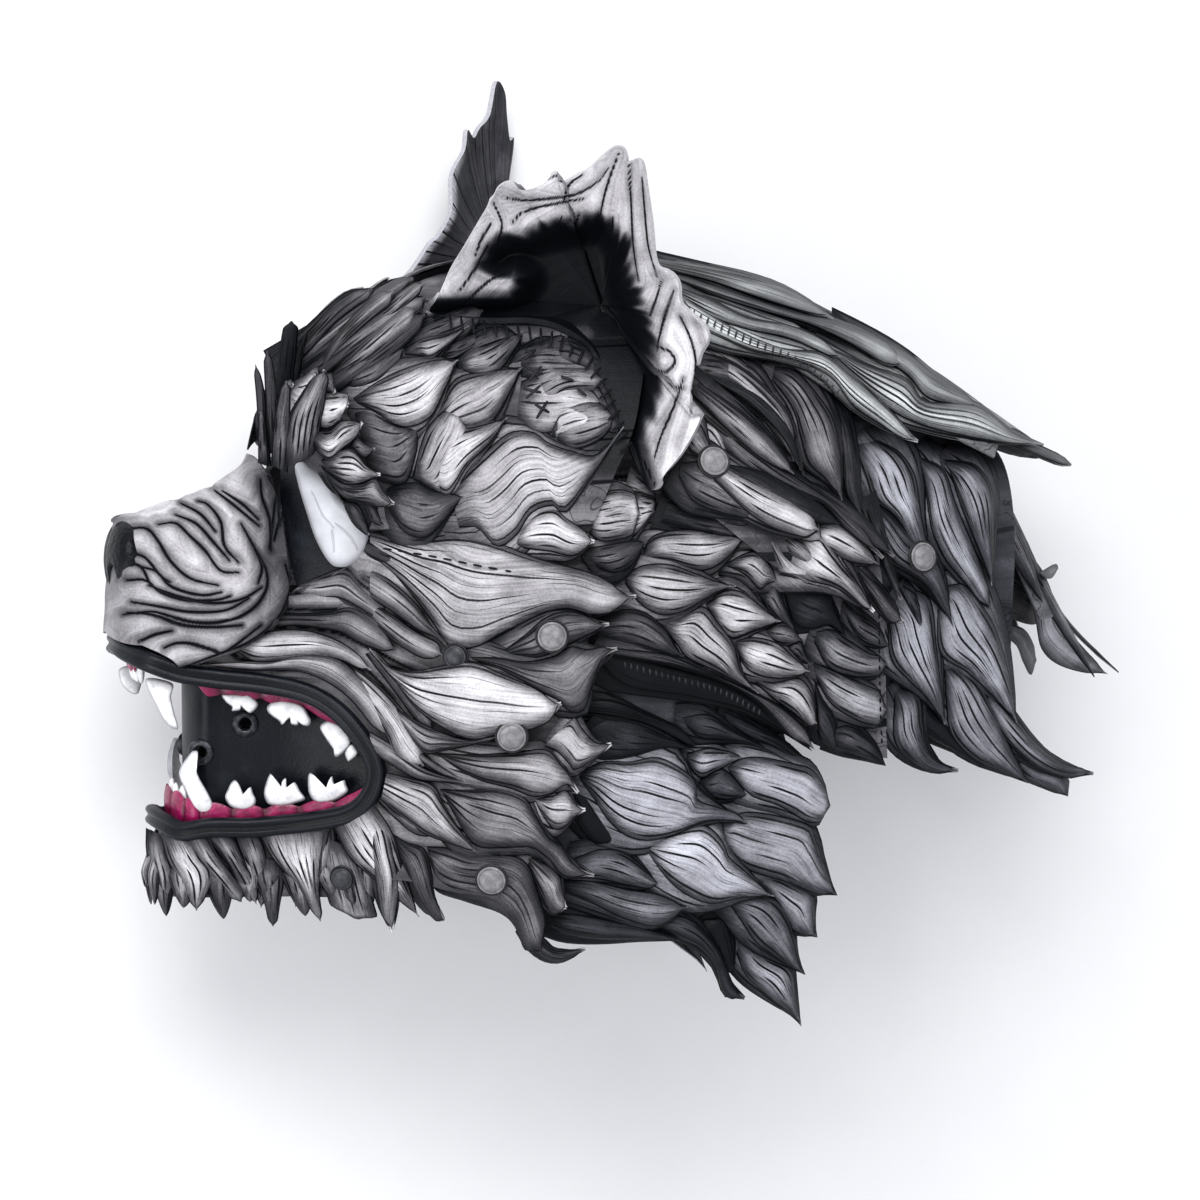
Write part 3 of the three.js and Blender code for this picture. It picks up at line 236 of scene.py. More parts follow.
class Piece:
    """Gathers grids of points with their carving notes and makes one object of them.
    lock_map holds the place across a lock, along it and its half width in millimetres;
    lock_make holds its seed, paleness and number of carved lines;
    lock_work holds drawn cuts, cut edges (on the lip band, painted highlights) and tint."""

    def __init__(self):
        self.points, self.faces, self.notes = [], [], []
        self.count = 0

    def add(self, points, faces, lock_map, lock_make, lock_work):
        points = points.reshape(-1, 3)
        n = len(points)
        self.points.append(points)
        self.faces.append(faces + self.count)
        notes = [np.asarray(v, float).reshape(-1, 3) for v in (lock_map, lock_make, lock_work)]
        self.notes.append(np.concatenate([np.broadcast_to(v, (n, 3)) for v in notes], axis=1))
        self.count += n

    def slab(self, grid, lock_map, lock_make, lock_work, thick, rim=1.0):
        """A sheet with thickness: a face, a back that thins to the edge, and cut edges."""
        m, n = grid.shape[:2]
        i = np.linspace(0, 1, m)[:, None]
        j = np.linspace(0, 1, n)[None, :]
        inward = 1.0
        for share in (j, i):
            inward = inward * np.minimum(1, EDGE_STEEPNESS * np.minimum(share, 1 - share))
        back = grid - grid_normals(grid) * (thick * mix(EDGE_SHARE, 1, inward))[..., None]
        maps = [np.broadcast_to(np.asarray(v, float), (m, n, 3)) for v in (lock_map, lock_make, lock_work)]
        self.add(grid, grid_faces(m, n), *maps)
        rows, columns = thinned(m), thinned(n)
        coarse = [v[np.ix_(rows, columns)] for v in (back, *maps)]
        self.add(coarse[0], grid_faces(len(rows), len(columns))[:, ::-1], *coarse[1:])
        for side, order in ((np.s_[:, 0], 1), (np.s_[:, -1], -1), (np.s_[0], -1), (np.s_[-1], 1)):
            wall = np.stack([grid[side], back[side]])
            picked = [np.stack([v[side], v[side]]) for v in maps]
            picked[2][..., 1] = rim
            self.add(wall, grid_faces(2, wall.shape[1])[:, ::order], *picked)

    def mirror(self):
        """Takes the whole piece over to the far side of the head."""
        for points in self.points:
            points[:, 2] *= -1
        self.faces = [faces[:, ::-1] for faces in self.faces]

    def build(self, name, material):
        """Makes the mesh in metres, with its notes as attributes."""
        points = np.concatenate(self.points)
        points[:, 2] = np.maximum(points[:, 2], GROUND + 0.2)
        mesh = bpy.data.meshes.new(name)
        mesh.from_pydata(((points + SHIFT) * MM).tolist(), [], np.concatenate(self.faces).tolist())
        notes = np.concatenate(self.notes)
        for k, note in enumerate(("lock_map", "lock_make", "lock_work")):
            layer = mesh.attributes.new(note, "FLOAT_VECTOR", "POINT")
            layer.data.foreach_set("vector", notes[:, 3 * k:3 * k + 3].astype(np.float32).ravel())
        mesh.polygons.foreach_set("use_smooth", [True] * len(mesh.polygons))
        mesh.materials.append(material)
        mesh.update()
        made = bpy.data.objects.new(name, mesh)
        bpy.context.scene.collection.objects.link(made)
        return made


def thinned(count):
    """Every third row of a grid and its last one, enough for the hidden side of a sheet."""
    return np.unique(np.append(np.arange(0, count, 3), count - 1))


def grid_normals(grid, closed=False):
    if closed:
        a = np.roll(grid, -1, axis=0) - np.roll(grid, 1, axis=0)
    else:
        a = np.gradient(grid, axis=0)
    b = np.gradient(grid, axis=1)
    normal = np.cross(a, b)
    return normal / np.maximum(np.linalg.norm(normal, axis=-1, keepdims=True), 1e-9)


def grid_faces(m, n, closed=False):
    i, j = np.meshgrid(np.arange(m if closed else m - 1), np.arange(n - 1), indexing="ij")
    i, j = i.ravel(), j.ravel()
    k = (i + 1) % m
    return np.stack([i * n + j, k * n + j, k * n + j + 1, i * n + j + 1], axis=1)


def facing(grid, closed=False):
    """Turns a grid over where its normals point into the head."""
    normal = grid_normals(grid, closed).reshape(-1, 3)
    out = grid.reshape(-1, 3) - np.array([20.0, -20.0, 0.0])
    return np.sum(normal * out) >= 0


def faced(grid, *others):
    """A grid and its notes, turned over where the grid faces into the head."""
    if facing(grid):
        return grid, *others
    return tuple(v[:, ::-1] for v in (grid, *others))


# Locks of fur between two drawn edges, which meet at the root and at the tip

LOCK_THICK = 2.2


def lock_grid(upper, lower, lifts, curl, puff, place, across=12, run=30, side=1, start=0.0):
    """A lock between its two drawn edges, and where each point lies on the lock."""
    t = np.linspace(0, 1, run + 1)
    a = np.linspace(-1, 1, across + 1)
    top = curve(drawn(upper), run + 1)
    low = curve(drawn(lower), run + 1)
    pinch = (1 - 0.9 * smooth(t, 0.86, 1.0) ** 2)[:, None]
    top, low = (top + low) / 2 + (top - low) / 2 * pinch, (top + low) / 2 - (top - low) / 2 * pinch
    uv = low[:, None] + (top - low)[:, None] * ((a + 1) / 2)[None, :, None]
    half = np.linalg.norm(top - low, axis=1) / 2
    dome = (1 - a * a) ** 0.75
    swell = np.minimum(puff, 0.5 * half) * np.sin(np.pi * np.clip(t * 0.92 + 0.06, 0, 1)) ** 0.6
    lift = mix(lifts[0], lifts[1], t ** 0.8)[:, None] + swell[:, None] * dome[None, :]
    lift = lift + curl * smooth(t, 0.72, 1.0)[:, None] ** 1.5 * (0.75 + 0.25 * np.abs(a))[None, :]
    if side < 0:
        lift = np.minimum(lift, 12 + 0.2 * lift)
    grid = place(uv, lift, side)
    long = np.linalg.norm((top + low)[-1] - (top + low)[0]) / 2
    start = max(start, 0.14 * np.clip((long - 22) / 45, 0, 1))
    shown = start + (1 - start) * t
    return grid, together(a[None, :], shown[:, None], np.maximum(half, 0.3)[:, None])


def add_lock(piece, drawing, place=head_place, side=1, tint=0.0, fine=True, start=0.0):
    """Lays one drawn lock on a surface, in less detail on the far side."""
    upper, lower, tone, lines, lifts, curl, puff = drawing
    detail = dict(across=12, run=30) if fine and side > 0 else dict(across=8, run=14)
    grid, lock_map = faced(*lock_grid(upper, lower, lifts, curl, puff, place, side=side, start=start, **detail))
    seed = RANDOM.random()
    make = (seed, tone, lines if side > 0 else min(lines, 3))
    piece.slab(grid, lock_map, make, (0, 0, tint), thick=LOCK_THICK)

# Drawn locks: paleness, carved lines, lift at root and tip, upper edge and lower edge
# in picture points, then curl and swell where a lock has its own

LOCK_ROWS = {
    "forehead": [
        (0.75, 6, 8, 13, [357, 323, 380, 308, 404, 289, 422, 279], [360, 337, 387, 323, 410, 304, 425, 287]),
        (0.7, 6, 9, 13, [316, 367, 337, 333, 362, 306, 387, 285], [321, 375, 343, 346, 370, 321, 399, 298]),
        (0.6, 6, 9, 12, [282, 360, 303, 337, 334, 304, 362, 285], [284, 375, 309, 352, 343, 317, 380, 291]),
        (0.7, 6, 8, 12, [332, 371, 360, 342, 387, 317, 414, 296], [337, 377, 362, 367, 387, 350, 418, 321]),
        (0.5, 3, 7, 10, [334, 375, 360, 367, 387, 350, 402, 342], [357, 392, 380, 382, 395, 367, 404, 356]),
        (0.85, 3, 9, 13, [404, 348, 425, 337, 448, 333, 468, 325], [405, 355, 422, 356, 435, 358, 469, 326]),
        (0.6, 3, 8, 11, [437, 356, 456, 340, 479, 331], [443, 358, 460, 356, 480, 344]),
        (0.8, 6, 9, 14, [353, 398, 376, 382, 402, 369, 433, 360, 458, 359], [357, 403, 376, 413, 395, 425,
         412, 427, 431, 417, 443, 394, 458, 360]),
        (0.55, 3, 8, 12, [427, 370, 440, 357, 456, 349, 483, 340], [424, 378, 440, 360, 454, 359, 484, 341]),
        (0.6, 5, 9, 13, [456, 366, 468, 349, 491, 340, 519, 333], [456, 368, 476, 376, 499, 372, 526, 333]),
        (0.7, 5, 8, 14, [424, 419, 440, 407, 456, 378, 494, 370, 523, 367], [420, 432, 449, 430, 483, 427,
         499, 413, 523, 367]),
        (0.85, 5, 9, 15, [420, 448, 446, 432, 478, 426, 507, 417], [414, 480, 435, 489, 449, 496, 467, 467,
         491, 442, 507, 418]),
        (0.52, 5, 7, 10, [351, 403, 368, 405, 395, 423, 418, 428], [372, 476, 387, 483, 406, 482, 417, 451,
         418, 429]),
        (0.72, 4, 8, 13, [412, 476, 425, 432, 441, 413, 452, 408], [414, 480, 433, 490, 448, 493, 471, 451,
         466, 420]),
        (0.78, 7, 9, 15.5, [451, 489, 483, 454, 510, 432, 534, 432, 548, 442, 570, 450, 597, 454, 624, 426],
         [459, 528, 478, 529, 497, 547, 516, 536, 532, 513, 553, 506, 566, 513, 589, 482, 624, 427], 0, 5),
        (0.85, 4, 8, 14, [519, 534, 534, 513, 553, 507, 567, 518, 582, 528, 594, 541], [505, 545, 526, 549,
         551, 552, 574, 556, 594, 542], 3),
        (0.85, 5, 9, 13, [542, 432, 553, 416, 556, 402, 574, 399, 607, 416], [546, 437, 558, 445, 582, 445,
         609, 417]),
        (0.5, 3, 8, 12, [502, 368, 519, 349, 538, 340, 567, 333], [507, 370, 526, 360, 546, 354, 569, 340]),
        (0.45, 3, 9, 13, [546, 346, 567, 336, 586, 346, 596, 362], [548, 356, 561, 365, 583, 370, 597, 376]),
        (0.6, 6, 8, 13, [526, 370, 542, 359, 566, 362, 599, 367], [526, 407, 542, 419, 566, 397, 605, 391]),
        (0.45, 4, 7, 12, [387, 488, 414, 482, 433, 490, 464, 495], [387, 507, 404, 532, 429, 536, 464, 497]),
        (0.58, 6, 8, 11, [282, 354, 320, 326, 361, 298, 397, 278, 413, 272], [290, 377, 328, 350, 373, 312,
         413, 284], 0, 1.5),
        (0.62, 5, 8.5, 12, [300, 371, 345, 336, 381, 308, 417, 290], [316, 381, 361, 348, 397, 324, 433,
         304], 0, 1.5),
        (0.5, 5, 8.5, 12, [326, 381, 361, 352, 393, 328, 421, 308], [336, 393, 373, 369, 401, 348, 429, 320],
         0, 1.5),
        (0.5, 4, 9, 12, [405, 334, 429, 320, 457, 308, 481, 304], [413, 352, 441, 344, 465, 336, 485, 316],
         0, 1.5),
        (0.45, 4, 9, 12.5, [453, 365, 469, 336, 497, 326, 521, 336], [459, 371, 481, 375, 505, 365, 523,
         340], 0, 1.5),
        (0.5, 6, 10, 13, [521, 346, 542, 336, 570, 340, 594, 356], [521, 377, 546, 381, 574, 381, 598, 369],
         0, 1.5),
        (0.78, 3, 10.5, 13.5, [521, 381, 546, 373, 574, 381, 602, 397], [517, 421, 537, 433, 562, 429, 602,
         405], 0, 1.5),
        (0.62, 5, 11.5, 14, [550, 421, 562, 403, 586, 397, 612, 410], [552, 437, 574, 449, 598, 441, 616,
         423], 0, 2),
        (0.38, 4, 10, 13, [586, 356, 604, 377, 616, 401, 622, 429], [566, 369, 582, 393, 598, 421, 616, 439],
         0, 1.5),
    ],
    "cheek": [
        (0.72, 8, 2, 16, [370, 530, 416, 538, 459, 533, 488, 538, 536, 557, 590, 572, 616, 585, 636, 596],
         [370, 557, 403, 585, 431, 620, 448, 646, 474, 648, 499, 635, 529, 620, 548, 612, 570, 609, 590, 615,
         616, 612, 636, 596], 2, 5),
        (0.7, 3, 3, 10, [370, 567, 392, 581, 414, 601, 431, 624, 450, 646], [370, 598, 392, 612, 416, 629,
         435, 638, 446, 648]),
        (0.75, 4, 2, 9, [370, 600, 392, 614, 416, 631, 437, 642, 444, 653], [370, 620, 392, 640, 411, 653,
         425, 659, 442, 658]),
        (0.6, 4, 10, 15.5, [501, 652, 524, 635, 544, 618, 564, 611, 583, 614, 597, 622, 609, 624], [503, 655,
         524, 657, 540, 658, 560, 649, 579, 640, 597, 631, 609, 624], 2),
        (0.55, 5, 9, 16, [470, 657, 499, 657, 527, 661, 555, 655, 570, 646, 588, 649, 603, 646, 617, 648],
         [474, 661, 499, 670, 527, 685, 555, 701, 573, 713, 585, 709, 592, 686, 601, 661, 617, 649], 7, 5),
        (0.9, 7, 6, 15.5, [370, 648, 388, 666, 416, 670, 448, 664, 474, 662, 503, 674, 531, 686, 560, 702],
         [377, 659, 398, 686, 416, 709, 444, 729, 472, 740, 498, 735, 527, 731, 553, 720, 562, 705], 1, 6),
        (0.7, 4, 7, 13, [396, 708, 422, 723, 453, 736, 474, 740, 496, 736], [403, 727, 424, 753, 444, 751,
         466, 747, 498, 738]),
        (0.8, 2, 11, 15, [566, 724, 575, 717, 581, 726, 590, 737, 599, 743, 611, 742], [544, 746, 557, 752,
         568, 763, 575, 770, 592, 761, 611, 746], 6),
        (0.7, 5, 7, 14, [435, 753, 474, 754, 514, 752, 546, 749, 560, 763, 572, 778, 578, 792], [438, 755,
         459, 770, 481, 781, 511, 789, 533, 797, 551, 794, 566, 785, 578, 793], 3),
        (0.85, 3, 10, 14, [533, 798, 551, 796, 566, 790, 577, 805, 585, 809], [535, 801, 542, 815, 553, 829,
         564, 828, 575, 817, 585, 810], 6),
        (0.55, 6, 6, 14, [438, 788, 474, 789, 499, 787, 524, 796, 536, 815, 549, 837, 562, 846, 573, 863,
         594, 875], [442, 794, 453, 815, 468, 839, 481, 848, 511, 848, 531, 848, 548, 859, 560, 874, 573,
         878, 594, 876], 4, 5),
        (0.8, 6, 4, 11, [387, 772, 411, 778, 433, 785, 444, 804, 459, 828, 479, 854], [381, 800, 398, 815,
         422, 833, 444, 842, 462, 848, 479, 854], 0, 5),
        (0.85, 5, 2, 9, [374, 813, 390, 829, 396, 854, 400, 885, 393, 931], [359, 811, 366, 848, 374, 876,
         381, 913, 392, 932], 3),
        (0.5, 4, 3, 11, [392, 833, 407, 842, 424, 848, 431, 866, 435, 894, 444, 919], [394, 841, 403, 866,
         411, 889, 424, 909, 438, 923, 444, 920], 5),
        (0.45, 7, 4, 12, [427, 846, 453, 848, 474, 854, 499, 854, 518, 857, 529, 866, 536, 885, 544, 913,
         549, 939], [431, 866, 435, 890, 466, 902, 499, 913, 514, 926, 524, 950, 533, 963], 2),
        (0.6, 2, 10, 13, [534, 910, 540, 932, 546, 945, 561, 951, 585, 948], [525, 927, 534, 948, 548, 960,
         565, 961, 585, 950], 2, 3),
        (0.7, 4, 8, 13, [527, 855, 544, 863, 559, 874, 562, 885, 566, 907], [527, 861, 536, 885, 548, 909,
         557, 914, 566, 908], 4),
        (0.8, 4, 3, 9, [370, 731, 398, 748, 425, 768, 462, 781, 474, 783], [370, 752, 394, 767, 418, 780,
         448, 783, 474, 785]),
        (0.85, 4, 3, 9, [370, 696, 398, 728, 424, 754, 444, 768, 466, 781], [370, 715, 394, 743, 420, 761,
         440, 774, 466, 782]),
        (0.6, 2, 1, 4, [348, 598, 365, 610, 386, 623, 402, 629], [335, 611, 355, 617, 376, 629, 402, 633]),
        (0.6, 3, 0, 4, [280, 612, 304, 613, 331, 611, 353, 607, 376, 623, 396, 644], [278, 627, 296, 626,
         320, 629, 341, 633, 361, 644, 396, 656]),
        (0.9, 3, 0, 4, [247, 640, 269, 631, 296, 629, 320, 633, 345, 644, 371, 664], [233, 650, 255, 662,
         284, 661, 314, 657, 341, 661, 371, 676]),
        (0.75, 5, 0, 5, [214, 665, 243, 661, 276, 661, 304, 654, 339, 659, 363, 679, 386, 703, 402, 736],
         [186, 665, 214, 667, 251, 671, 294, 671, 324, 681, 349, 699, 373, 728, 386, 744]),
        (0.7, 3, 2, 7, [376, 650, 396, 671, 420, 697, 437, 724], [365, 654, 386, 681, 406, 708, 427, 736]),
        (0.8, 5, 1, 7, [341, 659, 365, 673, 392, 697, 420, 732, 427, 761], [345, 683, 365, 706, 386, 736,
         396, 761, 420, 771]),
        (0.7, 3, 2, 7, [385, 773, 402, 777, 420, 785, 437, 793], [384, 789, 396, 797, 420, 808, 437, 806]),
        (0.75, 4, 2, 7, [385, 791, 396, 803, 420, 814, 435, 818], [378, 803, 394, 818, 414, 834, 435, 838]),
        (0.85, 7, 0, 6, [337, 836, 361, 814, 380, 830, 390, 850, 394, 875], [335, 838, 349, 850, 365, 865,
         384, 883, 394, 893], 3),
        (0.6, 3, -1, 3, [304, 582, 324, 574, 347, 568, 365, 587, 392, 611], [288, 595, 314, 603, 337, 603,
         357, 611, 386, 629]),
        (0.55, 3, 1, 5, [361, 562, 386, 578, 406, 599, 427, 621], [351, 574, 373, 591, 396, 611, 420, 633]),
        (0.5, 3, 2, 6, [365, 538, 386, 546, 406, 550, 431, 550], [363, 556, 386, 566, 406, 574, 431, 582]),
    ],
    "side_neck": [
        (0.75, 5, 3, 8, [589, 497, 611, 491, 635, 490], [591, 519, 599, 535, 609, 539, 634, 497]),
        (0.8, 8, 4, 8, [634, 490, 654, 497, 655, 510], [609, 540, 631, 539, 654, 513]),
        (0.5, 4, 3, 7, [580, 551, 602, 542, 625, 542, 643, 542], [593, 573, 607, 575, 620, 573, 641, 544]),
        (0.75, 4, 4, 10.5, [640, 555, 654, 535, 687, 529, 718, 534, 746, 537], [640, 559, 669, 562, 701, 571,
         723, 562, 746, 538]),
        (0.8, 5, 5, 11, [625, 575, 643, 565, 669, 564, 696, 573, 714, 580, 736, 586], [625, 584, 640, 604,
         660, 615, 680, 613, 701, 602, 718, 592, 736, 587]),
        (0.45, 5, 4, 9, [598, 618, 625, 609, 647, 613, 665, 629, 676, 647, 685, 658], [600, 640, 625, 644,
         647, 650, 669, 655, 685, 658]),
        (0.75, 4, 5, 11, [660, 620, 680, 618, 703, 606, 718, 622, 734, 644, 741, 671, 759, 693], [660, 624,
         676, 644, 687, 658, 714, 671, 732, 680, 759, 694]),
        (0.9, 4, 6, 11.5, [705, 604, 723, 591, 741, 591, 759, 604, 770, 613, 781, 621], [707, 609, 718, 624,
         732, 638, 754, 631, 768, 626, 781, 622]),
        (0.9, 4, 7, 12, [734, 640, 754, 637, 776, 642, 792, 655, 810, 671], [736, 651, 745, 667, 759, 676,
         781, 679, 799, 676, 810, 672]),
        (0.85, 4, 7, 11, [752, 676, 776, 682, 799, 678, 812, 693, 817, 722], [754, 682, 772, 698, 794, 714,
         810, 727, 817, 725]),
        (0.7, 3, 7, 11.5, [618, 648, 669, 655, 718, 676, 750, 691, 781, 707, 810, 734, 815, 749], [613, 655,
         665, 664, 714, 678, 754, 698, 776, 720, 794, 740, 814, 750]),
        (0.8, 3, 6, 10, [725, 564, 745, 553, 759, 552, 772, 568, 778, 582], [727, 566, 745, 575, 759, 589,
         768, 584, 778, 582]),
        (0.6, 3, 6, 9.5, [759, 593, 776, 584, 785, 606, 794, 629], [761, 600, 774, 618, 794, 629]),
        (0.6, 3, 6, 9.5, [759, 632, 781, 622, 792, 626, 801, 640], [761, 633, 781, 647, 801, 641]),
        (0.6, 3, 6, 9.5, [783, 647, 799, 641, 805, 653, 810, 664], [785, 651, 799, 660, 810, 665]),
        (0.5, 2, 5, 10, [665, 528, 683, 513, 705, 519, 727, 526, 754, 530], [667, 530, 687, 528, 714, 535,
         736, 537, 754, 535]),
        (0.06, 2, 3, 6, [618, 650, 669, 666, 718, 678, 754, 697, 794, 728, 814, 750], [593, 655, 625, 685,
         687, 696, 741, 709, 776, 727, 810, 752], 0, 2),
        (0.35, 4, 8, 9.5, [669, 501, 701, 513, 733, 521, 753, 530], [661, 521, 693, 530, 721, 534, 752, 533],
         0, 1),
        (0.75, 7, 9, 11, [576, 501, 600, 493, 620, 489, 641, 495], [584, 529, 600, 541, 620, 540, 638, 533],
         0, 1.5),
        (0.5, 4, 8, 10, [580, 549, 604, 545, 628, 541, 645, 540], [600, 569, 616, 573, 632, 565, 645, 545],
         0, 1.5),
    ],
    "side_mane": [
        (0.85, 3, 9, 14, [691, 378, 707, 379, 733, 396, 749, 420, 751, 434], [691, 386, 710, 397, 733, 420,
         751, 434]),
        (0.85, 5, 9, 15, [700, 351, 733, 361, 766, 386, 789, 414, 796, 442, 794, 462], [700, 366, 733, 389,
         758, 414, 780, 442, 794, 462]),
        (0.6, 5, 10, 15.5, [775, 366, 797, 371, 820, 397, 834, 420, 841, 453, 843, 500], [772, 380, 792, 408,
         800, 436, 808, 462, 825, 479, 842, 500]),
        (0.45, 3, 9, 13, [836, 397, 849, 422, 858, 465, 862, 518], [836, 408, 841, 453, 846, 493, 862, 518]),
        (0.5, 4, 8, 12, [733, 358, 758, 363, 775, 386, 797, 422, 806, 481], [724, 363, 752, 386, 775, 414,
         792, 448, 804, 482]),
        (0.55, 4, 8, 12, [688, 358, 713, 358, 733, 363], [688, 375, 710, 380, 733, 386]),
        (0.5, 4, 10, 16, [693, 392, 724, 420, 761, 448, 797, 477, 831, 500, 859, 523, 883, 557], [693, 408,
         713, 434, 738, 465, 766, 484, 800, 497, 825, 507, 845, 529, 883, 559], 2, 4),
        (0.45, 3, 11, 16, [797, 476, 825, 487, 853, 507, 879, 535, 894, 556], [800, 479, 822, 501, 848, 523,
         873, 546, 894, 557], 2),
        (0.97, 4, 8, 14, [724, 467, 761, 481, 794, 498, 814, 509, 824, 538], [714, 483, 738, 511, 763, 529,
         792, 538, 822, 545], 0, 5),
        (0.5, 4, 8, 12, [682, 462, 707, 462, 730, 493, 753, 525], [679, 479, 696, 509, 724, 524, 752, 527]),
        (0.75, 3, 8, 11, [693, 408, 719, 414, 730, 436, 734, 462], [693, 436, 702, 448, 724, 462]),
        (0.75, 3, 9, 13, [776, 533, 794, 535, 817, 551, 832, 576], [779, 539, 790, 555, 810, 571, 832, 578]),
        (0.8, 3, 8, 12, [759, 526, 770, 546, 776, 568, 781, 575], [776, 535, 781, 546, 794, 564, 830, 577]),
        (0.85, 3, 10, 15.5, [817, 515, 830, 542, 843, 564, 860, 586, 874, 611], [779, 575, 812, 582, 837,
         589, 860, 606, 874, 612], 2),
        (0.85, 2, 9, 13, [794, 535, 817, 542, 832, 555, 848, 575], [799, 542, 821, 562, 835, 573, 848, 576]),
        (0.6, 3, 10, 16, [852, 561, 878, 585, 895, 605, 903, 620], [859, 575, 871, 597, 888, 621, 902, 623],
         5),
        (0.5, 2, 9, 15, [874, 501, 882, 527, 891, 563, 903, 598], [866, 510, 876, 539, 887, 575, 900, 601],
         2),
        (0.8, 3, 9, 14, [808, 521, 836, 521, 859, 535, 879, 563], [808, 538, 831, 554, 853, 563, 879, 566]),
        (0.5, 5, 15, 16, [681, 462, 709, 462, 729, 478, 749, 497], [679, 476, 693, 501, 721, 513, 757, 521],
         0, 1.5),
        (0.85, 2, 15, 17, [692, 416, 702, 426, 711, 448], [681, 440, 692, 452, 703, 458], 0, 1.5),
        (0.9, 5, 17, 18.5, [713, 458, 757, 481, 797, 501, 821, 519], [714, 481, 749, 513, 777, 530, 817,
         541], 0, 2),
        (0.72, 5, 15, 17, [699, 382, 741, 410, 773, 440, 797, 473], [689, 392, 721, 424, 757, 456, 791, 475],
         0, 2),
        (0.4, 4, 14.5, 16.5, [729, 380, 765, 400, 791, 432, 802, 469], [713, 380, 749, 404, 781, 436, 800,
         471], 0, 2),
        (0.3, 4, 16, 18.5, [717, 470, 741, 485, 781, 513, 839, 527], [729, 464, 765, 472, 805, 497, 841,
         522], 0, 1.5),
    ],
    "crest": [
        (0.92, 4, 12, 15, [657, 260, 710, 269, 761, 279, 797, 293, 834, 317], [662, 269, 713, 282, 752, 296,
         797, 310, 834, 319]),
        (0.77, 5, 12, 15.5, [668, 272, 713, 285, 758, 300, 797, 313, 836, 321, 879, 338, 908, 354], [674,
         279, 724, 299, 769, 313, 808, 324, 845, 341, 879, 361, 905, 376]),
        (0.92, 5, 13, 15.5, [676, 286, 713, 299, 747, 316, 786, 324, 814, 335, 838, 349], [679, 298, 713,
         319, 747, 330, 786, 338, 820, 352, 843, 364]),
        (1.0, 5, 14, 16.5, [682, 296, 733, 327, 780, 347, 820, 352, 848, 372, 879, 400, 901, 422, 918, 436],
         [706, 331, 752, 351, 797, 361, 831, 378, 853, 406, 881, 425, 912, 446, 918, 446], 1, 4),
        (0.97, 6, 13, 16, [834, 349, 865, 363, 907, 378, 926, 400, 977, 406, 1016, 434, 1044, 442], [836,
         358, 859, 383, 887, 408, 921, 425, 963, 436, 1005, 443, 1044, 446]),
        (0.82, 4, 12, 15, [842, 324, 879, 339, 909, 355, 932, 373, 963, 392, 980, 404], [848, 341, 881, 359,
         907, 375, 926, 397, 949, 404, 980, 408]),
        (0.62, 2, 12, 13, [977, 415, 1013, 434, 1044, 448, 1072, 460], [980, 422, 1010, 442, 1039, 456, 1071,
         469], 0, 2),
        (0.9, 5, 9, 12, [661, 262, 699, 269, 752, 278, 808, 300], [667, 273, 699, 283, 752, 295, 807, 307],
         0, 1.5),
        (0.85, 4, 11, 13, [675, 285, 716, 295, 764, 311, 808, 327], [679, 295, 716, 308, 764, 327, 807, 336],
         0, 1.5),
        (0.7, 4, 10, 12, [667, 273, 716, 283, 764, 301, 808, 315], [673, 287, 716, 297, 764, 316, 807, 327],
         0, 1.5),
    ],
    "back_mane": [
        (0.75, 6, 1, 5, [878, 440, 900, 452, 915, 474, 920, 503, 925, 532, 931, 554], [854, 445, 866, 478,
         874, 500, 893, 515, 908, 537, 914, 552]),
        (0.75, 6, 1, 5, [921, 457, 944, 469, 956, 503, 971, 539, 985, 575, 992, 600], [922, 471, 927, 503,
         932, 532, 946, 561, 966, 585, 989, 615]),
        (0.65, 6, 2, 6, [944, 459, 975, 464, 992, 488, 994, 527, 993, 585], [949, 469, 958, 498, 973, 537,
         985, 566, 992, 586]),
        (0.6, 5, 3, 7, [874, 500, 893, 515, 912, 537, 929, 551, 944, 578, 954, 628], [866, 515, 878, 539,
         891, 563, 910, 575, 927, 588, 939, 605, 954, 628]),
        (0.75, 6, 2, 6, [946, 585, 966, 585, 985, 609, 997, 631, 1009, 672, 1018, 722], [939, 605, 937, 624,
         941, 655, 966, 672, 990, 694, 1017, 723]),
        (0.7, 6, 2, 6, [903, 585, 927, 595, 934, 614, 937, 648, 946, 724], [887, 624, 891, 660, 910, 682,
         927, 699, 945, 725]),
        (0.65, 6, 1, 5, [940, 659, 966, 672, 983, 689, 1000, 721, 1009, 743, 1029, 783], [944, 665, 946, 704,
         951, 735, 971, 757, 995, 769, 1028, 784]),
        (0.7, 4, 2, 7, [984, 689, 1000, 701, 1019, 723, 1036, 743, 1060, 762, 1084, 768, 1094, 772], [988,
         704, 997, 728, 1014, 750, 1036, 767, 1065, 777, 1093, 775], 1),
        (0.7, 2, 0, 4, [1005, 743, 1036, 767, 1065, 776, 1069, 796], [1007, 750, 1021, 774, 1043, 786, 1067,
         797]),
        (0.6, 4, 1, 6, [900, 687, 920, 697, 923, 721, 927, 747, 939, 762, 959, 769], [894, 697, 894, 740,
         910, 760, 932, 772, 958, 772], 2),
        (0.7, 2, 3, 7, [904, 585, 917, 597, 923, 625], [899, 588, 910, 609, 920, 627]),
        (0.2, 2, 0, 3, [922, 699, 946, 723, 961, 743, 985, 767], [923, 716, 927, 735, 956, 752, 985, 767]),
        (0.75, 1, 3, 6, [888, 527, 895, 544, 900, 566], [887, 537, 891, 556, 899, 567]),
    ],
    "flank": [
        (0.25, 1, 4, 5, [776, 575, 803, 586, 828, 591, 835, 609, 848, 638], [781, 586, 794, 622, 812, 629,
         830, 626, 848, 640], 0, 2),
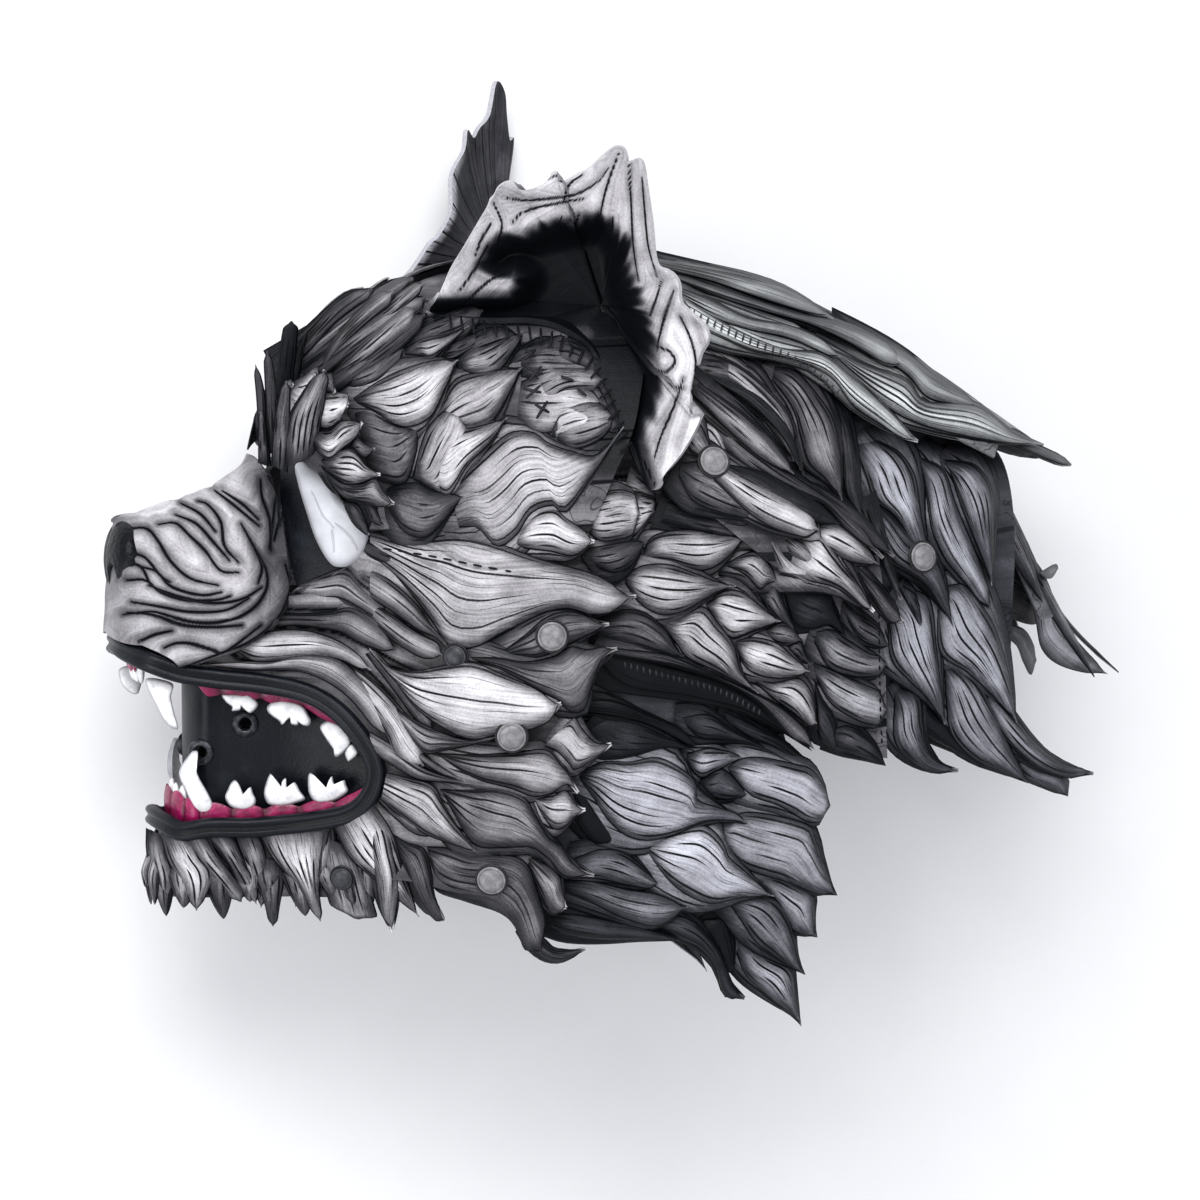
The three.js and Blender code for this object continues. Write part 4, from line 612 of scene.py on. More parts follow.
        (0.6, 3, 5, 7, [817, 631, 832, 629, 848, 639, 870, 653, 886, 655], [814, 642, 828, 667, 848, 676,
         870, 678, 888, 673]),
        (0.75, 4, 5, 7.5, [814, 662, 835, 671, 860, 682, 886, 693], [817, 682, 832, 705, 860, 722, 887, 727]),
        (0.45, 4, 5, 7, [832, 729, 848, 725, 864, 734, 877, 747, 886, 765], [830, 743, 848, 752, 870, 760,
         886, 767]),
        (0.3, 2, 4, 6, [814, 676, 823, 698, 835, 718, 837, 747], [817, 720, 819, 738, 826, 745, 836, 752]),
        (0.55, 3, 5, 7, [843, 600, 860, 615, 877, 626, 888, 644], [848, 622, 861, 640, 877, 647, 889, 648]),
    ],
    "nape": [
        (0.9, 1, 0, 0, [995, 492, 1009, 522, 1024, 539], [994, 539, 1005, 539, 1023, 544]),
        (0.35, 5, 0, 0, [997, 540, 1019, 546, 1036, 566, 1044, 581], [994, 609, 1009, 618, 1036, 624, 1043,
         600]),
        (0.85, 2, 0, 0, [1021, 545, 1041, 568, 1053, 595, 1060, 619, 1084, 648, 1108, 673], [1024, 566, 1031,
         600, 1036, 624, 1041, 648, 1055, 663, 1080, 672, 1108, 675]),
        (0.5, 2, 0, 0, [997, 621, 1024, 629, 1037, 651], [997, 631, 1017, 646, 1024, 663, 1031, 675, 1036,
         669]),
        (0.8, 0, 0, 0, [1040, 572, 1055, 564, 1059, 568], [1046, 577, 1052, 578, 1058, 569]),
    ],
    "throat": [
        (0.15, 6, 1, 4, [582, 700, 614, 700, 645, 713, 677, 727, 695, 740], [582, 713, 609, 717, 641, 723,
         675, 738, 696, 751]),
        (0.22, 5, 2, 5, [609, 719, 637, 723, 666, 736, 695, 751], [585, 732, 595, 757, 612, 761, 635, 757,
         666, 748, 694, 751]),
        (0.45, 3, 2, 6, [683, 717, 708, 714, 729, 727, 750, 740, 772, 751, 795, 764], [687, 727, 700, 738,
         723, 740, 750, 744, 795, 764]),
        (0.8, 3, 1, 4, [687, 753, 708, 748, 729, 751, 744, 757], [685, 763, 700, 778, 715, 772, 742, 758]),
        (0.8, 4, 3, 8, [727, 767, 742, 758, 763, 757, 793, 763, 812, 769, 824, 786, 831, 805], [729, 772,
         750, 795, 776, 805, 793, 814, 807, 822, 820, 822, 830, 807], 0, 5),
        (0.35, 3, 1, 4, [725, 711, 750, 723, 782, 740, 807, 761, 814, 769], [727, 725, 750, 740, 772, 748,
         795, 763, 809, 771]),
        (0.75, 8, 2, 9, [580, 771, 603, 761, 631, 761, 658, 757, 683, 769, 696, 782, 698, 799, 719, 807, 740,
         814, 751, 825], [579, 780, 593, 799, 609, 822, 628, 837, 649, 841, 675, 835, 704, 823, 729, 821,
         750, 826], 0, 5),
        (0.5, 3, 1, 5, [700, 780, 719, 769, 729, 772, 747, 793], [698, 795, 715, 799, 729, 800, 747, 797]),
        (0.7, 5, 2, 8, [706, 822, 729, 821, 742, 812, 772, 814, 808, 824, 815, 837, 824, 864, 838, 895],
         [719, 826, 725, 847, 740, 866, 761, 875, 788, 883, 812, 893, 837, 896], 0, 4),
        (0.85, 5, 3, 9, [643, 845, 666, 835, 692, 826, 708, 826, 723, 841, 729, 856, 742, 868, 759, 883, 774,
         896], [645, 849, 658, 868, 675, 887, 696, 900, 715, 904, 742, 898, 774, 897], 0, 5),
        (0.75, 3, 1, 7, [746, 870, 772, 875, 797, 885, 812, 894, 815, 910, 814, 927, 818, 937], [761, 887,
         774, 902, 788, 923, 795, 932, 817, 938]),
        (0.6, 4, 2, 7, [727, 902, 750, 895, 774, 898, 788, 915, 795, 938, 799, 963, 806, 974], [729, 904,
         742, 923, 755, 942, 772, 955, 790, 967, 805, 976], 0, 4),
        (0.75, 4, 0, 5, [742, 938, 767, 957, 790, 969, 796, 995, 802, 1025], [736, 953, 746, 976, 769, 997,
         793, 1016, 801, 1028]),
        (0.45, 3, 1, 6, [658, 924, 675, 915, 696, 923, 715, 944, 727, 969, 733, 986, 745, 997], [658, 927,
         679, 938, 700, 948, 715, 965, 721, 988, 730, 999, 744, 999], 2),
        (0.12, 2, 0, 2, [706, 919, 725, 921, 734, 953, 734, 974], [700, 927, 713, 948, 725, 972]),
        (0.6, 4, 2, 6, [576, 857, 601, 849, 624, 852, 645, 868, 659, 883], [563, 879, 593, 879, 624, 885,
         649, 889, 659, 884]),
        (0.6, 4, 1, 6, [563, 879, 593, 881, 628, 889, 658, 894, 688, 907], [563, 892, 593, 904, 624, 919,
         658, 926, 688, 908]),
        (0.4, 2, 0, 3, [551, 913, 582, 915, 624, 923, 658, 932, 679, 940], [551, 927, 572, 936, 603, 940,
         649, 940, 679, 942]),
        (0.2, 3, 0, 3, [582, 780, 595, 805, 609, 826, 624, 837], [563, 801, 578, 826, 595, 843, 622, 845]),
    ],
    "brow": [
        (0.85, 3, 17, 19, [314, 394, 332, 392, 352, 393], [313, 428, 330, 428, 343, 417], 2, 3),
        (0.85, 5, 18, 21, [312, 430, 330, 430, 343, 420, 362, 422], [311, 444, 328, 461, 343, 449, 357, 437,
         362, 423], 2, 3),
        (0.6, 1, 17, 20, [349, 449, 356, 437, 364, 443, 375, 449], [353, 451, 364, 458, 370, 455, 375, 449],
         2, 2),
        (0.85, 6, 18, 21, [321, 460, 337, 451, 353, 449, 366, 465, 380, 474], [328, 472, 345, 484, 360, 484,
         370, 480, 380, 475], 2, 3),
        (0.65, 7, 17, 20, [322, 467, 343, 482, 364, 482, 375, 476, 383, 490, 394, 503], [328, 480, 343, 497,
         360, 503, 376, 507, 387, 507, 394, 504], 4, 3),
        (0.5, 2, 15, 17, [343, 501, 357, 503, 364, 515, 369, 534], [345, 509, 353, 524, 364, 534, 368, 536],
         1, 2),
        (0.45, 2, 15, 17, [363, 501, 374, 503, 383, 526], [366, 507, 372, 522, 383, 527], 1, 2),
        (0.8, 6, 18, 21, [293, 382, 305, 375, 318, 367, 317, 394], [282, 405, 286, 423, 295, 446, 305, 448,
         313, 425], 0, 4),
        (0.7, 1, 18, 20, [318, 367, 326, 373, 333, 375, 335, 392], [316, 392, 324, 392, 334, 393], 2, 2),
        (0.8, 1, 18, 20, [284, 384, 291, 379, 293, 384], [282, 402, 288, 394, 292, 386], 1, 2),
        (0.3, 4, 15, 17, [280, 405, 284, 432, 291, 444, 303, 449], [280, 461, 288, 455, 295, 453, 305, 451],
         0, 2),
        (0.5, 2, 13, 16, [303, 451, 322, 461, 328, 471, 337, 495], [304, 459, 316, 471, 326, 486, 336, 496],
         0, 2),
    ],
    "brow_bundle": [
        (0.7, 2, 0, 2, [261, 461, 258, 429, 256, 397, 253, 365], [272, 467, 267, 429, 265, 393, 258, 364], 0,
         1.5),
        (0.8, 2, 2, 3, [258, 463, 258, 441, 258, 411], [269, 467, 267, 437, 264, 411], 0, 1.5),
        (0.6, 3, 0, 2, [268, 449, 265, 393, 263, 352], [280, 453, 277, 393, 271, 349], 0, 1.5),
        (0.16, 3, 0, 2, [275, 393, 279, 352, 284, 321], [292, 393, 297, 348, 299, 321], 0, 1.5),
        (0.2, 2, 0, 2, [292, 381, 296, 352, 304, 332], [300, 381, 304, 352, 309, 332], 0, 1),
        (0.75, 3, 3, 5, [271, 465, 274, 421, 282, 380], [288, 473, 290, 429, 291, 381], 0, 1.5),
        (0.72, 6, 3, 6, [283, 469, 287, 421, 304, 389, 319, 369], [316, 453, 322, 421, 326, 397, 331, 371],
         1, 2),
    ],
    "chin": [
        (0.72, 4, 0, 1, [233, 833, 243, 859, 253, 883, 259, 907], [260, 833, 267, 859, 270, 883, 263, 909],
         0, 2.6),
        (0.72, 4, 0, 1, [280, 833, 284, 859, 291, 883, 293, 906], [308, 833, 308, 859, 304, 886, 298, 908],
         0, 2.6),
        (0.66, 4, 0, 1, [349, 845, 352, 869, 359, 893, 365, 917], [376, 845, 379, 869, 376, 893, 370, 918],
         0, 2.4),
        (0.75, 4, 0, 1, [294, 824, 301, 852, 308, 876, 301, 900], [335, 824, 335, 852, 325, 879, 306, 901],
         0, 2.6),
        (0.8, 4, 0.5, 3, [146, 828, 146, 850, 151, 879, 162, 901], [162, 835, 168, 859, 174, 879, 167, 902],
         0, 2.6),
        (0.72, 4, 0.5, 3, [202, 833, 224, 860, 241, 889, 255, 904], [233, 833, 244, 859, 257, 883, 258, 905],
         0, 2.6),
        (0.85, 4, 1, 4, [160, 834, 167, 860, 181, 884, 194, 911], [186, 834, 203, 857, 214, 876, 199, 911],
         0, 2.6),
        (0.75, 4, 0.5, 3, [178, 833, 195, 860, 210, 877, 234, 904], [208, 833, 220, 857, 239, 883, 248, 900],
         0, 2.6),
        (0.6, 3, 0.5, 3, [254, 857, 257, 883, 264, 903, 269, 926], [284, 862, 284, 883, 280, 906, 277, 927],
         0, 2.6),
        (0.62, 5, 0.5, 2.5, [321, 835, 321, 865, 325, 889, 332, 913], [349, 848, 366, 876, 374, 903, 380,
         925], 0, 2.2),
        (0.86, 7, 1.5, 4, [258, 833, 273, 859, 294, 883, 317, 921], [330, 831, 323, 865, 320, 893, 324, 922],
         0, 2.6),
        (0.55, 4, 1, 3, [366, 865, 371, 886, 379, 910, 390, 931], [400, 859, 400, 883, 399, 906, 394, 931],
         0, 2.6),
        (0.62, 5, 1, 3.5, [395, 845, 401, 876, 415, 903, 431, 920], [428, 845, 431, 876, 436, 903, 444, 917],
         0, 2.6),
        (0.88, 7, 2.5, 5, [334, 828, 349, 857, 373, 879, 418, 917], [374, 804, 392, 831, 403, 865, 419, 918],
         0, 2.6),
    ],
}


def drawn_lock(pale, lines, root, tip, upper, lower, curl=0, swell=3.5):
    upper, lower = (list(zip(edge[::2], edge[1::2])) for edge in (upper, lower))
    return upper, lower, pale, lines, (root, tip), curl, swell


LOCKS = {place: [drawn_lock(*row) for row in rows] for place, rows in LOCK_ROWS.items()}

# Materials

class Shade:
    """A value or vector in a material, used in sums like a number."""

    def __init__(self, material, socket):
        self.material = material
        self.socket = socket

    def sum(self, operation, *others):
        return self.material.node("ShaderNodeMath", {"operation": operation}, [self, *others])[0]

    def __add__(self, other):
        return self.sum("ADD", other)

    __radd__ = __add__

    def __mul__(self, other):
        return self.sum("MULTIPLY", other)

    __rmul__ = __mul__

    def __sub__(self, other):
        return self.sum("SUBTRACT", other)

    def __rsub__(self, other):
        return self.material.node("ShaderNodeMath", {"operation": "SUBTRACT"}, [other, self])[0]

    def __truediv__(self, other):
        return self.sum("DIVIDE", other)

    def __pow__(self, other):
        return self.sum("POWER", other)

    def held(self):
        """The value kept between 0 and 1."""
        settings = {"operation": "ADD", "use_clamp": True}
        return self.material.node("ShaderNodeMath", settings, [self, 0])[0]

    def ramp(self, low, high):
        """0 below low, 1 above high and a soft slope between."""
        settings = {"interpolation_type": "SMOOTHSTEP"}
        inputs = {"Value": self, "From Min": low, "From Max": high}
        return self.material.node("ShaderNodeMapRange", settings, inputs)[0]


class Material:
    """A leather, metal or paper finish, built up from nodes."""

    def __init__(self, name):
        self.material = bpy.data.materials.new(name)
        self.material.use_nodes = True
        self.nodes = self.material.node_tree.nodes
        self.links = self.material.node_tree.links
        self.shader = self.nodes["Principled BSDF"]

    def node(self, kind, settings=None, inputs=None):
        made = self.nodes.new(kind)
        for key, value in (settings or {}).items():
            if key == "stops":
                ramp = made.color_ramp
                while len(ramp.elements) > 1:
                    ramp.elements.remove(ramp.elements[-1])
                for k, (place, colour) in enumerate(value):
                    stop = ramp.elements[0] if k == 0 else ramp.elements.new(place)
                    stop.position = place
                    stop.color = (*colour, 1)
            else:
                setattr(made, key, value)
        pairs = inputs.items() if isinstance(inputs, dict) else enumerate(inputs or [])
        for key, value in pairs:
            self.feed(made.inputs[key], value)
        return [Shade(self, s) for s in made.outputs]

    def feed(self, socket, value):
        if isinstance(value, Shade):
            self.links.new(value.socket, socket)
        else:
            socket.default_value = value

    def note(self, name):
        """The three values that a piece's mesh carries under this name."""
        vector = self.node("ShaderNodeAttribute", {"attribute_name": name})[1]
        return self.node("ShaderNodeSeparateXYZ", None, [vector])

    def here(self):
        return self.node("ShaderNodeTexCoord")[3]

    def vector(self, x, y, z):
        return self.node("ShaderNodeCombineXYZ", None, [x, y, z])[0]

    def noise(self, vector, scale, detail=3.0, roughness=0.55):
        values = {"Vector": vector, "Scale": scale, "Detail": detail, "Roughness": roughness}
        return self.node("ShaderNodeTexNoise", None, values)[0]

    def chance(self, value):
        return self.node("ShaderNodeTexWhiteNoise", {"noise_dimensions": "1D"}, {"W": value})[0]

    def colours(self, value, stops):
        return self.node("ShaderNodeValToRGB", {"stops": stops}, [value])[0]

    def blend(self, a, b, share, kind="MIX"):
        settings = {"data_type": "RGBA", "blend_type": kind}
        return self.node("ShaderNodeMix", settings, {0: share, 6: a, 7: b})[2]

    def bump(self, height, depth, strength=1.0):
        values = {"Strength": strength, "Distance": depth, "Height": height}
        return self.node("ShaderNodeBump", None, values)[0]

    def finish(self, colour, roughness, normal=None, **others):
        self.feed(self.shader.inputs["Base Color"], colour)
        self.feed(self.shader.inputs["Roughness"], roughness)
        if normal is not None:
            self.feed(self.shader.inputs["Normal"], normal)
        for name, value in others.items():
            self.feed(self.shader.inputs[name.replace("_", " ")], value)
        return self.material


GREYS = [
    (0.0, (0.0005, 0.001, 0.002)), (0.18, (0.006, 0.0065, 0.009)), (0.38, (0.05, 0.049, 0.055)),
    (0.58, (0.19, 0.184, 0.194)), (0.8, (0.43, 0.418, 0.438)), (1.0, (0.7, 0.685, 0.715)),
]
CRIMSONS = [
    (0.0, (0.012, 0.0, 0.005)), (0.4, (0.12, 0.001, 0.03)), (0.7, (0.32, 0.003, 0.085)),
    (1.0, (0.55, 0.03, 0.18)),
]
TOOTH_WHITES = [
    (0.0, (0.02, 0.02, 0.024)), (0.5, (0.35, 0.35, 0.38)), (0.8, (0.64, 0.64, 0.67)),
    (1.0, (0.84, 0.84, 0.85)),
]
PEARLS = [
    (0.0, (0.06, 0.06, 0.075)), (0.5, (0.34, 0.34, 0.37)), (0.8, (0.6, 0.61, 0.65)),
    (1.0, (0.82, 0.83, 0.86)),
]

# Widths on a lock, in millimetres, and how many fine hairs go with each carved line
LINE_HALF = 0.6
LINE_SOFT = 0.28
HAIR_HALF = 0.3
HAIR_SOFT = 0.25
HAIRS_PER_LINE = 3.0
OUTLINE = 0.8
OUTLINE_SOFT = 0.45
SIDE_SHADE = 8.0

TINT_GREEN = (0.90, 1.0, 0.94, 1)
TINT_BLUE = (0.86, 0.91, 1.0, 1)


def carved_leather():
    """Veg-tan leather painted pale, darker to the root and edges as antiquing stain and as painted shade where the
    locks overlap, lighter at the tip as a painted highlight, with carved lines.
    """
    m = Material("carved fur leather")
    across, run, half = m.note("lock_map")
    seed, tone, lines = m.note("lock_make")
    cut, rim, tint = m.note("lock_work")
    here = m.here()
    grain = m.noise(here, 900, 2)
    mottle = m.noise(here, 110, 4)
    cloud = m.noise(here, 38, 2)
    offside = across * half
    strand = m.noise(m.vector(run * 2.6, offside / 1.5, seed * 50), 1.0, 3, 0.65)
    sway = m.noise(m.vector(run * 2.2, seed * 9, 0.0), 1.0, 1)
    step = ((across + (sway - 0.5) * 0.09) * 0.5 + 0.5) * lines
    cell = step.sum("FLOOR")
    off = (step - cell - 0.5).sum("ABSOLUTE") * half * 2 / lines.sum("MAXIMUM", 1)
    first = m.chance(cell + seed * 57.3) * 0.42 + 0.03
    last = first + 0.26 + m.chance(cell * 3.1 + seed * 91.7 + 5) * 0.38
    gate = run.ramp(first, first + 0.12) * (1 - run.ramp(last - 0.2, last)) * lines.ramp(0.2, 0.8)
    carved = ((gate * LINE_HALF - off) / LINE_SOFT).held() * gate.ramp(0.02, 0.2)
    hairs = lines * HAIRS_PER_LINE
    hair_step = ((across + (sway - 0.5) * 0.14 + (cloud - 0.5) * 0.08) * 0.5 + 0.5) * hairs
    hair_cell = hair_step.sum("FLOOR")
    hair_off = (hair_step - hair_cell - 0.5).sum("ABSOLUTE") * half * 2 / hairs.sum("MAXIMUM", 1)
    hair_from = m.chance(hair_cell * 1.7 + seed * 33.1) * 0.75
    hair_gate = run.ramp(hair_from, hair_from + 0.08) * (1 - run.ramp(hair_from + 0.16, hair_from + 0.3))
    hair = ((hair_gate * HAIR_HALF - hair_off) / HAIR_SOFT).held() * hair_gate
    edge = (1 - across.sum("ABSOLUTE")) * half
    outline = ((OUTLINE - edge) / OUTLINE_SOFT).held() * half.ramp(0.5, 1.5) * (1 - rim)
    # Darker towards each lock's edges and root, partly antiquing stain and partly painted shade where the locks
    # overlap; the tip is lighter as a painted highlight.
    side = 1 - edge.ramp(0.0, SIDE_SHADE)
    root = 1 - run.ramp(-0.05, 0.36)
    tip = run.ramp(0.8, 1.0)
    light = tone * 0.96 + (cloud - 0.5) * 0.42
    light = light * (1 - root * 0.72) * (1 - side * 0.56)
    light = light + ((strand - 0.5) * 0.62 + (mottle - 0.5) * 0.3 + (grain - 0.5) * 0.26) * (light + 0.2)
    light = light + tip * 0.14 * tone
    light = light * (1 - hair * 0.45) * (1 - carved * 0.97) * (1 - outline * 0.92) * (1 - cut * 0.97)
    edged = m.blend(light, tone * (0.45 + run * 0.6) + (grain - 0.5) * 0.3, rim)
    colour = m.colours(edged, GREYS)
    green = m.blend(colour, TINT_GREEN, tint.held(), "MULTIPLY")
    blue = m.blend(green, TINT_BLUE, (0 - tint).held(), "MULTIPLY")
    height = strand * 0.22 + grain * 0.12 + mottle * 0.2 - carved - outline * 0.5 - cut * 0.6
    rough = 0.5 + (grain - 0.5) * 0.25 + cut * 0.1
    return m.finish(blue, rough, m.bump(height, 0.0013, 0.9), Specular_IOR_Level=0.15)


def satin_leather():
    m = Material("black satin leather")
    cut, rim = m.note("lock_work")[:2]
    here = m.here()
    grain = m.noise(here, 700, 3)
    wear = m.noise(here, 60, 4)
    # Lighter where worn, along cut edges, and as painted highlights on the crests of the lip band's rolls.
    wear_and_highlight = wear.ramp(0.52, 0.75) * 0.6 + rim * 0.3
    colour = m.blend((0.002, 0.003, 0.006, 1), (0.012, 0.015, 0.021, 1), wear_and_highlight)
    dark = m.blend(colour, (0.002, 0.002, 0.003, 1), cut)
    height = grain * 0.5 + wear * 0.6 - cut * 1.5
    return m.finish(dark, 0.4 + (wear - 0.5) * 0.25, m.bump(height, 0.0004), Specular_IOR_Level=0.2)


def nose_leather():
    m = Material("pebbled nose leather")
    cut = m.note("lock_work")[0]
    here = m.here()
    pebble = m.node("ShaderNodeTexVoronoi", {"feature": "F1"}, {"Vector": here, "Scale": 420.0})[0]
    wear = m.noise(here, 90, 4)
    colour = m.blend((0.002, 0.0025, 0.004, 1), (0.02, 0.022, 0.027, 1), wear.ramp(0.5, 0.8) * 0.6)
    # The cut note darkens the nostrils, as painted shade in their hollows.
    dark = m.blend(colour, (0.001, 0.001, 0.002, 1), cut)
    height = 1 - pebble * 0.8 - cut
    return m.finish(dark, 0.38 + (wear - 0.5) * 0.3, m.bump(height, 0.0005, 0.7), Specular_IOR_Level=0.14)


def gum_leather():
    m = Material("crimson gum leather")
    cut = m.note("lock_work")[0]
    here = m.here()
    wash = m.noise(here, 170, 4)
    fine = m.noise(here, 600, 2)
    colour = m.colours((wash * 0.9 + 0.1) * (1 - cut * 0.85), CRIMSONS)
    bump = m.bump(wash + fine * 0.3 - cut, 0.0007)
    return m.finish(colour, 0.38 + (fine - 0.5) * 0.2, bump, Specular_IOR_Level=0.5)


def tooth_leather():
    m = Material("white tooth leather")
    run = m.note("lock_map")[1]
    cut = m.note("lock_work")[0]
    here = m.here()
    wash = m.noise(here, 260, 4)
    grain = m.noise(here, 1200, 2)
    # Painted shade: darker towards the root of each incisor and a little towards the rim of each drawn tooth; the wash
    # greys them at random.
    ground = 1.0 - (1 - run.ramp(0.0, 0.5)) * 0.3 - (wash - 0.45).held() * 0.9
    colour = m.colours((ground + (grain - 0.5) * 0.1) * (1 - cut * 0.97), TOOTH_WHITES)
    bump = m.bump(wash * 0.4 + grain * 0.15 - cut, 0.0008)
    return m.finish(colour, 0.5 + (grain - 0.5) * 0.15, bump, Specular_IOR_Level=0.4)


def eye_leather():
    m = Material("pearly eye leather")
    run = m.note("lock_map")[1]
    cut = m.note("lock_work")[0]
    here = m.here()
    veil = m.noise(here, 55, 3)
    fine = m.noise(here, 700, 3)
    # Painted shade: darker in the drawn folds and towards the rim of the domed eye.
    shade = (veil * 0.55 + 0.5 + (fine - 0.5) * 0.06) * (1 - cut * 0.16) * (0.7 + run * 0.25)
    rough = 0.34 + (fine - 0.5) * 0.15
    bump = m.bump(veil * 0.3 + fine * 0.1 - cut * 0.5, 0.0008)
    return m.finish(m.colours(shade, PEARLS), rough, bump, Specular_IOR_Level=0.45, Coat_Weight=0.15)


def capped_metal(name, base, worn, rough, metallic):
    m = Material(name)
    cut = m.note("lock_work")[0]
    here = m.here()
    wear = m.noise(here, 330, 4)
    scratch = m.noise(m.node("ShaderNodeMapping", None, {"Vector": here, "Scale": (1, 9, 1)})[0], 420, 2)
    colour = m.blend((*base, 1), (*worn, 1), wear.ramp(0.35, 0.75))
    dark = m.blend(colour, (0.006, 0.006, 0.008, 1), cut)
    bump = m.bump(wear + scratch * 0.3, 0.0003)
    return m.finish(dark, rough + (scratch - 0.5) * 0.3, bump, Metallic=metallic)


MATERIALS = {
    "fur_leather": carved_leather(),
    "black_leather": satin_leather(),
    "nose_leather": nose_leather(),
    "gum": gum_leather(),
    "tooth": tooth_leather(),
    "eye": eye_leather(),
    "snap_cap": capped_metal("painted snap cap", (0.15, 0.147, 0.155), (0.27, 0.263, 0.277), 0.5, 0.1),
    "black_snap": capped_metal("black snap cap", (0.012, 0.013, 0.017), (0.04, 0.042, 0.05), 0.42, 0.2),
    "eyelet": capped_metal("blackened eyelet", (0.014, 0.016, 0.02), (0.07, 0.075, 0.085), 0.35, 0.6),
}


def place_piece(piece, node, slot):
    made = piece.build(node + "_leather" if "leather" in slot else node + "_piece", MATERIALS[slot])
    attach(made, "root")
    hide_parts(node)


# Drawn cuts: a soft groove and its black line, from lines drawn on the sheet

def cut_field(uv, cuts, half=0.34):
    """How deep each point lies in the nearest cut, and its distance from the cuts."""
    flat = uv.reshape(-1, 2)
    nearest = np.full(len(flat), 99.0)
    depth = np.zeros(len(flat))
    for drawing in cuts:
        line = curve(drawn(drawing), 4 * len(drawing) + 1)
        low, high = line.min(0) - 30, line.max(0) + 30
        near = np.flatnonzero(np.all((flat > low) & (flat < high), axis=1))
        if not len(near):
            continue
        p = flat[near]
        best = np.full(len(near), 99.0)
        share = np.zeros(len(near))
        for k in range(len(line) - 1):
            a, d = line[k], line[k + 1] - line[k]
            t = np.clip(((p - a) @ d) / max(d @ d, 1e-9), 0, 1)
            away = np.linalg.norm(p - a - t[:, None] * d, axis=1)
            closer = away < best
            best = np.where(closer, away, best)
            share = np.where(closer, (k + t) / (len(line) - 1), share)
        wide = half * (0.35 + 0.95 * np.sin(np.pi * np.clip(share * 0.9 + 0.07, 0, 1)))
        depth[near] = np.maximum(depth[near], 1 - smooth(best / wide, 0.7, 1.5))
        nearest[near] = np.minimum(nearest[near], best)
    return depth.reshape(uv.shape[:-1]), nearest.reshape(uv.shape[:-1])


def mirrored(grid):
    """The same points with the far half brought to the near side."""
    near = grid.copy()
    near[..., 2] = np.abs(near[..., 2])
    return near


def line_at(points, t):
    """Points of a smooth line, the given points lying at even steps of t."""
    p = np.array(points, float)
    p = np.vstack([2 * p[0] - p[1], p, 2 * p[-1] - p[-2]])
    at = np.clip(np.asarray(t, float), 0, 1) * (len(points) - 1)
    k = np.clip(at.astype(int), 0, len(points) - 2)
    f = (at - k)[..., None]
    return between(p, k, f)


def laid(points):
    return np.stack(on_skin(np.array(points, float), 3.0), axis=-1)


# Grooves tooled into the cheek behind the muzzle and the corner of the mouth

CHEEK_GROOVES = [[(100 + x / 4.9, 460 + y / 4.9) for x, y in line] for line in [
    [(920, 640), (950, 655), (1050, 635), (1165, 625)],
    [(880, 740), (1150, 740), (1230, 720), (1380, 790), (1480, 805)],
    [(865, 825), (950, 815), (1050, 825), (1170, 850), (1260, 890), (1400, 970), (1568, 1060)],
    [(720, 880), (850, 905), (950, 895), (1005, 908)],
    [(1000, 890), (1200, 950), (1350, 1080), (1400, 1150)],
    [(640, 940), (700, 980), (800, 995), (1000, 965), (1165, 985)],
    [(865, 1030), (1150, 1035), (1400, 1170)],
    [(1170, 990), (1280, 1060), (1420, 1176)],
    [(1200, 530), (1260, 600), (1400, 695)],
    [(1280, 575), (1450, 680), (1568, 760)],
    [(1215, 675), (1400, 800), (1568, 860)],
    [(1350, 810), (1520, 925)],
    [(1130, 800), (1350, 870), (1420, 910)],
    [(1360, 1000), (1568, 1060)],
    [(885, 530), (905, 590), (880, 680), (820, 760), (740, 850), (640, 930), (540, 930)],
]]

# Panels: a base sheet from its inner edge to its hem, under its locks

PANELS = {
    "cheek": dict(
        lifts=(-1.9, 16), growth=1.2, front=3.5, tuck=7, bulge=14, tone=0.66, sink=0.6, dip=6, trim=0.93,
        grooves=CHEEK_GROOVES,
        edge=[(-117, 4), (-138, -11.5), (-160, -22), (-180, -42), (-208, -57), (-168, -62.5),
              (-142, -70), (-124, -85), (-111.5, -106), (-113.5, -121), (-124, -132)],
        hem=[(8, -20), (2, -34), (-3, -50), (-7, -66), (-10, -82), (-13, -100),
             (-17, -120), (-25, -142), (-45, -170), (-75, -170), (-108, -163)]),
    "side_neck": dict(
        lifts=(3.2, 10.2), settled=(3.2, 7.5), growth=2.6, tone=0.44,
        edge=[(-8, 40), (-12, 22), (-18, 0), (-20, -20), (-20, -44)],
        hem=[(54, 24), (84, -6), (90, -24), (98, -56), (104, -92)]),
    "side_mane": dict(
        lifts=(12.7, 15.5), settled=(12, 15.5), front=8, tuck=9, tone=0.42,
        edge=[(46, 109), (38, 98), (34, 76), (30, 58), (28, 36)],
        hem=[(118, 78), (122, 34), (132, -4), (110, -18), (84, -8)]),
    "flank": dict(
        lifts=(4.5, 4.5), tone=0.5,
        edge=[(86, 0), (108, 2), (136, 4)], hem=[(104, -98), (122, -104), (142, -108)]),
    "back_mane": dict(
        lifts=(0, 0), tone=0.34,
        edge=[(112, 90), (142, 86), (172, 78), (194, 62)],
        hem=[(142, -92), (168, -96), (190, -106), (206, -76)]),
    "throat": dict(
        lifts=(0, 0), tone=0.36,
        edge=[(-26, -48), (-36, -100), (-38, -130), (-40, -160), (-40, -184)],
        hem=[(90, -64), (103, -122), (106, -166), (92, -192), (40, -192)]),
}
BASE_THICK = 3.0
BASE_LINES = 150
FAR_EDGE = 400
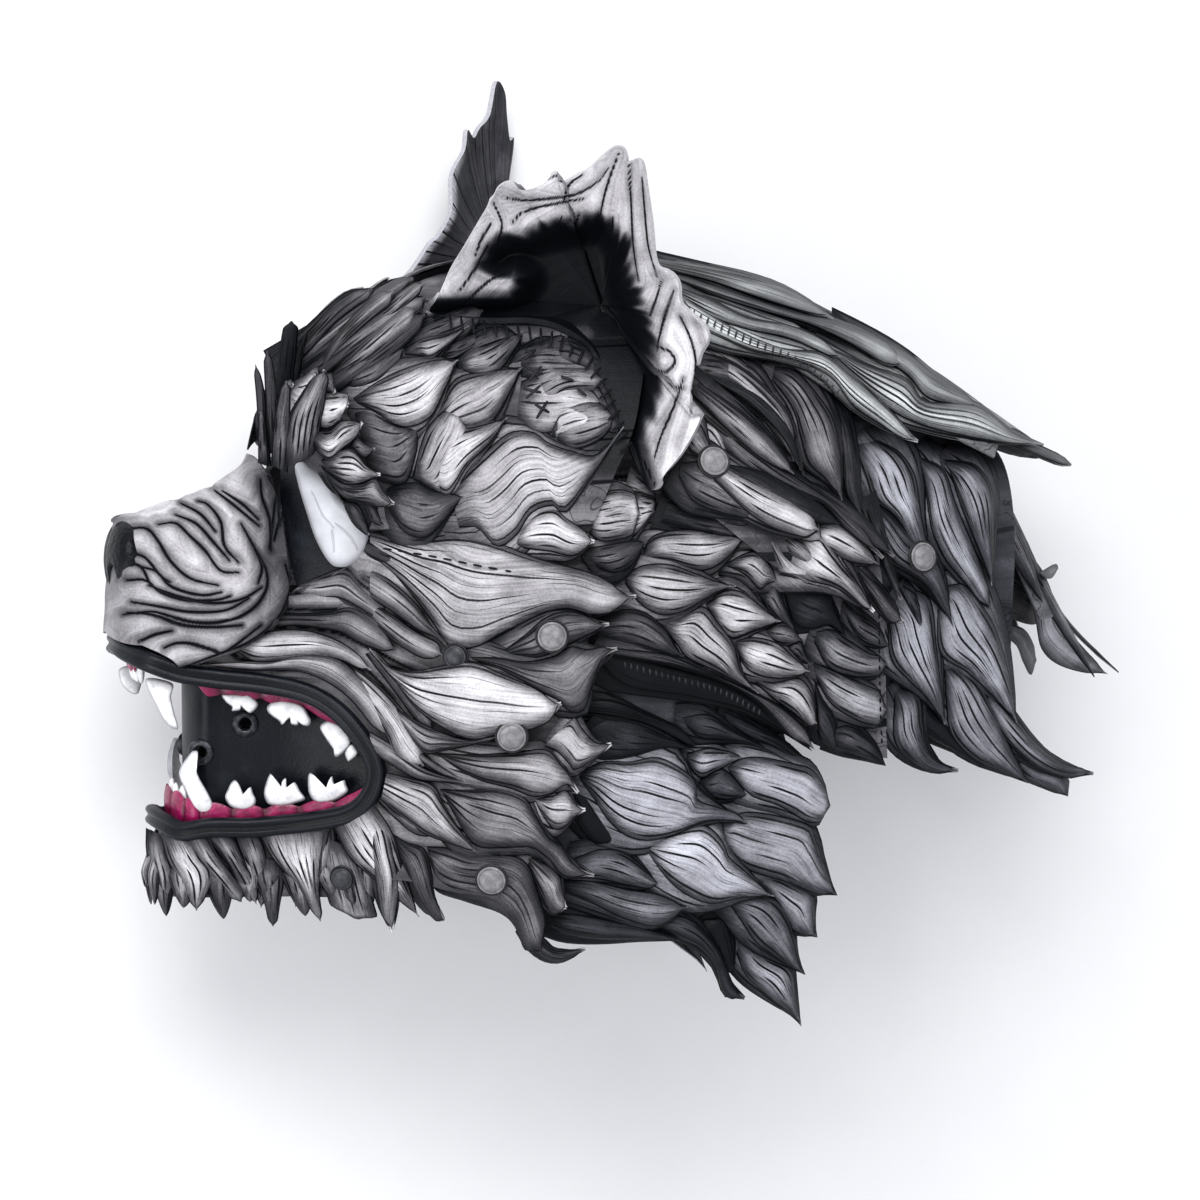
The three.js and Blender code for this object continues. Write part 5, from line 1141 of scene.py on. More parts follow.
PALE_ROOTS = {"cheek": 0.3, "crest": 0.4}
TINTS = {"crest": 0.6, "throat": -0.6, "back_mane": -0.7, "flank": -0.3, "nape": -0.4}


def plain_map(grid, flow=0.0):
    """A lock map without edges or roots, for sheets that carry no lock of their own."""
    shown = mirrored(grid)
    offside = 0.25 * shown[..., 1] + 0.5 * flow
    return together(offside / FAR_EDGE, 0.55 + shown[..., 0] / 1500, FAR_EDGE)


def steps(m, n):
    """Even steps from 0 to 1 down a grid and along it."""
    return np.linspace(0, 1, m)[:, None], np.linspace(0, 1, n)[None, :]


PANEL_USUAL = dict(grooves=None, growth=1.3, tuck=0, sink=1.5, dip=1.5, trim=0.96, bulge=0)


def panel_base(piece, design, side, tint):
    """The sheet of a panel under its locks, with drawn grooves where the design has them."""
    design = PANEL_USUAL | design
    grooves = side > 0 and design["grooves"]
    s, t = steps(*((200, 130) if grooves else (44, 20)))
    edge = line_at(laid(design["edge"]), s[:, 0])
    hem = line_at(laid(design["hem"]), s[:, 0])
    root, top = design["lifts"] if side > 0 else design.get("settled", design["lifts"])
    grow = t ** design["growth"] if side > 0 else smooth(t, 0.12, 0.57)
    root = mix(design.get("front", root), root, smooth(s, 0.2, 0.32))
    lift = mix(root, top - design["tuck"] * (1 - s) ** 2, grow) - design["sink"]
    lift = lift - design["dip"] * smooth(t, 0.3, 0.8)
    t = t * design["trim"]
    x = mix(edge[:, None, 0], hem[:, None, 0], t)
    bend = mix(edge[:, None, 1], hem[:, None, 1], t)
    bend = bend + design["bulge"] * np.sin(np.pi * t) * (1 - s) ** 4
    grid = skin(x, bend, lift, side)
    tone = np.full(grid.shape[:2], design["tone"])
    cut = np.zeros(grid.shape[:2])
    flow = 0.0
    if grooves:
        grid, tone, cut, flow = grooved(grid, grooves, design["tone"])
        tone = tone * (1 - 0.35 * smooth(t, 0.45, 0.8))
    make = together(0.37, tone, 0 if grooves else BASE_LINES)
    piece.slab(*faced(grid, plain_map(grid, flow), make, together(cut, 0, tint)), thick=BASE_THICK)


def grooved(grid, grooves, tone, puff=1.7, reach=3.2, shade=0.5):
    """Presses drawn grooves into a sheet, which swells softly between them, and paints shade on its tone beside each
    groove.
    """
    shown = seen(mirrored(grid))
    depth, away = cut_field(shown, grooves)
    normal = grid_normals(grid)
    if not facing(grid):
        normal = -normal
    near = np.exp(-away / reach)
    grid = grid - normal * (puff * near + 0.5 * depth)[..., None]
    # Painted shade: darker close beside each groove, with a wider, fainter band round it.
    tone = tone * (1 - shade * np.exp(-away / (0.5 * reach))) * (1 - 0.3 * np.exp(-away / (1.6 * reach)))
    return grid, tone, depth, np.minimum(away, 40)


def saddle_base(piece, design, side, tint):
    """The sheet of a piece that runs over the crown, on one side of the middle."""
    s, t = steps(40, 26)
    front = line_at(design["front"], s[:, 0])
    rear = line_at(design["rear"], s[:, 0])
    grow = t ** 1.3 if side > 0 else smooth(t, 0, 0.45)
    middle, top = design["lifts"]
    root = mix(middle, design.get("side_lift", middle), smooth(1 - s, 0.4, 0.9))
    lift = mix(root, top, grow) - 1.4 - design.get("crown_dip", 0) * smooth(s, 0.55, 1)
    x = mix(front[:, None, 0], rear[:, None, 0], t)
    bend = mix(front[:, None, 1], rear[:, None, 1], t)
    grid = skin(x, bend, lift, side)
    grid[-1, :, 2] = 0
    grid, = faced(grid)
    drawing = seen(mirrored(grid))
    below = smooth(drawing[..., 0], -14, 0) * smooth(drawing[..., 1], 30, 45)
    beside = smooth(drawing[..., 0], -88, -72) * smooth(drawing[..., 1], 112, 118)
    shadow = np.maximum(below, beside) * design.get("ear_shadow", 0)
    make = together(0.21, design["tone"] * (1 - shadow), BASE_LINES)
    piece.slab(grid, plain_map(grid), make, (0, 0, tint), thick=BASE_THICK)


OVER_TOP = 50 * math.pi
SADDLES = {
    "forehead": dict(
        lifts=(7.4, 15), tone=0.46, crown_dip=7, ear_shadow=0.9,
        front=[*laid([(-117, 11), (-111, 30), (-119, 56), (-138, 66)]), (-163, 120), (-164, OVER_TOP)],
        rear=[*laid([(-10, 9), (2, 36), (12, 60), (18, 92)]), (16, 120), (16, OVER_TOP)]),
    "crest": dict(
        lifts=(5, 15), side_lift=14, tone=0.6,
        front=[*laid([(44, 102), (42, 114)]), (18, 134), (10, OVER_TOP)],
        rear=[(172, 70), (186, 100), (206, 130), (222, OVER_TOP)]),
}

def under_lock(drawing, dark):
    """A wider lock that fills the gaps round the root of another, darkened as painted shade beneath it."""
    upper, lower, tone, lines, lifts, curl, puff = drawing
    top, low = curve(upper, 7), curve(lower, 7)
    t = np.linspace(0, 1, 7)[:, None]
    middle, half = (top + low) / 2, (top - low) / 2
    run = middle[-1] - middle[0]
    aside = np.array([-run[1], run[0]]) / max(np.linalg.norm(run), 1e-6)
    widest = half[np.argmax(np.linalg.norm(half, axis=1))]
    aside = aside * np.sign(aside @ widest)
    half = half * 1.18 + aside * np.linalg.norm(widest) * 0.75 * (1 - t) ** 1.6
    middle = middle - run * 0.1 * (1 - t) ** 2
    sunk = (lifts[0] - 2.4, lifts[1] - 2.0)
    return middle + half, middle - half, tone * dark, lines, sunk, 0.4 * curl, 0.55 * puff


def add_region(piece, region, side):
    tint = TINTS.get(region, 0.0)
    for k, drawing in enumerate(LOCKS[region]):
        if side < 0 and k % 2 and region not in ("brow", "flank"):
            continue
        add_lock(piece, drawing, side=side, tint=tint, start=PALE_ROOTS.get(region, 0.0))
        # dark is the share of paleness an under-lock keeps, as painted shade beneath the lock above it.
        bare_before, dark = (430, 0.85) if region == "cheek" else (260, 0.75)
        if side > 0 and region != "brow" and drawing[0][0][0] > bare_before:
            add_lock(piece, under_lock(drawing, dark), side=side, tint=tint, fine=False, start=0.1)


def make_panels():
    for region, design in PANELS.items():
        for name, side in (("left", 1), ("right", -1)):
            piece = Piece()
            panel_base(piece, design, side, TINTS.get(region, 0.0))
            add_region(piece, region, side)
            if side > 0 and region == "flank":
                seam(piece, [(879, 612), (880, 690), (882, 745)], 16, 9.5, 0, 0.5, 0.5)
            if side > 0 and region == "throat":
                seam(piece, [(622, 664), (680, 680), (722, 692), (762, 714)], 24, 8.5, 1.2, 0.9, 0.5, 0.1)
            place_piece(piece, f"{region}_{name}", "fur_leather")


def make_saddles():
    for region, design in SADDLES.items():
        piece = Piece()
        for side in (1, -1):
            saddle_base(piece, design, side, TINTS.get(region, 0.0))
            add_region(piece, region, side)
        if region == "forehead":
            add_forehead_seams(piece)
        else:
            seam(piece, [(690, 312), (744, 338), (800, 362), (840, 396)], 22, 18, 1.4, 0.9, 0.5, 0.1)
        place_piece(piece, region, "fur_leather")


THREAD_SIDES = 6

# Notes of plain leather: no lock, and middling paleness
NO_LOCK = (0, 0.5, 50)
PLAIN = (0.5, 0.5, 0)


def add_thread(piece, line, radius, cut):
    """A waxed thread along a line of points."""
    line = np.asarray(line, float)
    forward = np.gradient(line, axis=0)
    forward /= np.maximum(np.linalg.norm(forward, axis=1, keepdims=True), 1e-9)
    across = np.cross(forward, TOWARD)
    across /= np.maximum(np.linalg.norm(across, axis=1, keepdims=True), 1e-9)
    out = np.cross(across, forward)
    turn = np.linspace(0, 2 * np.pi, THREAD_SIDES, endpoint=False)
    taper = np.sin(np.pi * np.linspace(0.12, 0.88, len(line)))[:, None, None] ** 0.4 * radius
    ring = across[:, None] * np.cos(turn)[None, :, None] + out[:, None] * np.sin(turn)[None, :, None]
    grid = line[:, None] + ring * taper
    points = grid.transpose(1, 0, 2)
    piece.add(points, grid_faces(THREAD_SIDES, len(line), closed=True), NO_LOCK, (0.5, 0.3, 0), (cut, 0, 0))


def stitch(piece, a, b, lift, radius=0.55, cut=0.9):
    """One stitch between two points of the drawing, arched over the leather."""
    t = np.linspace(0, 1, 7)
    uv = mix(drawn(a)[None], drawn(b)[None], t[:, None])
    add_thread(piece, head_place(uv, lift + 0.9 * np.sin(np.pi * t) - 0.3), radius, cut=cut)


def seam(piece, line, count, lift, slant=0.0, long=0.55, radius=0.55, cut=0.9):
    """Stitches along a drawn line; slant turns each one towards across it."""
    points = curve(line, count + 1)
    for a, b in zip(points[:-1], points[1:]):
        middle, half = (a + b) / 2, (b - a) * long / 2
        turned = half * math.cos(slant) + np.array([-half[1], half[0]]) * math.sin(slant)
        stitch(piece, middle - turned, middle + turned, lift, radius, cut)


def add_forehead_seams(piece):
    """The row under the ear's foot, the long row above it, and loose crossed stitches."""
    seam(piece, [(380, 548), (430, 556), (480, 566), (530, 575), (560, 580)], 12, 14)
    crosses = [(709, 222, 735, 240), (735, 225, 708, 248), (715, 268, 755, 285), (750, 265, 720, 300),
               (705, 320, 750, 330), (748, 312, 712, 345), (735, 360, 770, 380), (765, 352, 738, 395),
               (800, 290, 830, 300), (840, 320, 862, 338), (820, 205, 850, 222), (640, 400, 662, 386)]
    for x0, y0, x1, y1 in crosses:
        a, b = ((240 + x / 2.49, 260 + y / 2.49) for x, y in ((x0, y0), (x1, y1)))
        stitch(piece, a, b, 16, 0.8, 0.25)
    under_ear = [(445, 322), (500, 330), (550, 338), (590, 365), (612, 410), (628, 452)]
    seam(piece, under_ear, 22, 16, 1.3, 1.3, 0.7, 0.6)


# Muzzle: a round front, then back along the skin to its rear edge over the cheeks

FRONT_SHARE = 0.2
MUZZLE_FRONT = ((-253.5, -31), (-249, 24))
MUZZLE_SHOULDER = [(-240, -9), (-243, 20), (-243, 70), (-240, 120), (-237, OVER_TOP)]
MUZZLE_REAR = [
    *laid([(-213, -53.5), (-178, -43), (-161, -28), (-157, -6), (-161, 22)]),
    (-173, 120), (-175, OVER_TOP),
]
MUZZLE_GROOVES = [
    [(123, 527), (145, 526), (158, 540), (170, 560), (190, 578), (218, 585)],
    [(158, 522), (175, 521), (190, 535), (205, 550), (220, 570), (238, 572)],
    [(197, 498), (207, 502), (220, 520), (224, 545), (238, 562)],
    [(213, 487), (235, 505), (258, 525)],
    [(258, 478), (260, 495), (268, 520), (269, 550)],
    [(265, 475), (274, 495), (277, 525)],
    [(240, 522), (255, 550), (265, 570), (265, 590), (250, 610), (220, 622), (190, 622), (165, 615), (150, 612),
     (120, 615)],
    [(132, 552), (145, 557), (160, 575), (170, 582)],
    [(140, 566), (156, 571), (172, 587), (201, 595), (221, 592)],
    [(148, 585), (180, 597), (213, 603), (241, 599), (261, 587)],
    [(124, 613), (152, 615), (181, 625), (213, 627), (241, 625)],
    [(221, 488), (241, 502), (257, 518)],
    [(273, 494), (271, 522), (268, 548)],
    [(287, 498), (277, 522), (272, 540)],
    [(175, 512), (196, 522), (213, 541), (229, 560)],
    [(253, 546), (261, 566), (257, 583)],
    [(118, 560), (140, 566), (151, 585), (168, 594)],
    [(130, 602), (160, 607), (190, 612), (225, 610), (248, 598)],
    [(180, 500), (200, 512), (215, 530)],
    [(124, 580), (145, 580), (160, 592), (185, 600), (215, 600), (230, 596)],
    [(139, 642), (155, 635), (172, 631)],
    [(163, 648), (175, 643), (190, 643), (210, 648), (225, 650), (260, 625)],
    [(185, 662), (210, 660), (225, 662), (233, 655)],
    [(283, 565), (288, 590), (275, 620), (250, 640), (225, 650), (180, 664)],
]


def muzzle_half(side, m, n):
    """One side of the muzzle: a quarter turn round the front, then along the skin."""
    rise, t = steps(m, n)
    back = np.clip((t - FRONT_SHARE) / (1 - FRONT_SHARE), 0, 1)
    a = line_at(MUZZLE_SHOULDER, rise[:, 0])[:, None]
    b = line_at(MUZZLE_REAR, rise[:, 0])[:, None]
    lift = mix(1, 10, back ** 3)
    grid = skin(mix(a[..., 0], b[..., 0], back), mix(a[..., 1], b[..., 1], back), lift, side)
    shoulder = grid[:, np.argmax(t[0] >= FRONT_SHARE)][:, None]
    turn = np.clip(t / FRONT_SHARE, 0, 1) * np.pi / 2
    (x0, y0), (x1, y1) = MUZZLE_FRONT
    nose = together(
        mix(mix(x0, x1, rise), shoulder[..., 0], 1 - np.cos(turn)),
        mix(mix(y0, y1, rise), shoulder[..., 1], np.sin(turn)),
        shoulder[..., 2] * np.sin(turn))
    grid = np.where((t < FRONT_SHARE)[..., None], nose, grid)
    grid[-1, :, 2] = 0
    return grid


NOSE_PAD = dict(centre=np.array([-243.5, 3.0, 0.0]), half=np.array([9.5, 20.5, 20.0]))
NOSTRIL = dict(centre=(-251.5, -6.0, 9.0), half=(6, 9, 4.2), deep=4.5)


def make_muzzle():
    piece = Piece()
    for side in (1, -1):
        grid = muzzle_half(side, *((240, 290) if side > 0 else (110, 120)))
        grid, tone, cut, flow = grooved(grid, MUZZLE_GROOVES, 0.9, puff=2.1, reach=3.0, shade=0.5)
        x = grid[..., 0]
        # Painted shade darkens the muzzle towards its rear edge, in the hollow beside the eye; it is also darker at
        # the very front, by the nose.
        tone = tone * (1 - 0.6 * smooth(x, -200, -168)) * (1 - 0.3 * smooth(-x, 236, 250))
        notes = faced(grid, plain_map(grid, flow), together(0.11, tone, 0), together(cut, 0, 0))
        piece.slab(*notes, thick=2.8)
    place_piece(piece, "muzzle", "fur_leather")


def make_nose():
    """The pebbled nose pad with its two nostrils."""
    around, high = 96, 64
    turn = np.linspace(0, 2 * np.pi, around, endpoint=False)[:, None]
    rise = np.linspace(-np.pi / 2 + 0.01, np.pi / 2 - 0.01, high)[None, :]
    ball = together(np.cos(rise) * np.cos(turn), np.sin(rise), np.cos(rise) * np.sin(turn))
    grid = ball * NOSE_PAD["half"] + NOSE_PAD["centre"]
    hole = np.zeros(grid.shape[:2])
    for side in (-1, 1):
        centre = np.array(NOSTRIL["centre"]) * (1, 1, side)
        away = np.linalg.norm((grid - centre) / np.array(NOSTRIL["half"]), axis=-1)
        hole = np.maximum(hole, 1 - smooth(away, 0.5, 1.15))
    crease = np.exp(-(grid[..., 2] / 1.1) ** 2) * smooth(-grid[..., 0], 246, 251) * 0.7
    dent = hole * NOSTRIL["deep"] + crease
    grid = grid - ball * dent[..., None]
    piece = Piece()
    faces = grid_faces(around, high, closed=True)[:, ::-1]
    # hole also darkens the nostrils, as painted shade in their hollows.
    piece.add(grid, faces, NO_LOCK, PLAIN, together(hole, 0, 0))
    place_piece(piece, "nose_pad", "nose_leather")


# Mouth: both jaws are arches, seen in plan as straight sides with a round front

UPPER_ARCH = (-246, -235, -118)
LOWER_ARCH = (-228, -211, -118)
INNER_ARCH = (-229, -205, -105)
ROUND_PART = 0.3


def arch(jaw, q, y, lift):
    """A point on an arch: q runs from -1 to 1 round it, and the near side is above 0."""
    front, shoulder, back = jaw
    q, y, lift = np.broadcast_arrays(*(np.asarray(v, float) for v in (q, y, lift)))
    side = np.where(q < 0, -1.0, 1.0)
    run = np.abs(q)

    def width_at(x):
        middle = along(MIDDLE, x)
        reach = np.where(y >= middle, along(CROWN, x) - middle, middle - along(THROAT, x))
        rise = np.clip((y - middle) / reach, -0.95, 0.95)
        return along(HALF_WIDTH, x) * np.sqrt(1 - rise * rise)

    x = mix(shoulder, back, np.maximum(0, run - ROUND_PART) / (1 - ROUND_PART))
    slope = (width_at(x + 2) - width_at(x - 2)) / 4
    long = np.sqrt(1 + slope * slope)
    straight = together(x - slope / long * lift, y, side * (width_at(x) + lift / long))
    turn = np.minimum(run / ROUND_PART, 1) * np.pi / 2
    depth = shoulder - front + lift
    width = width_at(np.full_like(y, float(shoulder))) + lift
    rounded = together(shoulder - depth * np.cos(turn), y, side * width * np.sin(turn))
    return np.where((run >= ROUND_PART)[..., None], straight, rounded)


def arch_place(jaw, uv, lift):
    """The point near an arch that shows at a point of the drawing."""
    run = np.full(uv.shape[:-1], 0.5)
    y = uv[..., 1].copy()
    for _ in range(60):
        miss = uv - seen(arch(jaw, run, y, lift))
        run = np.clip(run + miss[..., 0] / 300, 0, 1)
        y = y + 0.7 * miss[..., 1]
    point = arch(jaw, run, y, lift)
    miss = uv - seen(point)
    return point + miss[..., :1] * RIGHT + miss[..., 1:] * UP


LIP_LINE = [
    (-229, -54), (-213, -59.5), (-194, -62.5), (-171, -65), (-150, -69.5), (-135, -78),
    (-123, -91), (-115.5, -104), (-115, -114), (-120, -124), (-128, -130), (-141, -133),
    (-160, -135.5), (-178, -137), (-197, -137),
]
UPPER_FRONT = [(0.1, -39), (0, -37), (-0.1, -39)]
LOWER_FRONT = [(0.2, -127), (0.1, -124), (0, -122.5), (-0.1, -124), (-0.2, -127)]
WELT = dict(width=9.5, thick=4.5, lift=3.2)


def outward(p):
    """The way out of the head at points of the lips, radial round the front."""
    middle = along(MIDDLE, p[:, 0])
    reach = middle - along(THROAT, p[:, 0])
    rise = np.clip((p[:, 1] - middle) / reach, -0.95, 0)
    bend = 100 * np.arcsin(rise)
    out = skin(p[:, 0], bend, 1) - skin(p[:, 0], bend, 0)
    out[:, 2] *= np.where(p[:, 2] < 0, -1, 1)
    shoulder = np.where(p[:, 1] > -90, UPPER_ARCH[1], LOWER_ARCH[1])
    radial = together(p[:, 0] - shoulder, 0, p[:, 2])
    radial /= np.linalg.norm(radial, axis=1, keepdims=True)
    return mix(radial, out, smooth(p[:, 0] - shoulder, -12, 0)[:, None])


# The band's section as shares of its half width and half thickness: two rolls beside a seam
WELT_PROFILE = [
    (1.0, -1.0), (1.02, -0.4), (0.96, 0.35), (0.8, 0.85), (0.55, 1.02), (0.3, 0.86), (0.12, 0.5),
    (-0.02, 0.45), (-0.16, 0.62), (-0.45, 0.98), (-0.72, 0.9), (-0.94, 0.4), (-1.02, -0.3), (-1.0, -1.0),
]


def make_lip_welt():
    """The black rolled band, swept once round the whole mouth."""
    near = skin(*laid(LIP_LINE).T, WELT["lift"])
    upper = np.array([arch(UPPER_ARCH, q, y, WELT["lift"]) for q, y in UPPER_FRONT])
    lower = np.array([arch(LOWER_ARCH, q, y, WELT["lift"]) for q, y in LOWER_FRONT])
    far = near * np.array([1, 1, -1])
    path = curve(np.vstack([near, lower, far[::-1], upper[::-1]]), 420, closed=True)
    forward = np.roll(path, -1, axis=0) - np.roll(path, 1, axis=0)
    forward /= np.linalg.norm(forward, axis=1, keepdims=True)
    out = outward(path)
    out -= np.sum(out * forward, axis=1, keepdims=True) * forward
    out /= np.linalg.norm(out, axis=1, keepdims=True)
    across = np.cross(out, forward)
    w, h = WELT["width"] / 2, WELT["thick"] / 2
    profile = np.array(WELT_PROFILE)
    grid = path[:, None] + across[:, None] * (profile[:, 0] * w)[None, :, None]
    grid = grid + out[:, None] * (profile[:, 1] * h)[None, :, None]
    cut = np.zeros(grid.shape[:2])
    cut[:, 6:8] = 0.8
    # Painted highlights along the crests of the two rolls, carried in the rim note.
    rim = np.zeros(grid.shape[:2])
    rim[:, 3:5] = 0.5
    rim[:, 9:11] = 0.35
    piece = Piece()
    ring, work = (np.concatenate([v, v[:, :1]], axis=1) for v in (grid, together(cut, rim, 0)))
    piece.add(ring, grid_faces(*ring.shape[:2], closed=True), NO_LOCK, PLAIN, work)
    place_piece(piece, "lip_welt", "black_leather")


INNER_MUZZLE = dict(top=-44, bottom=-146, inset=-14)
EYELETS = [(0.305, -76), (0.395, -90), (0.605, -90), (0.695, -76)]
EYELET_RADIUS = 6.5


def inner_point(s, y, extra):
    return arch(INNER_ARCH, 1 - 2 * np.asarray(s, float), y, INNER_MUZZLE["inset"] + extra)


def make_inner_muzzle():
    """The plain half mask inside the mouth, with an eyelet set in each of its holes."""
    m, n = 260, 90
    s = np.linspace(0, 1, m)[:, None]
    y = np.linspace(INNER_MUZZLE["top"], INNER_MUZZLE["bottom"], n)[None, :]
    grid = inner_point(s, y, 0)
    centres = np.array([inner_point(a, b, 0) for a, b in EYELETS])
    piece = Piece()
    back = inner_point(s, y, -2.5)
    quads = grid_faces(m, n)
    middle = grid.reshape(-1, 3)[quads].mean(axis=1)
    away = np.min(np.linalg.norm(middle[:, None] - centres[None], axis=2), axis=1)
    quads = quads[away > EYELET_RADIUS - 2.2]
    for points, faces in ((grid, quads[:, ::-1]), (back, quads)):
        piece.add(points, faces, NO_LOCK, PLAIN, (0, 0, 0))
    for k in (-1, 0):
        strip = np.stack([grid[:, k], back[:, k]], axis=1)
        piece.add(strip, grid_faces(m, 2), NO_LOCK, PLAIN, (0, 0.6, 0))
    place_piece(piece, "inner_muzzle", "black_leather")
    for k, (a, b) in enumerate(EYELETS):
        eyelet = Piece()
        foot = inner_point(a, b, 0)
        lathe(eyelet, foot, inner_point(a, b, 1) - foot, EYELET_PROFILE)
        place_piece(eyelet, f"eyelet_{k + 1}", "eyelet")


LATHE_STEPS = 48


def lathe(piece, foot, out, profile):
    """Turns a profile of radius, height and darkness round an axis that stands at foot."""
    out = out / np.linalg.norm(out)
    across = np.cross(out, np.array([0.13, 0.97, 0.21]))
    across /= np.linalg.norm(across)
    aside = np.cross(out, across)
    turn = np.linspace(0, 2 * np.pi, LATHE_STEPS, endpoint=False)
    r, h, cut = np.array([(*p, 0)[:3] for p in profile]).T
    ring = across[None] * np.cos(turn)[:, None] + aside[None] * np.sin(turn)[:, None]
    grid = foot + ring[:, None] * r[None, :, None] + out * h[None, :, None]
    works = together(cut[None, :] + 0 * turn[:, None], 0, 0)
    piece.add(grid, grid_faces(*grid.shape[:2], closed=True)[:, ::-1], NO_LOCK, PLAIN, works)


EYELET_PROFILE = [
    (3.0, -4.0), (3.0, 0.8), (3.3, 1.7), (4.0, 2.0), (5.2, 1.7), (6.2, 1.0), (6.5, 0.5), (4.6, 0.4),
    (4.6, -4.0), (3.0, -4.0),
]


def outline_plate(piece, outline, place, lift, dome, thick, rings=10, around=120, make=(0.5, 0.8, 0), cut=None,
                  dark_edge=True):
    """A domed plate inside a closed drawn outline."""
    rim = curve(drawn(outline), around, closed=True)
    r = np.linspace(0, 1, rings + 1)[None, :]
    uv = rim[:, None] + (rim.mean(axis=0) - rim)[:, None] * r[..., None]
    swell = np.broadcast_to(np.sqrt(np.clip(1 - (1 - r) ** 2.4, 0, 1)), uv.shape[:2])
    grid = place(uv, lift + dome * swell)
    back = place(uv, lift - thick + 0 * swell)
    if not facing(grid, closed=True):
        grid, back, uv = grid[::-1], back[::-1], uv[::-1]
    depth = cut_field(uv, cut, 0.4)[0] if cut else 0.0 * swell
    if dark_edge:
        depth = np.maximum(depth, 0.55 * (1 - smooth(r, 0, 0.12)))
    maps = together(0, 0.35 + 0.5 * r + 0 * swell, 50)
    faces = grid_faces(*uv.shape[:2], closed=True)
    piece.add(grid, faces, maps, make, together(depth, 0, 0))
    piece.add(back, faces[:, ::-1], maps, make, (0, 0, 0))
    wall = np.stack([grid[:, 0], back[:, 0]], axis=1)
    faces = grid_faces(len(wall), 2, closed=True)[:, ::-1]
    piece.add(wall, faces, (0, 0.3, 50), make, (0.5, 0, 0))


TOOTH_INSET = -5.4
TEETH = {
    "upper_cheek_tooth_1": (UPPER_ARCH, [[(222, 695), (231, 694), (243, 695), (250, 695), (258, 704), (251, 713),
        (244, 709), (241, 706), (240, 710), (232, 711), (232, 707), (226, 702)]]),
    "upper_cheek_tooth_2": (UPPER_ARCH, [[(267, 707), (272, 702), (282, 700), (294, 702), (303, 706), (308, 714),
        (311, 721), (308, 726), (301, 724), (299, 718), (298, 725), (291, 724), (291, 718), (286, 721), (282, 725),
        (279, 721), (272, 716), (268, 712)]]),
    "upper_cheek_tooth_3": (UPPER_ARCH, [[(320, 727), (328, 721), (338, 724), (345, 730), (351, 742), (344, 752),
        (337, 757), (334, 755), (333, 749), (326, 739)],
        [(345, 752), (352, 744), (358, 753), (350, 761), (347, 760)]]),
    "upper_fang": (UPPER_ARCH, [[(146, 679), (172, 683), (171, 697), (174, 712), (178, 729), (167, 724), (155, 703)]]),
    "lower_fang": (LOWER_ARCH, [[(193, 751), (198, 752), (196, 761), (196, 769), (200, 779), (208, 793), (213, 805),
        (211, 813), (204, 815), (196, 811), (190, 801), (185, 789), (180, 779), (179, 771), (183, 763), (189, 755)]]),
    "lower_cheek_tooth_1": (LOWER_ARCH, [[(225, 797), (228, 789), (231, 783), (235, 780), (239, 784), (243, 793),
        (246, 801), (249, 793), (248, 789), (251, 787), (253, 793), (256, 800), (254, 806), (246, 810), (236, 809),
        (229, 805)]]),
    "lower_cheek_tooth_2": (LOWER_ARCH, [[(264, 793), (266, 783), (270, 774), (273, 776), (278, 782), (281, 786),
        (282, 781), (286, 778), (287, 787), (290, 786), (294, 782), (297, 785), (300, 791), (305, 799), (296, 803),
        (284, 806), (271, 805), (266, 801)]]),
    "lower_cheek_tooth_3": (LOWER_ARCH, [[(308, 787), (308, 777), (310, 773), (314, 775), (319, 781), (324, 786),
        (328, 788), (328, 782), (332, 776), (334, 783), (337, 785), (344, 780), (346, 785), (348, 791), (343, 796),
        (333, 801), (320, 803), (313, 800), (309, 793)]]),
}
TOOTH_PLATE = dict(lift=0.0, dome=2.6, thick=3.0, rings=8, around=72)
FAR_FANG = [(119, 670), (126, 666), (134, 668), (142, 676), (140, 689), (137, 694), (131, 693), (124, 687), (120, 679)]


def make_teeth():
    """The drawn teeth on both sides, and the incisors in front."""
    for name, (jaw, outlines) in TEETH.items():
        def place(uv, lift):
            return arch_place(jaw, uv, TOOTH_INSET + lift)
        for side_name, side in (("left", 1), ("right", -1)):
            piece = Piece()
            if name == "upper_fang" and side < 0:
                outline_plate(piece, FAR_FANG, lambda uv, lift: at_height(uv, lift - 20), **TOOTH_PLATE)
            else:
                for outline in outlines:
                    outline_plate(piece, outline, place, **TOOTH_PLATE)
                if side < 0:
                    piece.mirror()
            place_piece(piece, f"{name}_{side_name}", "tooth")
    for name, jaw, root, tip, inset in (
        ("upper_incisors", UPPER_ARCH, -46, -56, -7.6), ("lower_incisors", LOWER_ARCH, -119, -106, -8),
    ):
        piece = Piece()
        for k in (-1.5, -0.5, 0.5, 1.5):
            incisor(piece, jaw, k * INCISOR["spacing"], root, tip, inset)
        place_piece(piece, name, "tooth")


INCISOR = dict(spacing=0.085, half=0.04, thick=2.4)


def incisor(piece, jaw, middle, root, tip, inset):
    t = np.linspace(0, 1, 16)[None, :]
    turn = np.linspace(0, 2 * np.pi, 28, endpoint=False)[:, None]
    round_tip = np.sqrt(np.clip(1 - t ** 2.6, 0, 1))
    wide = INCISOR["half"] * round_tip * (0.9 + 0.2 * np.sin(np.pi * t))
    q = middle + wide * np.cos(turn)
    out = INCISOR["thick"] * round_tip * np.sin(turn)
    grid = arch(jaw, q, mix(root, tip, t), inset + out)
    faces = grid_faces(*grid.shape[:2], closed=True)
    if not facing(grid, closed=True):
        faces = faces[:, ::-1]
    piece.add(grid, faces, together(0 * q, 0.2 + 0.8 * t, 50), (0.5, 0.8, 0), (0, 0, 0))


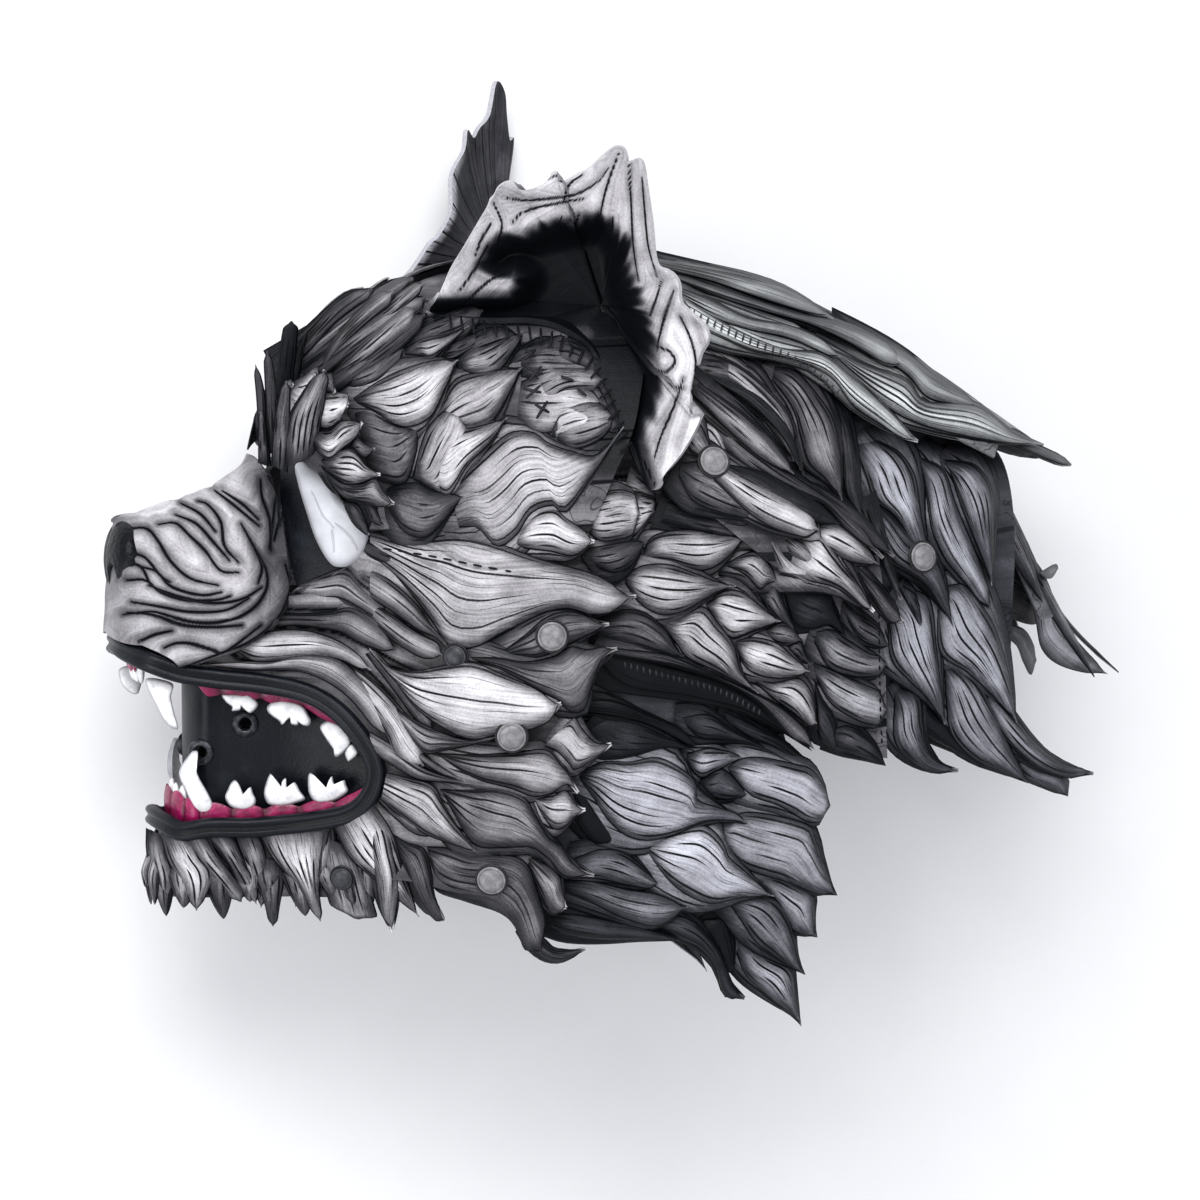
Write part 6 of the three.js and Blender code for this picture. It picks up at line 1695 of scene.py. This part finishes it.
def lip_height(upper):
    """How high the lip's edge lies at a place along X, on the upper or the lower jaw."""
    near = skin(*laid(LIP_LINE).T, 2.0)
    half = near[:9] if upper else near[9:][::-1]
    front = (-260, -36) if upper else (-240, -120)
    table = [front] + sorted((p[0], p[1]) for p in half)
    return lambda x: along(table, x)


GUM_SCALLOPS = 15
SCALLOP_DEPTH = 2.4


def make_gums():
    """Crimson strips inside the lips, scalloped round each tooth."""
    s, t = steps(320, 16)
    beat = np.abs(np.sin(np.pi * GUM_SCALLOPS * s))
    puff = 1.5 * np.sin(np.pi * t) ** 0.7 * (0.45 + 0.55 * beat ** 0.6)
    for name, jaw, reach in (("upper_gum", UPPER_ARCH, 0.82), ("lower_gum", LOWER_ARCH, 0.86)):
        upper = jaw is UPPER_ARCH
        lip = lip_height(upper)
        q = reach * (2 * s - 1)
        if upper:
            behind_fang = smooth(np.abs(q), 0.08, 0.12) * (1 - smooth(np.abs(q), 0.4, 0.46))
            top, bottom = 0, SCALLOP_DEPTH * (1 - beat) - 10.5 + 8 * behind_fang
        else:
            top, bottom = 9 - SCALLOP_DEPTH * (1 - beat) + 5 * np.exp(-(q / 0.4) ** 2), -3
        y = lip(arch(jaw, q, -90, 0)[..., 0]) + mix(top, bottom, t)
        grid = arch(jaw, q, y, puff - 5.2)
        cut = np.broadcast_to((1 - beat) ** 3, grid.shape[:2]) * 0.75
        grid, work = faced(grid, together(cut, 0, 0))
        piece = Piece()
        piece.slab(grid, NO_LOCK, PLAIN, work, thick=1.6, rim=0)
        place_piece(piece, name, "gum")


# Chin: a curtain of tufts round the lower jaw

def chin_surface(q, y, lift):
    return arch(LOWER_ARCH, q, y, lift + 4 * smooth(-136 - np.asarray(y, float), 0, 16) - 1)


TUFT = dict(puff=2.6, thick=2.0)


def tuft(piece, surface, root, tip, half, tone, lines, lifts=(0, 0), bow=0.0, fine=(10, 22), tint=0.0):
    """A pointed lock hung on a surface given in its own two measures."""
    across, run = fine
    t = np.linspace(0, 1, run + 1)
    a = np.linspace(-1, 1, across + 1)
    q = mix(root[0], tip[0], t) + bow * np.sin(np.pi * t)
    y = mix(root[1], tip[1], t)
    lift = mix(lifts[0], lifts[1], t ** 1.4)
    here = surface(q, y, lift)
    out = surface(q, y, lift + 1) - here
    out /= np.linalg.norm(out, axis=1, keepdims=True)
    forward = np.gradient(here, axis=0)
    forward /= np.linalg.norm(forward, axis=1, keepdims=True)
    aside = np.cross(out, forward)
    wide = half * np.minimum(1, (t + 0.16) * 3) ** 0.6 * np.clip(1 - t ** 2.2, 0, 1) ** 0.8 + 0.15
    swell = np.minimum(TUFT["puff"], 0.5 * wide)[:, None] * ((1 - a * a) ** 0.7)[None, :]
    grid = here[:, None] + aside[:, None] * (wide[:, None] * a)[..., None] + out[:, None] * swell[..., None]
    grid, maps = faced(grid, together(a[None, :], t[:, None], wide[:, None]))
    piece.slab(grid, maps, (RANDOM.random(), tone, lines), (0, 0, tint), thick=TUFT["thick"])


def chin_place(uv, lift, _side):
    return arch_place(LOWER_ARCH, uv, lift + 1.5)


CHIN_ROWS = [
    dict(count=19, top=-140, tip=-166, half=8.0, lifts=(0, 0.5), tone=0.62, last=0.84),
    dict(count=14, top=-133, tip=-160, half=8.0, lifts=(1.5, 3), tone=0.8, last=0.1),
]


def make_chin():
    """The sheet of the chin, its drawn locks and its two rows of tufts."""
    piece = Piece()
    s, t = steps(120, 20)
    q = 0.86 * (2 * s - 1)
    grid, = faced(chin_surface(q, mix(-128 + np.abs(q), -160, t), 0))
    piece.slab(grid, plain_map(grid), (0.4, 0.35, BASE_LINES), (0, 0, 0), thick=BASE_THICK)
    for drawing in LOCKS["chin"]:
        add_lock(piece, drawing, place=chin_place)
    for row in CHIN_ROWS:
        for k in range(row["count"]):
            q0 = mix(-0.84, row["last"], (k + 0.5) / row["count"]) + 0.012 * math.sin(7.1 * k)
            end = row["tip"] + 5 * math.sin(k * 2.3)
            tone = row["tone"] + 0.12 * math.sin(3.7 * k)
            root = (q0, row["top"] + 2 * math.sin(5 * k))
            tuft(piece, chin_surface, root, (q0 * 1.05 + 0.02, end), row["half"], tone, 4, row["lifts"],
                 bow=0.012 * math.sin(4.1 * k))
    place_piece(piece, "chin", "fur_leather")


# Eyes, their dark sockets and the brow tufts

EYE_OUTLINE = [(295, 466), (303, 462), (313, 467), (328, 478), (340, 497), (355, 515), (368, 535), (364, 552),
               (355, 562), (343, 567), (330, 563), (316, 540), (305, 508), (298, 484)]
SOCKET_OUTLINE = [(285, 454), (321, 446), (365, 466), (401, 502), (397, 542), (373, 574), (337, 590),
                  (301, 590), (289, 554), (281, 506)]
BROW_PAD = [(281, 414), (305, 378), (337, 410), (357, 454), (341, 486), (309, 466), (289, 450)]
# Folds drawn on the eye, each a slight bump and a soft line of painted shade.
EYE_FOLDS = [[(312, 492), (322, 515), (334, 528)], [(336, 524), (350, 536), (358, 550)], [(332, 530), (334, 552)]]


def make_eyes():
    """The eyes, the sockets behind them and the brows over them, on both sides."""
    for name, side in (("left", 1), ("right", -1)):
        eye, socket, brow = Piece(), Piece(), Piece()

        def place(uv, lift):
            return head_place(uv, lift, side)
        outline_plate(eye, EYE_OUTLINE, place, 2.0, 5.0, 2.0, rings=24, around=140, cut=EYE_FOLDS)
        place_piece(eye, f"eye_{name}", "eye")
        outline_plate(socket, SOCKET_OUTLINE, place, -1.0, 0.0, 3.0, rings=8, around=80, dark_edge=False)
        place_piece(socket, f"eye_socket_{name}", "black_leather")
        outline_plate(brow, BROW_PAD, place, 15.0, 1.0, 3.0, rings=6, around=60, make=(0.3, 0.3, 0), dark_edge=False)
        add_region(brow, "brow", side)
        if side > 0:
            for k, drawing in enumerate(LOCKS["brow_bundle"]):
                height = 10 if k in (3, 4) else 50
                add_lock(brow, drawing, place=lambda uv, lift, _side: at_height(uv, height + lift))
        place_piece(brow, f"brow_{name}", "fur_leather")


# Ears: a deep scoop inside a pale carved rim

NEAR_EAR = [
    (430, 312, 62), (437, 298, 66), (450, 270, 72), (465, 245, 78), (480, 220, 84), (492, 200, 88), (500, 186, 90),
    (512, 182, 92), (522, 190, 92), (540, 186, 92), (557, 173, 93), (559, 182, 93), (572, 180, 94), (590, 168, 96),
    (610, 150, 98), (622, 147, 99), (628, 163, 101), (640, 159, 103), (645, 185, 106), (650, 220, 109),
    (655, 262, 113), (668, 272, 117), (678, 282, 118), (682, 305, 121), (708, 333, 126), (700, 355, 128),
    (692, 385, 129), (690, 415, 130), (700, 418, 131), (685, 448, 131), (668, 470, 131), (650, 490, 131),
    (632, 455, 124), (622, 430, 119), (612, 400, 114), (605, 372, 110), (590, 345, 105), (560, 325, 98),
    (530, 318, 90), (490, 318, 80), (455, 316, 72),
]
EAR_HOLLOW = [
    (487, 264), (500, 244), (538, 233), (586, 222), (608, 226), (622, 246), (627, 277), (632, 299), (641, 316),
    (648, 352), (654, 378), (650, 404), (643, 422), (641, 444), (655, 500), (625, 480), (600, 420), (585, 360),
    (560, 345), (520, 332), (470, 325), (425, 322), (436, 306), (454, 304), (511, 297), (525, 277), (515, 268),
    (498, 272),
]
EAR_CUTS = [[(410 + x / 2.27, 70 + y / 2.27) for x, y in line] for line in [
    [(215, 290), (260, 296), (320, 292), (380, 282), (430, 252), (450, 225)],
    [(235, 345), (260, 322), (330, 304), (400, 292)],
    [(432, 335), (448, 265), (475, 190)],
    [(498, 215), (503, 300), (508, 400), (520, 480)],
    [(528, 245), (534, 320), (542, 400), (562, 470)],
    [(555, 625), (590, 640), (603, 662), (582, 686), (555, 678)],
    [(560, 640), (578, 565), (600, 500)],
    [(615, 560), (638, 610), (650, 665), (640, 730)],
    [(555, 885), (572, 830), (600, 765), (622, 700)],
    [(528, 880), (545, 920), (555, 940)],
    [(190, 300), (210, 350), (200, 400), (215, 440)],
    [(115, 500), (150, 450), (180, 395)],
    [(130, 525), (180, 480), (225, 455)],
    [(270, 262), (300, 250), (335, 240)],
    [(300, 385), (306, 352)], [(330, 375), (345, 335)], [(370, 365), (385, 328)], [(415, 362), (430, 330)],
    [(460, 370), (462, 335)], [(350, 300), (362, 262), (392, 238)], [(585, 700), (600, 720), (625, 722)],
    [(545, 560), (560, 520), (572, 480)], [(150, 420), (165, 380), (185, 350)],
]]
FAR_EAR = [
    (415, 268, -66), (430, 245, -68), (440, 235, -70), (452, 210, -72), (453, 175, -76), (465, 150, -78),
    (468, 130, -80), (474, 138, -82), (480, 128, -84), (490, 115, -88), (497, 82, -92), (505, 92, -94),
    (507, 115, -96), (510, 140, -99), (514, 138, -102), (512, 160, -104), (505, 188, -106), (545, 234, -106),
    (573, 294, -109), (581, 354, -110), (589, 410, -110),
]
FAR_EAR_FOOT = [(621, 430), (565, 370), (501, 334), (456, 318)]


def inside(points, outline):
    """Distance in to the edge of a closed outline, negative outside it."""
    p = points.reshape(-1, 2)
    a = np.asarray(outline, float)
    b = np.roll(a, -1, axis=0)
    d = b - a
    rel = p[:, None] - a[None]
    t = np.clip(np.sum(rel * d, axis=2) / np.sum(d * d, axis=1), 0, 1)
    away = np.min(np.linalg.norm(rel - t[..., None] * d, axis=2), axis=1)
    cross = (a[None, :, 1] > p[:, None, 1]) != (b[None, :, 1] > p[:, None, 1])
    steep = d[None, :, 0] / np.where(d[None, :, 1] == 0, 1e-9, d[None, :, 1])
    at = a[None, :, 0] + (p[:, None, 1] - a[None, :, 1]) * steep
    odd = np.sum(cross & (p[:, None, 0] < at), axis=1) % 2 == 1
    return np.where(odd, away, -away).reshape(points.shape[:-1])


def make_near_ear():
    """The near ear, hollowed where its dark inside is drawn."""
    count = 480
    rim = curve([(x, y, 2 * z) for x, y, z in NEAR_EAR], count, closed=True)
    middle = np.array([600.0, 305.0, 2 * 92.0])
    r = np.linspace(0, 1, 100)[None, :]
    flat = rim[:, None] + (middle - rim)[:, None] * r[..., None]
    deep = inside(flat[..., :2], EAR_HOLLOW)
    hollow = smooth(deep, -12, 26)
    z = flat[..., 2] / 2 - 20 * hollow - 3 * smooth(r, 0, 0.2)
    ridge = np.exp(-((deep + 10) / 9) ** 2) * 2.2
    grid = at_height(drawn(flat[..., :2]), z + ridge)
    s = np.arange(count)[:, None] / count
    piece = Piece()
    ragged = deep + 3.5 * np.sin(s * 190) * np.sin(s * 61 + 1) + 3 * np.sin(s * 71 + 2)
    dark = smooth(ragged, -13, 7)
    depth, away = cut_field(seen(grid), EAR_CUTS, 0.28)
    grid = grid - np.array([0, 0, 1.0]) * (1.2 * np.exp(-away / 2.5) * (1 - dark))[..., None]
    # Painted shade darkens the leather close beside each carved cut; the dark inside the hollow is its paint.
    tone = mix(0.86 - 0.22 * np.exp(-away / 1.6), 0.04, dark) - 0.12 * np.exp(-((deep + 10) / 9) ** 2)
    flow = 0.5 * np.minimum(away, 30) + 0.15 * grid[..., 0]
    maps = together(flow / FAR_EDGE, 0.5 + 0.1 * np.sin(s * 6), FAR_EDGE)
    work = together(np.maximum(0.8 * dark, depth), 0, -0.6 * dark)
    add_ear_sheet(piece, 2.8, grid, maps, together(0.63, tone, 0), work)
    place_piece(piece, "ear_left", "fur_leather")


def add_ear_sheet(piece, thick, *sheet):
    """A cupped sheet with thickness, from the grid of an ear and its notes."""
    if np.sum(grid_normals(sheet[0], closed=True)[..., 2]) < 0:
        sheet = [v[::-1] for v in sheet]
    grid, maps, make, work = sheet
    back = (grid - grid_normals(grid, closed=True) * thick)[:, ::3]
    piece.add(grid, grid_faces(*grid.shape[:2], closed=True), maps, make, work)
    faces = grid_faces(*back.shape[:2], closed=True)[:, ::-1]
    piece.add(back, faces, maps[:, ::3], make[:, ::3], (0.25, 0, 0))
    wall = np.stack([grid[:, 0], back[:, 0]], axis=1)
    rim = np.repeat(work[:, 0], 2, axis=0)
    rim[:, 1] = 1 - np.minimum(1, 1.3 * rim[:, 0])
    piece.add(wall, grid_faces(len(wall), 2, closed=True)[:, ::-1], (0, 0.7, 50), (0.5, 0.9, 0), rim)


def make_far_ear():
    """The far ear, seen from its edge and back, standing on a foot on the crown."""
    edge = np.array(FAR_EAR, float)
    x, bend = on_skin(drawn(FAR_EAR_FOOT), 18.0)
    rim = np.concatenate([at_height(drawn(edge[:, :2]), edge[:, 2]), skin(x, bend, 18.0, -1)])
    rim = curve(rim, 320, closed=True)
    r = np.linspace(0, 1, 40)[None, :]
    grid = rim[:, None] + (rim.mean(axis=0) - rim)[:, None] * r[..., None]
    away = 2 * np.clip(inside(seen(grid), seen(rim)), 0, 99)
    left = smooth(-67.5 - seen(grid)[..., 0], -3, 10)
    grid[..., 2] -= 3 * smooth(away, 0, 14)
    tone = 0.34 + 0.55 * left * (1 - smooth(away, 2, 9))
    s = np.arange(len(rim))[:, None] / len(rim)
    piece = Piece()
    maps = together((2 * s - 1) * 0.9, 0.45 + 0.3 * r, 200)
    add_ear_sheet(piece, 2.6, grid, maps, together(0.83, tone, 70), together(0 * tone, 0, -0.4))
    place_piece(piece, "ear_right", "fur_leather")


# Nape

NAPE_TOP, NAPE_BOTTOM = 44, -34
NAPE_TINT = -0.4
NAPE_HORNS = [(-0.75, -60, 9, 4), (-0.3, -62, 9, 8), (0.15, -67, 12, 17), (0.6, -66, 9, 4)]


def nape_point(turn, y, extra):
    drop = (NAPE_TOP - y) / (NAPE_TOP - NAPE_BOTTOM)
    x = 166 + 28 * drop + (24 + 18 * drop + extra) * np.cos(turn)
    return together(x, y, (57 + extra) * np.sin(turn))


def make_nape():
    """The tail piece between the back manes, with its horns and tufts."""
    piece = Piece()
    s, t = steps(60, 24)
    grid, = faced(nape_point((2 * s - 1) * 1.1, mix(NAPE_TOP, NAPE_BOTTOM, t), 0.0))
    piece.slab(grid, plain_map(grid), (0.4, 0.45, BASE_LINES), (0, 0, NAPE_TINT), thick=BASE_THICK)
    for turn, end, half, flare in NAPE_HORNS:
        def surface(a, y, lift):
            fallen = np.clip((y + 4) / (end + 4), 0, 1.1)
            return nape_point(a, y, lift + flare * fallen ** 3)
        tuft(piece, surface, (turn, 0), (turn * 1.05, end), half, 0.6, 5, tint=NAPE_TINT, fine=(12, 28))
    for turn in np.linspace(-0.95, 0.95, 9):
        tip = (turn * 1.03, -18 - 10 * math.sin(9 * turn))
        tuft(piece, nape_point, (turn, 40), tip, 10, 0.5, 4, (0.5, 2.5), tint=NAPE_TINT, fine=(10, 24))
    for drawing in LOCKS["nape"]:
        def place(uv, lift, _side):
            fall = np.linspace(0, 1, uv.shape[0])[:, None]
            return at_height(uv, mix(45, -20, fall) + lift)
        add_lock(piece, drawing, place=place, tint=NAPE_TINT)
    place_piece(piece, "nape", "fur_leather")


# Snap caps: where each is drawn, and the lift of the leather under it

SNAPS = [
    ((-74.5, -51), 9.5, True), ((-26.5, -41), 16.5, False), ((-46.5, -91), 14.5, False),
    ((-56.5, -162.5), 14.5, False), ((-131, -161.5), 7, True), ((54, 46), 17, False), ((158, -1.5), 9.5, False),
]
# Its profile as shares of its size, heights in millimetres, and how dark each step is
SNAP_PROFILE = [
    (1.16, 0.6, 1), (1.14, 1.5, 1), (1.0, 1.6, 1), (1.02, 1.5, 0), (0.97, 2.2, 0), (0.9, 2.6, 0), (0.84, 2.3, 0.5),
    (0.79, 2.5, 0.2), (0.7, 3.0, 0), (0.45, 3.4, 0), (0.2, 3.55, 0), (0, 3.6, 0),
]
CENTRE_GAP = 0.01


def make_snaps():
    """The snap caps of the near side, each turned on the leather under it."""
    for k, (at, lift, black) in enumerate(SNAPS):
        x, bend = on_skin(np.array(at, float), lift)
        foot = skin(x, bend, lift + 1.3)
        out = skin(x, bend, lift + 2.3) - foot
        size = 5.5 if black else 7.0
        piece = Piece()
        profile = [(max(size * share, CENTRE_GAP), high, dark) for share, high, dark in SNAP_PROFILE]
        lathe(piece, foot - out, out, profile)
        place_piece(piece, f"snap_{k + 1}", "black_snap" if black else "snap_cap")


# Light and floor

def area_light(name, place, size, power):
    light = bpy.data.lights.new(name, "AREA")
    light.shape = "RECTANGLE"
    light.size, light.size_y = size
    light.energy = power
    lamp = bpy.data.objects.new(name, light)
    bpy.context.scene.collection.objects.link(lamp)
    lamp.location = Vector(place)
    lamp.rotation_euler = (Vector((0, 0, 0.08)) - lamp.location).to_track_quat("-Z", "Y").to_euler()


def make_studio():
    """Pale ground and soft light like those of the photograph."""
    world = bpy.data.worlds.new("soft white studio")
    bpy.context.scene.world = world
    world.use_nodes = True
    world.node_tree.nodes["Background"].inputs[0].default_value = (0.93, 0.95, 1.0, 1)
    world.node_tree.nodes["Background"].inputs[1].default_value = 0.75
    area_light("broad top light", (-0.5, 1.2, 1.6), (1.4, 1.0), 34)
    area_light("front fill", (-1.5, -0.4, 1.2), (1.0, 1.0), 12)
    floor = Material("pale paper floor")
    here = floor.here()
    fibre = floor.noise(here, 30, 4)
    fine = floor.noise(here, 600, 2)
    colour = floor.blend((0.86, 0.86, 0.87, 1), (0.9, 0.9, 0.91, 1), fibre)
    floor.finish(colour, 0.85 + (fine - 0.5) * 0.1, floor.bump(fine, 0.0002, 0.3))
    mesh = bpy.data.meshes.new("floor")
    mesh.from_pydata([(-4, -4, 0), (4, -4, 0), (4, 4, 0), (-4, 4, 0)], [], [(0, 1, 2, 3)])
    mesh.materials.append(floor.material)
    plane = bpy.data.objects.new("floor", mesh)
    bpy.context.scene.collection.objects.link(plane)
    bpy.context.scene.view_settings.view_transform = "Standard"


make_panels()
make_saddles()
make_muzzle()
make_nose()
make_lip_welt()
make_inner_muzzle()
make_teeth()
make_gums()
make_chin()
make_eyes()
make_near_ear()
make_far_ear()
make_nape()
make_snaps()
make_studio()
